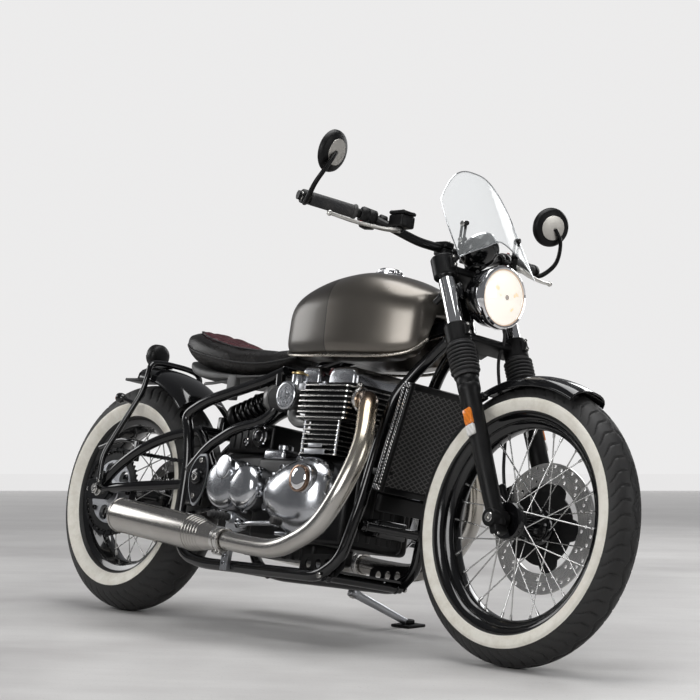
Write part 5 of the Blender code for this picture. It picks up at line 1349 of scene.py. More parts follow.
# Cylinder head and barrel
# Two aluminium castings painted satin black. Their cooling fins were skimmed at the rim, so each shows a
# bright edge. The head bolts to the barrel, and the barrel to the crankcase by studs in its corners.
def fins(shape, low, high, count, thick, depth, corner):
    """Plates with rounded corners on a narrower core, with the rims of the plates as a second finish."""
    pitch = (high[2] - low[2] - thick) / (count - 1)
    soft = 0.0006
    levels = []
    for number in range(count):
        base = low[2] + number * pitch
        levels += [(base, soft, 0), (base + soft, 0, 1), (base + thick - soft, 0, 0), (base + thick, soft, 0)]
        if number < count - 1:
            levels += [(base + thick, depth, 0), (base + pitch, depth, 0)]
    part = bmesh.new()
    loops = []
    for z, inset, rim in levels:
        ring = []
        for quarter in range(4):
            turn = math.pi / 2 * quarter
            middle_x = high[0] - inset - corner if quarter in (0, 3) else low[0] + inset + corner
            middle_y = high[1] - inset - corner if quarter in (0, 1) else low[1] + inset + corner
            for step in range(6):
                angle = turn + math.pi / 2 * step / 5
                ring.append(part.verts.new((middle_x + corner * math.cos(angle), middle_y + corner * math.sin(angle),
                                            z)))
        loops.append((ring, rim))
    for (lower, rim), (upper, _) in zip(loops, loops[1:]):
        for step in range(len(lower)):
            after = (step + 1) % len(lower)
            part.faces.new((lower[step], lower[after], upper[after], upper[step])).material_index = rim
    part.faces.new(loops[0][0])
    part.faces.new(loops[-1][0])
    graft(shape, part)


ENGINE_BLACK = satin_black("engine black", 0.34)
FIN_EDGE = bright_steel("skimmed fin rims", (0.66, 0.65, 0.62), 0.24)
head = bmesh.new()
fins(head, (0.797, -0.148, 0.5453), (0.989, 0.148, 0.6318), 7, 0.0046, 0.015, 0.014)
block(head, (0.796, -0.07, 0.574), (0.832, 0.07, 0.63), 0.004)
for side in (1, -1):
    turned(head, [(0.0265, 0), (0.0265, 0.026), (0.0245, 0.029), (0, 0.029)], (0.961, side * 0.104, 0.6), (1, 0, 0),
           32)
piece("finned_head", head, (ENGINE_BLACK, FIN_EDGE), "frame", "cylinder_head", sharp=30)
barrel = bmesh.new()
fins(barrel, (0.811, -0.13, 0.4553), (0.953, 0.13, 0.5448), 8, 0.0036, 0.013, 0.01)
piece("finned_barrel", barrel, (ENGINE_BLACK, FIN_EDGE), "frame", "cylinder_block", sharp=30)


def polished_alloy(name="polished alloy", rough=0.2):
    """Cast aluminium polished by hand: soft swirls, a cloudy bloom and tiny casting pits."""
    made = Finish(name)
    bloom = made.noise(7, 4, 0.6)
    swirl = made.noise(60, 3, 0.5)
    pits = made.noise(700, 1)
    tone = made.mix(made.span(bloom, 0.3, 0.75), (0.52, 0.53, 0.55), (0.36, 0.37, 0.39))
    rough_value = made.span(bloom * 0.6 + swirl * 0.4, 0.3, 0.75, rough - 0.07, rough + 0.12)
    return made.surface(made.principled(tone, rough_value, 1.0,
                                        normal=made.bump(pits * 0.3 + swirl * 0.7, 0.0003, 0.1)))


ALLOY = polished_alloy()
SATIN_ALLOY = polished_alloy("satin alloy", 0.36)
trim = bmesh.new()
for side in (1, -1):
    block(trim, (0.799, side * 0.1395 - 0.0095, 0.615), (0.825, side * 0.1395 + 0.0095, 0.634), 0.0025)
    block(trim, (0.876, side * 0.1395 - 0.0095, 0.628), (0.9, side * 0.1395 + 0.0095, 0.634), 0.0018)
    block(trim, (0.838, side * 0.132 - 0.0022, 0.456), (0.916, side * 0.132 + 0.0022, 0.469), 0.0016)
    block(trim, (0.85, side * 0.1312 - 0.0022, 0.4735), (0.902, side * 0.1312 + 0.0022, 0.4835), 0.0016)
    for x in (0.8175, 0.9465):
        swept(trim, [(x, side * 0.1235, 0.456), (x, side * 0.1235, 0.545)], 0.0036, 12)
    for x in (0.812, 0.888):
        bolt(trim, (x, side * 0.1395, 0.634), (0, 0, 1), 0.0058, 0.005)
piece("head_and_barrel_hardware", trim, SATIN_ALLOY, "frame", sharp=40)

# Cam cover
# A black cover with two polished humps over the camshafts. A short black bridge with a dark red rubber cap
# sits between them, and sleeve bolts hold it down.
cover = bmesh.new()
block(cover, (0.763, -0.117, 0.6322), (0.973, 0.117, 0.644), 0.004)
block(cover, (0.834, -0.1, 0.64), (0.874, 0.1, 0.664), 0.006)
piece("cam_cover_base", cover, ENGINE_BLACK, "frame", "cam_cover", sharp=40)
humps = bmesh.new()
for x_low, x_high in ((0.764, 0.837), (0.871, 0.9735)):
    middle = (x_low + x_high) / 2
    half = (x_high - x_low) / 2
    profile = [(-0.1175, 0.6), (-0.1165, 0.8), (-0.112, 0.93), (-0.1, 1.0), (0.1, 1.0), (0.112, 0.93),
               (0.1165, 0.8), (0.1175, 0.6)]
    rings = []
    for y, share in profile:
        ring = []
        for step in range(33):
            turn = math.pi * step / 32
            across = math.copysign(abs(math.cos(turn)) ** 0.45, math.cos(turn))
            ring.append(Vector((middle + half * (0.55 + 0.45 * share) * across, y,
                                0.642 + 0.0438 * share * math.sin(turn) ** 0.62)))
        rings.append(ring)
    skin(humps, rings)
    for y in (-0.07, 0.07):
        bolt(humps, (middle, y, 0.684), (0, 0, 1), 0.0055, 0.002)
piece("camshaft_humps", humps, ALLOY, "frame", sharp=50)
cap = bmesh.new()
turned(cap, [(0.0085, 0), (0.0085, 0.01), (0.006, 0.013), (0.006, 0.018), (0.0035, 0.02), (0, 0.02)],
       (0.854, -0.09, 0.664), (0, 0, 1), 28)
turned(cap, [(0.0085, 0), (0.0085, 0.01), (0.006, 0.013), (0.006, 0.018), (0.0035, 0.02), (0, 0.02)],
       (0.854, 0.09, 0.664), (0, 0, 1), 28)
piece("coil_caps", cap, lamp_plastic("dark red rubber", (0.09, 0.012, 0.014), 60.0), "frame",
      sharp=40)

# Crankcase
# The engine's lower casting, painted satin black with rounded corners, ribs down its front and a finned
# sump. The polished top of the gearbox shows behind the barrel.
case = bmesh.new()
block(case, (0.47, -0.092, 0.235), (1.015, 0.092, 0.455), 0.018, segments=4)
block(case, (0.64, -0.117, 0.232), (1.006, 0.117, 0.446), 0.016, segments=4)
block(case, (0.56, -0.07, 0.19), (0.86, 0.07, 0.25), 0.012)
for number in range(7):
    block(case, (0.59 + number * 0.036, -0.073, 0.1895), (0.602 + number * 0.036, 0.073, 0.236), 0.003)
for number in range(5):
    block(case, (1.000, -0.08 + number * 0.036, 0.25), (1.0165, -0.064 + number * 0.036, 0.44), 0.004)
turned(case, [(0.03, 0), (0.03, 0.018), (0.022, 0.0195), (0, 0.0195)], (0.56, -0.0905, 0.361), (0, -1, 0), 40)
piece("crankcase_casting", case, ENGINE_BLACK, "frame", "crankcase", sharp=40)
top = bmesh.new()
block(top, (0.65, -0.112, 0.434), (0.734, -0.05, 0.468), 0.012, segments=5)
turned(top, [(0.02, 0), (0.02, 0.01), (0.016, 0.014), (0.008, 0.015), (0, 0.015)], (0.7, -0.078, 0.468),
       (0, 0, 1), 40)
piece("gearbox_top", top, ALLOY, "frame", sharp=40)

# Clutch cover
# A polished casting with a rounded triangular outline. A round oil cap with a bronze rim and a bright face
# stands near its top, and socket bolts sit in dark counterbores round its edge.
COVER_FACE = -0.1173
COVER_RISE = [(1.0, 0.0), (1.0, 0.018), (0.994, 0.0235), (0.975, 0.0305), (0.945, 0.038), (0.9, 0.046),
              (0.83, 0.055), (0.735, 0.063), (0.61, 0.07), (0.46, 0.0755), (0.3, 0.0785), (0.14, 0.0798),
              (0.02, 0.08)]


def triangle(share, turn):
    """A place on the rounded triangle, from its middle."""
    reach = share * (0.102 - 0.007 * math.cos(3 * turn))
    return 0.864 + reach * math.cos(turn) * 1.25, 0.344 + reach * math.sin(turn)


def rise_at(share):
    """How far the cover stands out from the case at a share of its outline."""
    for (outer, low), (inner, high) in zip(COVER_RISE, COVER_RISE[1:]):
        if outer >= share > inner:
            return low + (high - low) * (outer - share) / (outer - inner)
    return COVER_RISE[-1][1]


def counterbore(shape, centre, axis, radius=0.0085):
    """A raised round boss with a sunk flat floor."""
    turned(shape, [(radius + 0.003, -0.012), (radius + 0.0028, -0.0012), (radius + 0.0018, 0.0004), (radius, 0.0002),
                   (radius * 0.96, -0.007), (0, -0.007)], centre, axis, 32)


shell = bmesh.new()
skin(shell, [[Vector((triangle(share, 2 * math.pi * step / 120)[0], COVER_FACE - rise,
                      triangle(share, 2 * math.pi * step / 120)[1])) for step in range(120)]
             for share, rise in COVER_RISE])
sunk = bmesh.new()
for degrees in (62, 92, 128, 160, 200, 236, 268, 300, 330, 2, 32):
    x, z = triangle(0.905, math.radians(degrees))
    y = COVER_FACE - rise_at(0.905)
    counterbore(shell, (x, y - 0.0015, z), (0, -1, 0), 0.0074)
    bolt(sunk, (x, y + 0.0055, z), (0, -1, 0), 0.006, 0.0055)
for x, z, wide, tall in ((0.8, 0.395, 0.03, 0.005), (0.836, 0.246, 0.024, 0.005)):
    block(shell, (x - wide, COVER_FACE - 0.052, z - tall), (x + wide, COVER_FACE - 0.04, z + tall), 0.003)
turned(shell, [(0.04, 0.04), (0.0395, 0.07), (0.0375, 0.0735), (0.034, 0.075)], (0.912, COVER_FACE, 0.385),
       (0, -1, 0), 64)
piece("clutch_cover_casting", shell, ALLOY, "frame", "clutch_cover", sharp=35)
piece("clutch_cover_bolts", sunk, STAINLESS, "frame")
BRONZE = bright_steel("bronze anodised rim", (0.34, 0.23, 0.17), 0.26)
rim = bmesh.new()
turned(rim, [(0.0345, 0.074), (0.0345, 0.082), (0.0335, 0.0845), (0.0305, 0.0852), (0.0285, 0.0835)],
       (0.912, COVER_FACE, 0.385), (0, -1, 0), 72)
for number in range(2):
    turn = math.radians(35 + 180 * number)
    turned(rim, [(0.0022, 0), (0.0022, 0.0015), (0.0014, 0.002), (0, 0.002)],
           (0.912 + 0.0318 * math.cos(turn), COVER_FACE - 0.0848, 0.385 + 0.0318 * math.sin(turn)), (0, -1, 0), 16)
piece("oil_cap_rim", rim, BRONZE, "frame", sharp=40)
face = bmesh.new()
turned(face, [(0.0287, 0.082), (0.028, 0.0842), (0.025, 0.0862), (0.016, 0.088), (0, 0.0886)],
       (0.912, COVER_FACE, 0.385), (0, -1, 0), 72)
piece("oil_cap_face", face, CHROME, "frame")

# Sprocket cover
# Two polished lobes that run into one another over the final drive's front sprocket. A round raised plate
# lies across the rear lobe, left bare of any mark.
lobes = bmesh.new()
for x, z, radius in ((0.568, 0.363, 0.07), (0.652, 0.358, 0.06)):
    steps = [(1.0, 0), (1.0, 0.028), (0.985, 0.036), (0.94, 0.045), (0.86, 0.0525), (0.72, 0.058), (0.5, 0.0612),
             (0.25, 0.0622), (0, 0.0624)]
    turned(lobes, [(radius * share, rise) for share, rise in steps], (x, COVER_FACE, z), (0, -1, 0), 88)
turned(lobes, [(0.033, 0.05), (0.033, 0.064), (0.0315, 0.066), (0.024, 0.0672), (0, 0.0675)],
       (0.588, COVER_FACE, 0.398), (-0.08, -1, 0.1), 64)
for x, z in ((0.502, 0.37), (0.56, 0.298), (0.654, 0.3), (0.708, 0.344), (0.69, 0.404), (0.64, 0.414)):
    counterbore(lobes, (x, COVER_FACE - 0.036, z), (0, -1, 0), 0.006)
piece("sprocket_cover_casting", lobes, ALLOY, "frame", "sprocket_cover", sharp=35)

# Alternator cover
# The left side's round polished cover, with its own bolt bosses and a small inspection plug.
left = bmesh.new()
steps = [(1.0, 0), (1.0, 0.024), (0.99, 0.031), (0.955, 0.04), (0.88, 0.05), (0.72, 0.0575), (0.45, 0.0612),
         (0.2, 0.062), (0, 0.0622)]
turned(left, [(0.1 * share, rise) for share, rise in steps], (0.905, 0.1173, 0.342), (0, 1, 0), 96)
turned(left, [(0.024, 0.052), (0.024, 0.065), (0.0225, 0.0668), (0.008, 0.0668), (0.0072, 0.064), (0, 0.064)],
       (0.905, 0.1173, 0.342), (0, 1, 0), 48)
for number in range(9):
    turn = 2 * math.pi * number / 9
    counterbore(left, (0.905 + 0.089 * math.cos(turn), 0.1173 + 0.0475, 0.342 + 0.089 * math.sin(turn)), (0, 1, 0),
                0.0062)
piece("alternator_casting", left, ALLOY, "frame", "alternator_cover", sharp=35)

# Intake
# Two throttle bodies dressed as carburettors: a grey body and bellmouth, a bright riveted disc on the side,
# a pot with a brass top above, and a round grey elbow below.
GREY_METAL = bright_steel("grey cast body", (0.235, 0.235, 0.232), 0.42)
BRASS = bright_steel("brass fittings", (0.62, 0.46, 0.22), 0.25)
bodies, discs, brass, boots = bmesh.new(), bmesh.new(), bmesh.new(), bmesh.new()
block(bodies, (0.69, -0.066, 0.578), (0.7955, 0.066, 0.628), 0.006)
for side in (1, -1):
    y = side * 0.094
    turned(boots, [(0.03, 0), (0.034, 0.004), (0.034, 0.048), (0.03, 0.058), (0.026, 0.06)], (0.646, y, 0.6),
           (1, 0, 0), 48)
    turned(bodies, [(0.027, 0.002), (0.029, -0.002), (0.0345, -0.006), (0.0372, -0.002), (0.0372, 0.01),
                    (0.034, 0.012)], (0.644, y, 0.6), (1, 0, 0), 56, closed=True)
    turned(bodies, [(0.029, 0), (0.031, 0.008), (0.028, 0.03), (0.025, 0.09)], (0.704, y, 0.6), (1, 0, 0), 48)
    turned(bodies, [(0.034, 0), (0.036, 0.004), (0.037, 0.034), (0.0345, 0.04)], (0.7505, side * 0.104, 0.602),
           (0, side, 0), 56)
    turned(discs, [(0.0365, 0.038), (0.0372, 0.0395), (0.0372, 0.044), (0.035, 0.046), (0.03, 0.0464),
                   (0.029, 0.0455), (0.011, 0.0455), (0.01, 0.0475), (0, 0.0478)], (0.7505, side * 0.104, 0.602),
           (0, side, 0), 64)
    for number in range(8):
        turn = 2 * math.pi * (number + 0.5) / 8
        turned(discs, [(0.0022, 0), (0.0022, 0.0012), (0.0014, 0.002), (0, 0.0021)],
               (0.7505 + 0.0205 * math.cos(turn), side * 0.1496, 0.602 + 0.0205 * math.sin(turn)), (0, side, 0), 14)
    turned(discs, [(0.0195, 0), (0.0195, 0.032), (0.0185, 0.034), (0.015, 0.0345)], (0.76, side * 0.118, 0.626),
           (0, 0, 1), 48)
    turned(brass, [(0.0212, 0), (0.0218, 0.002), (0.0212, 0.0045), (0.011, 0.0055), (0.01, 0.009), (0.006, 0.01),
                   (0, 0.01)], (0.76, side * 0.118, 0.66), (0, 0, 1), 48)
    swept(bodies,
          curve_points([(0.752, side * 0.112, 0.58), (0.756, side * 0.116, 0.556), (0.774, side * 0.114, 0.541),
                                (0.798, side * 0.104, 0.54)], 6), 0.0165, 24)
piece("throttle_bodies", bodies, GREY_METAL, "frame", "intake", sharp=40)
piece("throttle_discs", discs, ALLOY, "frame", sharp=40)
piece("throttle_tops", brass, BRASS, "frame", sharp=40)
piece("intake_boots", boots, RUBBER, "frame", sharp=40)

# Battery box and what hangs beside it
# A black box behind the barrel, with a ringed horn button and a small round reservoir cap on its right side.
boxed = bmesh.new()
block(boxed, (0.455, -0.078, 0.4553), (0.64, 0.078, 0.535), 0.01, segments=4)
for number in range(6):
    block(boxed, (0.478 + number * 0.026, -0.0795, 0.468), (0.486 + number * 0.026, -0.077, 0.52), 0.001)
turned(boxed, [(0.026, 0), (0.029, 0.006), (0.029, 0.016), (0.024, 0.02), (0, 0.0215)], (0.606, -0.078, 0.5),
       (0, -1, 0), 48)
piece("battery_case", boxed, ENGINE_BLACK, "frame", "battery_box", sharp=40)
ringed = bmesh.new()
for radius, rise in ((0.0265, 0.017), (0.015, 0.0205)):
    turned(ringed,
           [(radius + 0.0018, rise), (radius, rise + 0.0026), (radius - 0.0018, rise), (radius, rise - 0.0012)],
           (0.606, -0.078, 0.5), (0, -1, 0), 48, closed=True)
turned(ringed, [(0.011, 0), (0.011, 0.008), (0.009, 0.01), (0.005, 0.01), (0.0045, 0.006), (0, 0.006)],
       (0.54, -0.078, 0.486), (0, -1, 0), 32)
piece("horn_rings", ringed, CHROME, "frame", sharp=40)

# Frame
# Steel tube welded and enamelled gloss black: a neck, a backbone, and two cradles under the engine that run
# on to the seat. Lens-shaped plates with a bright edge close the swing cage's pivot on each side.
NECK_LOW, NECK_HIGH = 0.514, 0.634
CRADLE = [on_fork(-0.0251, 0.016, 0.5356), on_fork(-0.1261, 0.034, 0.5012), (1.065, 0.056, 0.62),
          (1.058, 0.08, 0.51), (1.056, 0.112, 0.336), (1.03, 0.128, 0.2), (0.96, 0.13, 0.153),
          (0.5, 0.13, 0.153), (0.41, 0.13, 0.166), (0.366, 0.13, 0.225), (0.364, 0.13, 0.41),
          (0.345, 0.13, 0.5), (0.318, 0.13, 0.545), (0.394, 0.122, 0.587), (0.595, 0.1, 0.645),
          (0.655, 0.08, 0.676)]
INNER_LOOP = [(0.362, 0.1275, 0.39), (0.438, 0.1275, 0.464), (0.533, 0.122, 0.514), (0.634, 0.112, 0.537),
              (0.672, 0.1, 0.58), (0.646, 0.086, 0.664)]
SWING_PIVOT = (0.43, 0.378)


def bent(points, reach=0.034, count=6):
    """Straight runs through the points, with each corner rounded."""
    points = [Vector(point) for point in points]
    path = [points[0]]
    for before, corner, after in zip(points, points[1:], points[2:]):
        start = corner + (before - corner).normalized() * min(reach, (before - corner).length * 0.46)
        end = corner + (after - corner).normalized() * min(reach, (after - corner).length * 0.46)
        for step in range(count + 1):
            t = step / count
            path.append(start * (1 - t) ** 2 + corner * 2 * t * (1 - t) + end * t ** 2)
    return path + [points[-1]]


def weld(shape, centre, axis, radius, thick=0.0028):
    """A rippled bead where one tube meets another."""
    outline = [(radius + thick * math.cos(turn), thick * math.sin(turn))
               for turn in [2 * math.pi * step / 8 for step in range(8)]]
    turned(shape, outline, centre, axis, 40, closed=True)


frame = bmesh.new()
turned(frame, [(0.017, NECK_LOW), (0.03, NECK_LOW), (0.0325, NECK_LOW + 0.002), (0.0325, NECK_LOW + 0.01),
               (0.03, NECK_LOW + 0.013), (0.03, NECK_HIGH - 0.013), (0.0325, NECK_HIGH - 0.01),
               (0.0325, NECK_HIGH - 0.002), (0.03, NECK_HIGH), (0.017, NECK_HIGH)], FORK_FOOT, UP_FORK, 56,
       closed=True)
backbone = bent([on_fork(-0.0305, 0, 0.5726), (0.96, 0, 0.756), (0.76, 0, 0.716), (0.655, 0, 0.676)], 0.09, 8)
swept(frame, backbone, 0.02, 32)
weld(frame, backbone[0] + (backbone[1] - backbone[0]).normalized() * 0.006, backbone[1] - backbone[0], 0.0205)
swept(frame, [(0.655, -0.082, 0.676), (0.655, 0.082, 0.676)], 0.015, 28)
for side in (1, -1):
    cradle = bent([sided(point, side) for point in CRADLE])
    swept(frame, cradle, 0.015, 28)
    loop = bent([sided(point, side) for point in INNER_LOOP])
    swept(frame, loop, 0.014, 28)
    weld(frame, cradle[0] + (cradle[1] - cradle[0]).normalized() * 0.016, cradle[1] - cradle[0], 0.015)
    weld(frame, loop[0] + (loop[1] - loop[0]).normalized() * 0.012, loop[1] - loop[0], 0.0142)
    swept(frame, [(SWING_PIVOT[0], side * 0.0984, SWING_PIVOT[1]), (SWING_PIVOT[0], side * 0.136, SWING_PIVOT[1])],
          0.026, 36)
    block(frame, (0.352, side * 0.13 - 0.0062, 0.3), (0.442, side * 0.13 + 0.0062, 0.43), 0.004)
    turned(frame, [(0.011, -0.012), (0.011, 0.012)], (0.318, side * 0.13, 0.545), (0, 1, 0), 24)
for x, half, z in ((1.057, 0.105, 0.29), (0.6, 0.098, 0.646), (0.47, 0.13, 0.155), (0.98, 0.13, 0.155)):
    swept(frame, [(x, -half, z), (x, half, z)], 0.012, 24)
    for side in (1, -1):
        weld(frame, (x, side * (half - 0.016), z), (0, 1, 0), 0.0122)
block(frame, (1.0155, -0.05, 0.268), (1.062, 0.05, 0.312), 0.005)
block(frame, (0.586, -0.02, 0.612), (0.612, 0.02, 0.655), 0.004)
lug_axis, rail = Vector((-0.14, 0, 1)), Vector((0.775, 0.13, 0.153))
foot = Vector((0.809, 0.339, 0.339 * math.tan(LEAN))) - Vector((0.775, 0.16, 0.133))
lug_axis.y = (-foot.z + 0.14 * foot.x) / foot.y
lug_axis.normalize()
stand_pivot = Vector((0.775, 0.16, 0.133))
swept(frame, [stand_pivot - 0.013 * lug_axis, stand_pivot + 0.021 * lug_axis], 0.006, 20)
turned(frame, [(0.013, 0), (0.015, 0.001), (0.015, 0.007), (0.013, 0.008), (0, 0.008)],
       stand_pivot + 0.0155 * lug_axis, lug_axis, 32)
swept(frame, [stand_pivot + 0.0205 * lug_axis, rail + 0.008 * lug_axis], 0.006, 20)
piece("tube_frame", frame, BLACK_ENAMEL, "frame", "main_frame", sharp=45)

LENS = [(0.45, 0.441), (0.464, 0.415), (0.468, 0.378), (0.459, 0.34), (0.442, 0.312), (0.423, 0.301),
        (0.406, 0.325), (0.393, 0.356), (0.392, 0.39), (0.406, 0.42), (0.429, 0.44)]


def shrunk(points, share):
    """The same outline drawn in towards its middle."""
    middle = (sum(x for x, z in points) / len(points), sum(z for x, z in points) / len(points))
    return [(middle[0] + (x - middle[0]) * share, middle[1] + (z - middle[1]) * share) for x, z in points]


def rounded(points, count=5):
    """A closed smooth outline through points in X and Z."""
    whole = [Vector((x, 0, z)) for x, z in points[-2:] + points + points[:3]]
    path = curve_points(whole, count)[2 * count:-3 * count + 1]
    return [(point.x, point.z) for point in path][:-1]


edges, faces, nuts = bmesh.new(), bmesh.new(), bmesh.new()
for side in (1, -1):
    plate(edges, [rounded(LENS)], 0.004, Matrix.Translation((0, side * 0.14, 0)))
    plate(faces, [rounded(shrunk(LENS, 0.9))], 0.003, Matrix.Translation((0, side * 0.1425, 0)))
    turned(faces, [(0.021, 0.002), (0.0215, 0.0035), (0.0205, 0.008), (0.015, 0.0095), (0, 0.0098)],
           (SWING_PIVOT[0], side * 0.142, SWING_PIVOT[1]), (0, side, 0), 40)
    turned(nuts, [(0.012, 0.004), (0.012, 0.011), (0.0105, 0.0125), (0.006, 0.0125), (0.005, 0.006), (0, 0.006)],
           (SWING_PIVOT[0], side * 0.144, SWING_PIVOT[1]), (0, side, 0), 6)
    for x, z in ((0.441, 0.423), (0.426, 0.326)):
        bolt(nuts, (x, side * 0.1436, z), (0, side, 0), 0.0072, 0.0058)
    for x, z in ((0.6, 0.652), (0.98, 0.159)):
        bolt(nuts, (x, side * 0.101 if z > 0.5 else side * 0.144, z - 0.004), (0, side, 0), 0.007, 0.006)
piece("pivot_plate_edges", edges, SATIN_ALLOY, "frame", sharp=30)
piece("pivot_plate_faces", faces, BLACK_ENAMEL, "frame", sharp=30)
piece("frame_bolts", nuts, STAINLESS, "frame", sharp=30)

# Swing cage
# The hidden rear suspension: a triangulated cage of black tube that ends in forged axle plates, with bright
# adjusters and a large axle nut.
cage = bmesh.new()
AXLE_UP = REAR_AXLE
UPPER = [(-0.005, 0.148, AXLE_UP), (0.055, 0.148, 0.385), (0.14, 0.14, 0.44), (0.2, 0.118, 0.476),
         (0.262, 0.097, 0.499), (0.318, 0.082, 0.51), (0.342, 0.079, 0.503), (0.43, 0.079, 0.378)]
LOWER = [(0, 0.148, AXLE_UP), (0.12, 0.14, 0.338), (0.24, 0.102, 0.354), (0.32, 0.08, 0.364), (0.43, 0.079, 0.378)]
swept(cage, [(0.43, -0.098, 0.378), (0.43, 0.098, 0.378)], 0.02, 28)
swept(cage, [(0.332, -0.088, 0.512), (0.332, 0.088, 0.512)], 0.014, 24)
block(cage, (0.318, -0.02, 0.505), (0.348, 0.02, 0.56), 0.005)
swept(cage, [(0, -0.166, AXLE_UP), (0, 0.166, AXLE_UP)], 0.0115, 24)
for side in (1, -1):
    for path in (UPPER, LOWER):
        swept(cage, bent([sided(point, side) for point in path], 0.04), 0.014, 24)
    outline = [(-0.05, AXLE_UP - 0.022), (-0.044, AXLE_UP - 0.028), (0.034, AXLE_UP - 0.028), (0.05, AXLE_UP - 0.012),
               (0.05, AXLE_UP + 0.012), (0.034, AXLE_UP + 0.028), (-0.044, AXLE_UP + 0.028), (-0.05, AXLE_UP + 0.022)]
    plate(cage, [outline], 0.016, Matrix.Translation((0, side * 0.148, 0)))
piece("swing_cage_tubes", cage, BLACK_ENAMEL, "frame", "swing_cage", sharp=40)
nuts = bmesh.new()
for side in (1, -1):
    turned(nuts, [(0.019, 0.0002), (0.019, 0.003), (0.0175, 0.004), (0.012, 0.004)], (0, side * 0.156, AXLE_UP),
           (0, side, 0), 40)
    turned(nuts, [(0.0155, 0.0035), (0.0155, 0.014), (0.014, 0.0155), (0.009, 0.0155)], (0, side * 0.156, AXLE_UP),
           (0, side, 0), 6)
    turned(nuts, [(0.009, 0.01), (0.009, 0.017), (0.0078, 0.0185), (0, 0.0185)], (0, side * 0.156, AXLE_UP),
           (0, side, 0), 24)
    swept(nuts, [(-0.062, side * 0.148, AXLE_UP), (-0.046, side * 0.148, AXLE_UP)], 0.0045, 12)
    turned(nuts, [(0.008, 0), (0.008, 0.006), (0, 0.006)], (-0.058, side * 0.148, AXLE_UP), (1, 0, 0), 6)
piece("rear_axle_nuts", nuts, STAINLESS, "frame", sharp=30)

# Exhaust
# Brushed stainless headers swept down from the head and back along the rails. Heat has coloured their first
# bend straw and bronze. Clamps hold a slash-free silencer with a louvred cone on each.
HEADER = [(0.9903, 0.104, 0.6), (1.008, 0.104, 0.6), (1.04, 0.12, 0.593), (1.075, 0.15, 0.56),
          (1.118, 0.192, 0.47), (1.108, 0.226, 0.36), (1.053, 0.236, 0.272), (0.98, 0.238, 0.228),
          (0.905, 0.238, 0.205), (0.82, 0.238, 0.205), (0.716, 0.24, 0.212)]
SILENCER = (Vector((0.7151, 0.24, 0.212)), Vector((0.24, 0.24, 0.252)))


def heated_steel():
    """Brushed stainless, its upper end tinted in wavy straw and bronze bands by heat."""
    made = Finish("brushed header steel")
    spot = made.place(bike)
    height = made.split(spot, 2)
    cloud = made.noise(16, 4, 0.6)
    brush = made.noise(900, 2)
    warm = height + cloud * 0.07
    tone = made.mix(made.span(cloud, 0.3, 0.75), (0.47, 0.455, 0.43), (0.4, 0.385, 0.36))
    tone = made.mix(made.span(warm, 0.36, 0.52), tone, (0.58, 0.53, 0.445))
    tone = made.mix(made.span(warm, 0.52, 0.6), tone, (0.55, 0.44, 0.31))
    tone = made.mix(made.span(warm, 0.6, 0.66), tone, (0.42, 0.31, 0.25))
    return made.surface(made.principled(tone, made.span(brush, 0.25, 0.8, 0.2, 0.28), 1.0,
                                        normal=made.bump(brush, 0.0001, 0.05)))


def brushed_steel(name, rough):
    """Stainless brushed round its length, with fine lines and faint road haze."""
    made = Finish(name)
    haze = made.noise(9, 4)
    line = made.noise(900, 2)
    tone = made.mix(made.span(haze, 0.3, 0.75), (0.46, 0.445, 0.42), (0.39, 0.375, 0.35))
    return made.surface(made.principled(tone, made.span(line, 0.25, 0.8, rough - 0.03, rough + 0.05), 1.0,
                                        normal=made.bump(line, 0.0001, 0.05)))


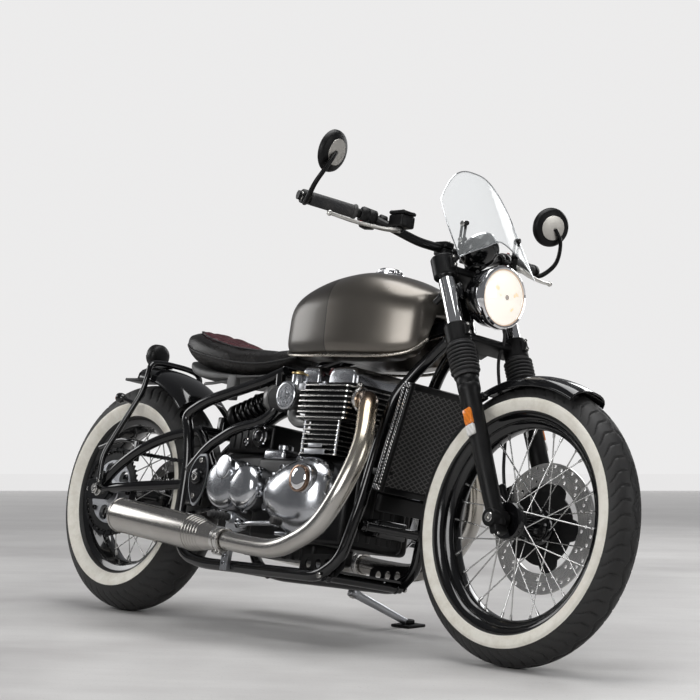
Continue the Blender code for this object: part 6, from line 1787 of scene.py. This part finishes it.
HEATED = heated_steel()
BRUSHED = brushed_steel("brushed silencer steel", 0.22)
pipes, cans, clamps, ends = bmesh.new(), bmesh.new(), bmesh.new(), bmesh.new()
axis = SILENCER[1] - SILENCER[0]
length = axis.length
for side in (1, -1):
    pipe = curve_points([sided(point, side) for point in HEADER], 10)
    swept(pipes, pipe, 0.024, 36)
    start, along = sided(SILENCER[0], side), sided(axis, side)
    cone = [(0.0292 + (0.046 - 0.0292) * (step / 8) ** 0.9, 0.036 + 0.094 * step / 8) for step in range(9)]
    turned(cans, [(0.0245, 0.001), (0.0285, 0.001), (0.029, 0.004), (0.029, 0.034)] + cone
           + [(0.046, 0.14), (0.046, length - 0.012), (0.0452, length - 0.006), (0.0425, length - 0.001),
              (0.04, length)], start, along, 72)
    for step in range(5):
        share = 0.5 + step * 0.105
        at = 0.036 + 0.094 * share
        radius = 0.0292 + (0.046 - 0.0292) * share ** 0.9
        turned(cans, [(radius + 0.0007 * math.cos(turn), at + 0.0018 * math.sin(turn))
                      for turn in [2 * math.pi * count / 8 for count in range(8)]], start, along, 64, closed=True)
    for at in (0.133, length - 0.014):
        turned(cans, [(0.0466 + 0.0009 * math.cos(turn), at + 0.0022 * math.sin(turn))
                      for turn in [2 * math.pi * count / 8 for count in range(8)]], start, along, 72, closed=True)
    turned(ends, [(0.0402, length - 0.0005), (0.03, length - 0.0015), (0.0262, length - 0.0008),
                  (0.025, length - 0.003), (0.025, length - 0.036), (0, length - 0.036)], start, along, 56)
    for at in (0.006, 0.022):
        turned(clamps, [(0.029, at), (0.0318, at + 0.001), (0.0318, at + 0.011), (0.029, at + 0.012)], start, along,
               56, closed=True)
        middle = start + along.normalized() * (at + 0.006) + Vector((0, side * 0.006, -0.034))
        block(clamps, middle - Vector((0.006, 0.006, 0.007)), middle + Vector((0.006, 0.006, 0.007)), 0.002)
        bolt(clamps, middle + Vector((0, side * 0.006, 0)), (0, side, 0), 0.0045, 0.0045)
    turned(clamps, [(0.0245, 0.003), (0.03, 0.002), (0.033, 0.004), (0.033, 0.009), (0.03, 0.012),
                    (0.027, 0.0125), (0.0245, 0.0122)], sided((0.9903, 0.104, 0.6), side), (1, 0, 0), 56, closed=True)
    for turn in (math.pi / 2 + 0.3, -math.pi / 2 + 0.3):
        spot = sided((0.9935, 0.104, 0.6), side) + Vector((0, 0.0365 * math.cos(turn), 0.0365 * math.sin(turn)))
        turned(clamps, [(0.008, -0.003), (0.008, 0.0025), (0.0055, 0.003), (0.0055, 0.01), (0.0048, 0.011),
                        (0, 0.011)], spot, (1, 0, 0), 20)
piece("exhaust_header_pipes", pipes, HEATED, "frame", ("header_left", "header_right"), sharp=60)
piece("silencers", cans, BRUSHED, "frame", ("muffler_left", "muffler_right"), sharp=40)
piece("silencer_outlets", ends, ENGINE_BLACK, "frame", sharp=40)
piece("exhaust_clamps", clamps, STAINLESS, "frame", sharp=35)

# Radiator
# A black radiator whose core shows a slanting mesh, with two bright ribbed strips down its right side, and
# a black shroud below. The tabs bolt it to the down tubes.
RAD_TURN = Matrix.Rotation(math.atan2(0.06, 0.263), 4, "Y")
RAD_MIDDLE = Matrix.Translation((1.141, 0, 0.51))


def mesh_core():
    """Black stone-guard mesh: slanting wires over near-black gaps, which are painted shade of the core behind."""
    made = Finish("radiator mesh")
    spot = made.place(bike)
    y, z = made.split(spot, 1), made.split(spot, 2)
    first = (y * 0.62 + z) / 0.0125
    second = (y * 0.62 - z) / 0.0125
    wires = first.sum("MAXIMUM", *(way.sum("PINGPONG", way, 0.5) < 0.11 for way in (first, second)))
    dust = made.noise(14, 4, 0.7)
    # Painted shade: the gaps between the wires are near-black, for the hollow core seen through them.
    tone = made.mix(wires, (0.0012, 0.0012, 0.0012), (0.085, 0.083, 0.08))
    tone = made.mix(made.span(dust, 0.6, 0.9, 0, 0.4), tone, (0.03, 0.027, 0.024))
    return made.surface(made.principled(tone, wires * -0.25 + 0.65, normal=made.bump(wires * 1.0, 0.0015, 0.9)))


def ribbed_strip():
    """Bright aluminium strip with slanting ribs pressed in, banded bright and near-black as painted highlight and
    shade.
    """
    made = Finish("ribbed bright strip")
    spot = made.place(bike)
    x, z = made.split(spot, 0), made.split(spot, 2)
    wave = (z * 1.0 + x * 1.2) / 0.0105
    rib = wave.sum("PINGPONG", wave, 0.5) * 2.0
    # Painted highlight and shade: each rib runs from near-black to bright aluminium across its width.
    tone = made.mix(made.span(rib, 0.35, 0.65), (0.03, 0.03, 0.032), (0.86, 0.86, 0.86))
    return made.surface(made.principled(tone, made.span(rib, 0.3, 0.7, 0.45, 0.16), 1.0,
                                        normal=made.bump(rib, 0.0015, 0.8)))


core, shroud, strips = bmesh.new(), bmesh.new(), bmesh.new()
slab = RAD_MIDDLE @ RAD_TURN
part = bmesh.new()
block(part, (-0.012, -0.106, -0.126), (0.012, 0.106, 0.126), 0.001)
graft(core, part, slab)
part = bmesh.new()
for low, high in (((-0.015, -0.118, -0.138), (0.015, -0.104, 0.138)),
                  ((-0.015, 0.104, -0.138), (0.015, 0.118, 0.138)),
                  ((-0.015, -0.106, 0.122), (0.015, 0.106, 0.138)),
                  ((-0.015, -0.106, -0.138), (0.015, 0.106, -0.122))):
    block(part, low, high, 0.0035)
block(part, (-0.012, -0.1, -0.186), (0.006, 0.1, -0.142), 0.005)
turned(part, [(0.015, 0), (0.0165, 0.002), (0.0165, 0.01), (0.014, 0.012), (0, 0.012)], (0.0, 0.082, 0.138),
       (0, 0, 1), 36)
graft(shroud, part, slab)
for x, z, half in ((1.0725, 0.54, 0.07), (1.0722, 0.425, 0.098)):
    for side in (1, -1):
        block(shroud, (x + 0.0022, side * half - 0.008, z - 0.008), (x + 0.062, side * half + 0.008, z + 0.008),
              0.002)
part = bmesh.new()
for x in (-0.0085, 0.0065):
    block(part, (x - 0.0042, -0.1215, -0.118), (x + 0.0042, -0.1175, 0.122), 0.0012)
for z in (-0.128, 0.131):
    block(part, (-0.013, -0.121, z - 0.006), (0.012, -0.117, z + 0.006), 0.0015)
graft(strips, part, slab)
piece("radiator_core", core, mesh_core(), "frame", "radiator", sharp=30)
piece("radiator_shroud", shroud, ENGINE_BLACK, "frame", sharp=40)
piece("radiator_strips", strips, ribbed_strip(), "frame", sharp=30)
flat = bmesh.new()
outline = [(0.87, -0.105), (0.876, -0.113), (1.004, -0.113), (1.01, -0.105), (1.01, 0.105), (1.004, 0.113),
           (0.876, 0.113), (0.87, 0.105)]
holes = [circle(0.012, 20, (x, y)) for x in (0.905, 0.975) for y in (-0.072, 0, 0.072)]
plate(flat, [outline] + holes, 0.0058, Matrix.Translation((0, 0, 0.1703)) @ Matrix.Rotation(math.pi / 2, 4, "X"))
piece("skid_plate", flat, BLACK_ENAMEL, "frame", "belly_plate", sharp=30)

# Shock
# One black shock lies under the seat: a fat body, a coil spring wound between two collars, and bolted eyes.
START, END = Vector((0.3508, 0, 0.553)), Vector((0.582, 0, 0.6268))
way = END - START
reach = way.length
damper, spring = bmesh.new(), bmesh.new()
turned(damper, [(0, 0), (0.014, 0), (0.014, 0.022), (0.033, 0.025), (0.0355, 0.028), (0.0355, 0.046),
                (0.033, 0.049), (0.0225, 0.05), (0.0225, 0.13), (0.012, 0.133), (0.012, reach - 0.052),
                (0.034, reach - 0.05), (0.035, reach - 0.048), (0.035, reach - 0.034), (0.032, reach - 0.026),
                (0.014, reach - 0.022), (0.014, reach), (0, reach)], START, way, 56)
across = Vector((0, 1, 0))
up = way.normalized().cross(across)
wire = []
for step in range(181):
    share = step / 180
    turn = 2 * math.pi * 6.0 * share
    wire.append(START + way.normalized() * (0.054 + (reach - 0.11) * share)
                + 0.0305 * (math.cos(turn) * across + math.sin(turn) * up))
swept(spring, wire, 0.0052, 12)
piece("shock_damper", damper, ENGINE_BLACK, "frame", "rear_shock", sharp=40)
piece("shock_spring", spring, BLACK_ENAMEL, "frame", sharp=60)

# Rear mudguard, stay and lamps
# A short gloss black steel guard hugs the top of the rear tyre. A bent tube stay from the axle carries it,
# with a bullet indicator on a stalk each side and a round rear lamp in a black shell.
guard = guard_shape(0.373, 0.084, 0.042, math.radians(1), math.radians(42), 44)
piece("rear_mudguard", guard, BLACK_ENAMEL, "frame", "rear_fender", rear_axle, 40)
stay, lamps, bezels, studs = bmesh.new(), bmesh.new(), bmesh.new(), bmesh.new()
for side in (1, -1):
    path = [(0.022, 0.171, 0.35), (0.014, 0.168, 0.418), (0.04, 0.124, 0.54), (0.06, 0.101, 0.61),
            (0.064, 0.0941, 0.66), (0.06, 0.0881, 0.697), (0.052, 0.05, 0.706), (0.05, 0, 0.7068)]
    swept(stay, bent([sided(point, side) for point in path], 0.03), 0.008, 20)
    block(stay, (0.01, side * 0.167 - 0.0047, 0.335), (0.034, side * 0.167 + 0.0047, 0.375), 0.002)
    swept(stay, [(0.05, side * 0.1125, 0.576), (0.004, side * 0.125, 0.589)], 0.006, 16)
    turned(stay, [(0, -0.002), (0.005, -0.001), (0.01, 0.003), (0.0135, 0.01), (0.0145, 0.016), (0.0145, 0.024),
                  (0.013, 0.0245), (0, 0.0245)], (0.012, side * 0.125, 0.59), (-1, 0, 0), 36)
    turned(lamps, [(0.013, 0.024), (0.0128, 0.027), (0.0095, 0.0305), (0.0045, 0.032), (0, 0.0325)],
           (0.012, side * 0.125, 0.59), (-1, 0, 0), 32)
    for z in (0.346, 0.364):
        bolt(studs, (0.022, side * 0.1715, z), (0, side, 0), 0.005, 0.0045)
piece("rear_stay", stay, BLACK_ENAMEL, "frame", "fender_stay", sharp=40)
piece("rear_indicator_lenses", lamps, AMBER, "frame")
shell, lens = bmesh.new(), bmesh.new()
lamp_at, lamp_way = Vector((-0.012, 0, 0.733)), Vector((-1, 0, 0.1))
turned(shell, [(0, 0), (0.015, 0.0005), (0.025, 0.003), (0.0315, 0.008), (0.034, 0.014), (0.034, 0.033),
               (0.0325, 0.035), (0.03, 0.0345), (0.029, 0.03), (0, 0.03)], lamp_at, lamp_way, 56)
for low, high in (((-0.024, -0.011, 0.698), (0.034, 0.011, 0.712)), ((-0.044, -0.009, 0.66), (-0.02, 0.009, 0.712)),
                  ((-0.128, -0.035, 0.657), (-0.022, 0.035, 0.665))):
    block(shell, low, high, 0.002)
turned(lens, [(0.029, 0.03), (0.029, 0.035), (0.025, 0.039), (0.015, 0.0415), (0, 0.0425)], lamp_at, lamp_way, 48)
turned(bezels, [(0.0294, 0.0325), (0.032, 0.034), (0.032, 0.0362), (0.03, 0.0372)], lamp_at, lamp_way, 56,
       closed=True)
piece("rear_lamp_shell", shell, SATIN, "frame", "tail_light", sharp=40)
piece("rear_lamp_lens", lens, RED, "frame")
piece("rear_lamp_bezel", bezels, CHROME, "frame")
piece("rear_stay_bolts", studs, STAINLESS, "frame", sharp=30)

# Rear drive
# A black roller chain runs round a plated sprocket on its own carrier. Each side plate is a waisted link on
# two rollers. A short tube guard runs over its top.
DRIVE_END, CHAIN_MIDDLE = (0.56, 0.361), -0.106


def chain_path(count, rear_reach=0.1195, front_reach=0.0415):
    """Evenly spaced points round both sprockets, each with its direction."""
    rear, front = Vector((0, 0, REAR_AXLE)), Vector((DRIVE_END[0], 0, DRIVE_END[1]))
    line = front - rear
    base, open_angle = math.atan2(line.z, line.x), math.acos((rear_reach - front_reach) / line.length)
    points = []
    for centre, radius, start, end in ((rear, rear_reach, base + open_angle, base + 2 * math.pi - open_angle),
                                       (front, front_reach, base - open_angle, base + open_angle)):
        points += [centre + radius * Vector((math.cos(turn), 0, math.sin(turn)))
                   for turn in [start + (end - start) * step / 60 for step in range(61)]]
    points.append(points[0])
    lengths = [(after - before).length for before, after in zip(points, points[1:])]
    found, passed, place = [], 0.0, 0
    for number in range(count):
        wanted = sum(lengths) * number / count
        while passed + lengths[place] < wanted:
            passed += lengths[place]
            place += 1
        found.append(points[place].lerp(points[place + 1], (wanted - passed) / lengths[place]))
    return found


links, rollers = bmesh.new(), bmesh.new()
path = chain_path(104)
for number, point in enumerate(path):
    after = path[(number + 1) % len(path)]
    way = after - point
    outline = []
    for x, z in ((0, 0.0058), (0.25, 0.0046), (0.5, 0.004), (0.75, 0.0046), (1, 0.0058)):
        outline.append((x * way.length, z))
    ends = [(way.length + 0.0058 * math.cos(turn), 0.0058 * math.sin(turn))
            for turn in [math.radians(60 - 40 * step) for step in range(4)]]
    back = [(x, -z) for x, z in reversed(outline)]
    tail = [(-0.0058 * math.cos(turn),
             -0.0058 * math.sin(turn)) for turn in [math.radians(60 - 40 * step) for step in range(4)]]
    turn = Matrix.Rotation(-math.atan2(way.z, way.x), 4, "Y")
    for y in ((0.0062, -0.0062) if number % 2 else (0.0042, -0.0042)):
        plate(links, [outline + ends + back + tail], 0.0014,
              Matrix.Translation((point.x, CHAIN_MIDDLE + y, point.z)) @ turn)
    turned(rollers, [(0.0026, -0.0069), (0.0026, -0.0048), (0.0042, -0.0036), (0.0042, 0.0036), (0.0026, 0.0048),
                     (0.0026, 0.0069)], (point.x, CHAIN_MIDDLE, point.z), (0, 1, 0), 10)
piece("chain_links", links, BLACK_ENAMEL, "frame", "chain", sharp=30)
piece("chain_rollers", rollers, STAINLESS, "frame", sharp=30)
wheel_teeth, carrier = bmesh.new(), bmesh.new()
teeth = []
for tooth in range(48):
    for share, radius in ((0.0, 0.1095), (0.22, 0.1105), (0.4, 0.1165), (0.6, 0.1165), (0.78, 0.1105)):
        turn = 2 * math.pi * (tooth + share) / 48
        teeth.append((radius * math.cos(turn), radius * math.sin(turn)))
plate(wheel_teeth, [teeth, circle(0.09, 80)], 0.0056, Matrix.Translation((0, CHAIN_MIDDLE, 0)))
arms = [circle(0.0895, 100), circle(0.022, 40)]
for window in range(5):
    turn = 2 * math.pi * (window + 0.5) / 5
    arms.append([(0.06 * math.cos(turn) + 0.0215 * math.cos(a) * (1 + 0.16 * math.cos(a - turn)),
                  0.06 * math.sin(turn) + 0.0215 * math.sin(a) * (1 + 0.16 * math.cos(a - turn)))
                 for a in [2 * math.pi * step / 28 for step in range(28)]])
plate(carrier, arms, 0.011, Matrix.Translation((0, CHAIN_MIDDLE + 0.001, 0)))
turned(carrier, [(0.02, -0.008), (0.034, -0.007), (0.04, 0), (0.04, 0.036), (0.03, 0.038), (0.02, 0.038)],
       (0, CHAIN_MIDDLE, 0), (0, 1, 0), 60, closed=True)
for number in range(5):
    turn = 2 * math.pi * number / 5
    bolt(wheel_teeth, (0.0825 * math.cos(turn), CHAIN_MIDDLE - 0.0045, 0.0825 * math.sin(turn)), (0, -1, 0), 0.0075,
         0.006)
piece("rear_sprocket_teeth", wheel_teeth, SATIN, "rear_wheel", "rear_sprocket", rear_axle, 30)
piece("sprocket_carrier", carrier, SATIN_ALLOY, "rear_wheel", at=rear_axle, sharp=35)
rail = bmesh.new()
swept(rail,
      curve_points([(-0.085, -0.112, 0.447), (0.006, -0.114, 0.47), (0.06, -0.114, 0.47), (0.12, -0.112, 0.464)], 8),
      0.007, 20)
block(rail, (0.096, -0.128, 0.412), (0.118, -0.116, 0.47), 0.003)
piece("chain_rail", rail, BLACK_ENAMEL, "frame", "chain_guard", sharp=40)

# Rear brake
# A drilled disc on the left of the hub, with a single black caliper hung below the swing cage on its arm.
drilled_disc("rear_drilled_disc", 0.127, 0.088, ((0.096, 0), (0.106, 5), (0.116, 10)), 0.0048, 0.103, rear_axle,
             "rear_wheel", "rear_disc", disc_steel("ground rear disc", rear_axle))
bell = bmesh.new()
arms = [circle(0.0895, 90), circle(0.026, 40)]
for window in range(6):
    turn = 2 * math.pi * window / 6
    arms.append([(0.061 * math.cos(turn) + 0.017 * math.cos(a), 0.061 * math.sin(turn) + 0.017 * math.sin(a))
                 for a in [2 * math.pi * step / 24 for step in range(24)]])
plate(bell, arms, 0.006, Matrix.Translation((0, 0.101, 0)))
turned(bell, [(0.024, -0.036), (0.033, -0.035), (0.033, 0), (0.024, 0)], (0, 0.102, 0), (0, 1, 0), 48, closed=True)
piece("rear_disc_bell", bell, SATIN, "rear_wheel", at=rear_axle, sharp=35)
grip = bmesh.new()
block(grip, (0.04, 0.085, REAR_AXLE - 0.118), (0.112, 0.1, REAR_AXLE - 0.038), 0.006)
block(grip, (0.04, 0.106, REAR_AXLE - 0.118), (0.112, 0.126, REAR_AXLE - 0.038), 0.008)
block(grip, (0.098, 0.085, REAR_AXLE - 0.114), (0.112, 0.126, REAR_AXLE - 0.042), 0.005)
block(grip, (0.06, 0.112, REAR_AXLE - 0.054), (0.085, 0.1281, REAR_AXLE + 0.0117), 0.004)
for z in (-0.096, -0.06):
    turned(grip, [(0.015, 0), (0.015, 0.003), (0.0125, 0.0045), (0, 0.0045)], (0.078, 0.1258, REAR_AXLE + z),
           (0, 1, 0), 32)
piece("rear_caliper_body", grip, SATIN, "frame", "rear_caliper", sharp=40)

# Foot controls
# Forged brackets hang from the lower rails and hold ribbed rubber pegs. A polished lever runs forward to a
# small toe pad on each side, the brake at the right and the gears at the left.
hangers, levers, pads = bmesh.new(), bmesh.new(), bmesh.new()
for side, arm in ((-1, [(0.664, 0.166, 0.262), (0.7, 0.19, 0.256), (0.76, 0.211, 0.262), (0.86, 0.214, 0.268),
                        (0.892, 0.232, 0.272)]),
                  (1, [(0.664, 0.166, 0.262), (0.72, 0.19, 0.262), (0.78, 0.211, 0.268), (0.86, 0.213, 0.276),
                       (0.892, 0.232, 0.28)])):
    outline = [(0.6, 0.14), (0.628, 0.14), (0.631, 0.2), (0.634, 0.24), (0.672, 0.25), (0.674, 0.274),
               (0.64, 0.284), (0.628, 0.289), (0.602, 0.287), (0.597, 0.25), (0.6, 0.2)]
    plate(hangers, [outline, circle(0.0085, 20, (0.614, 0.225)), circle(0.0065, 18, (0.614, 0.19))], 0.011,
          Matrix.Translation((0, side * 0.1512, 0)))
    turned(hangers, [(0.015, 0), (0.015, 0.012), (0.0125, 0.014), (0, 0.014)], (0.612, side * 0.15, 0.277),
           (0, side, 0), 32)
    turned(pads, [(0, 0.0105), (0.0104, 0.0105)] + [(0.0108 if step % 2 else 0.0092, 0.011 + step * 0.0044)
                                                     for step in range(15)] + [(0.008, 0.076), (0, 0.0765)],
           (0.612, side * 0.152, 0.277), (0, side, 0), 28)
    turned(levers, [(0.006, -0.016), (0.012, -0.015), (0.0125, 0.005), (0.01, 0.0062), (0, 0.0062)],
           (0.664, side * 0.166, 0.262), (0, side, 0), 32)
    swept(levers, curve_points([sided(point, side) for point in arm], 8), 0.006, 16)
    end = sided(arm[-1], side)
    turned(pads, [(0, 0), (0.0095, 0.0005)] + [(0.0104 if step % 2 else 0.009, 0.0015 + step * 0.0034)
                                              for step in range(9)] + [(0.008, 0.0298), (0, 0.03)],
           end - Vector((0, side * 0.012, 0)), (0, side, 0), 24)
    for z in (0.158, 0.176):
        bolt(levers, (0.614, side * 0.1565, z), (0, side, 0), 0.006, 0.0055)
piece("foot_hangers", hangers, SATIN_ALLOY, "frame", ("footrest_left", "footrest_right"), sharp=35)
piece("foot_levers", levers, ALLOY, "frame", sharp=40)
piece("foot_rubbers", pads, RUBBER, "frame", sharp=30)

# Side stand
# A tapered steel leg on its own pivot bolt, with a black foot that lies flat on the floor.
leg, sole, spring = bmesh.new(), bmesh.new(), bmesh.new()
turned(leg, [(0.007, -0.01), (0.0138, -0.01), (0.015, -0.0088), (0.015, 0.0088), (0.0138, 0.01), (0.007, 0.01)],
       (0, 0, 0), lug_axis, 40, closed=True)
knee = foot + Vector((0, -0.01, 0.012))
for step in range(10):
    share, after = 0.05 + step * 0.095, 0.05 + (step + 1) * 0.095
    turned(leg, [(0.012 - 0.003 * share, 0), (0.012 - 0.003 * after, (knee * (after - share)).length)], knee * share,
           knee, 28)
tilt = Matrix.Translation(foot) @ Matrix.Rotation(LEAN, 4, "X")
block(sole, (-0.035, -0.032, 0.0002), (0.035, 0.032, 0.008), 0.003, tilt)
block(sole, (-0.014, -0.016, 0.006), (0.014, 0.012, 0.02), 0.005, tilt)
stand_at = bike @ Matrix.Translation(stand_pivot)
piece("stand_leg", leg, SATIN_ALLOY, "side_stand", "side_stand", stand_at, 50)
piece("stand_foot", sole, SATIN, "side_stand", at=stand_at, sharp=40)
turned(spring, [(0, -0.0145), (0.0085, -0.014), (0.0085, -0.0105), (0, -0.0104)], stand_pivot, lug_axis, 6)
piece("stand_bolt", spring, STAINLESS, "frame", sharp=30)

# Low front bracket
# A black steel plate with four round holes stands inside each lower rail, in front of the engine.
web = bmesh.new()
for side in (1, -1):
    outline = [(0.872, 0.156), (1.012, 0.156), (1.036, 0.18), (1.04, 0.208), (1.026, 0.214), (0.89, 0.206),
               (0.874, 0.195)]
    holes = [circle(0.0115, 24, (x, z)) for x, z in ((0.904, 0.183), (0.94, 0.185), (0.976, 0.187), (1.01, 0.188))]
    plate(web, [outline] + holes, 0.004, Matrix.Translation((0, side * 0.119, 0)))
    for x, z in ((0.884, 0.164), (1.004, 0.164)):
        bolt(web, (x, side * 0.1212, z), (0, side, 0), 0.006, 0.005)
piece("low_front_brackets", web, SATIN, "frame", sharp=30)
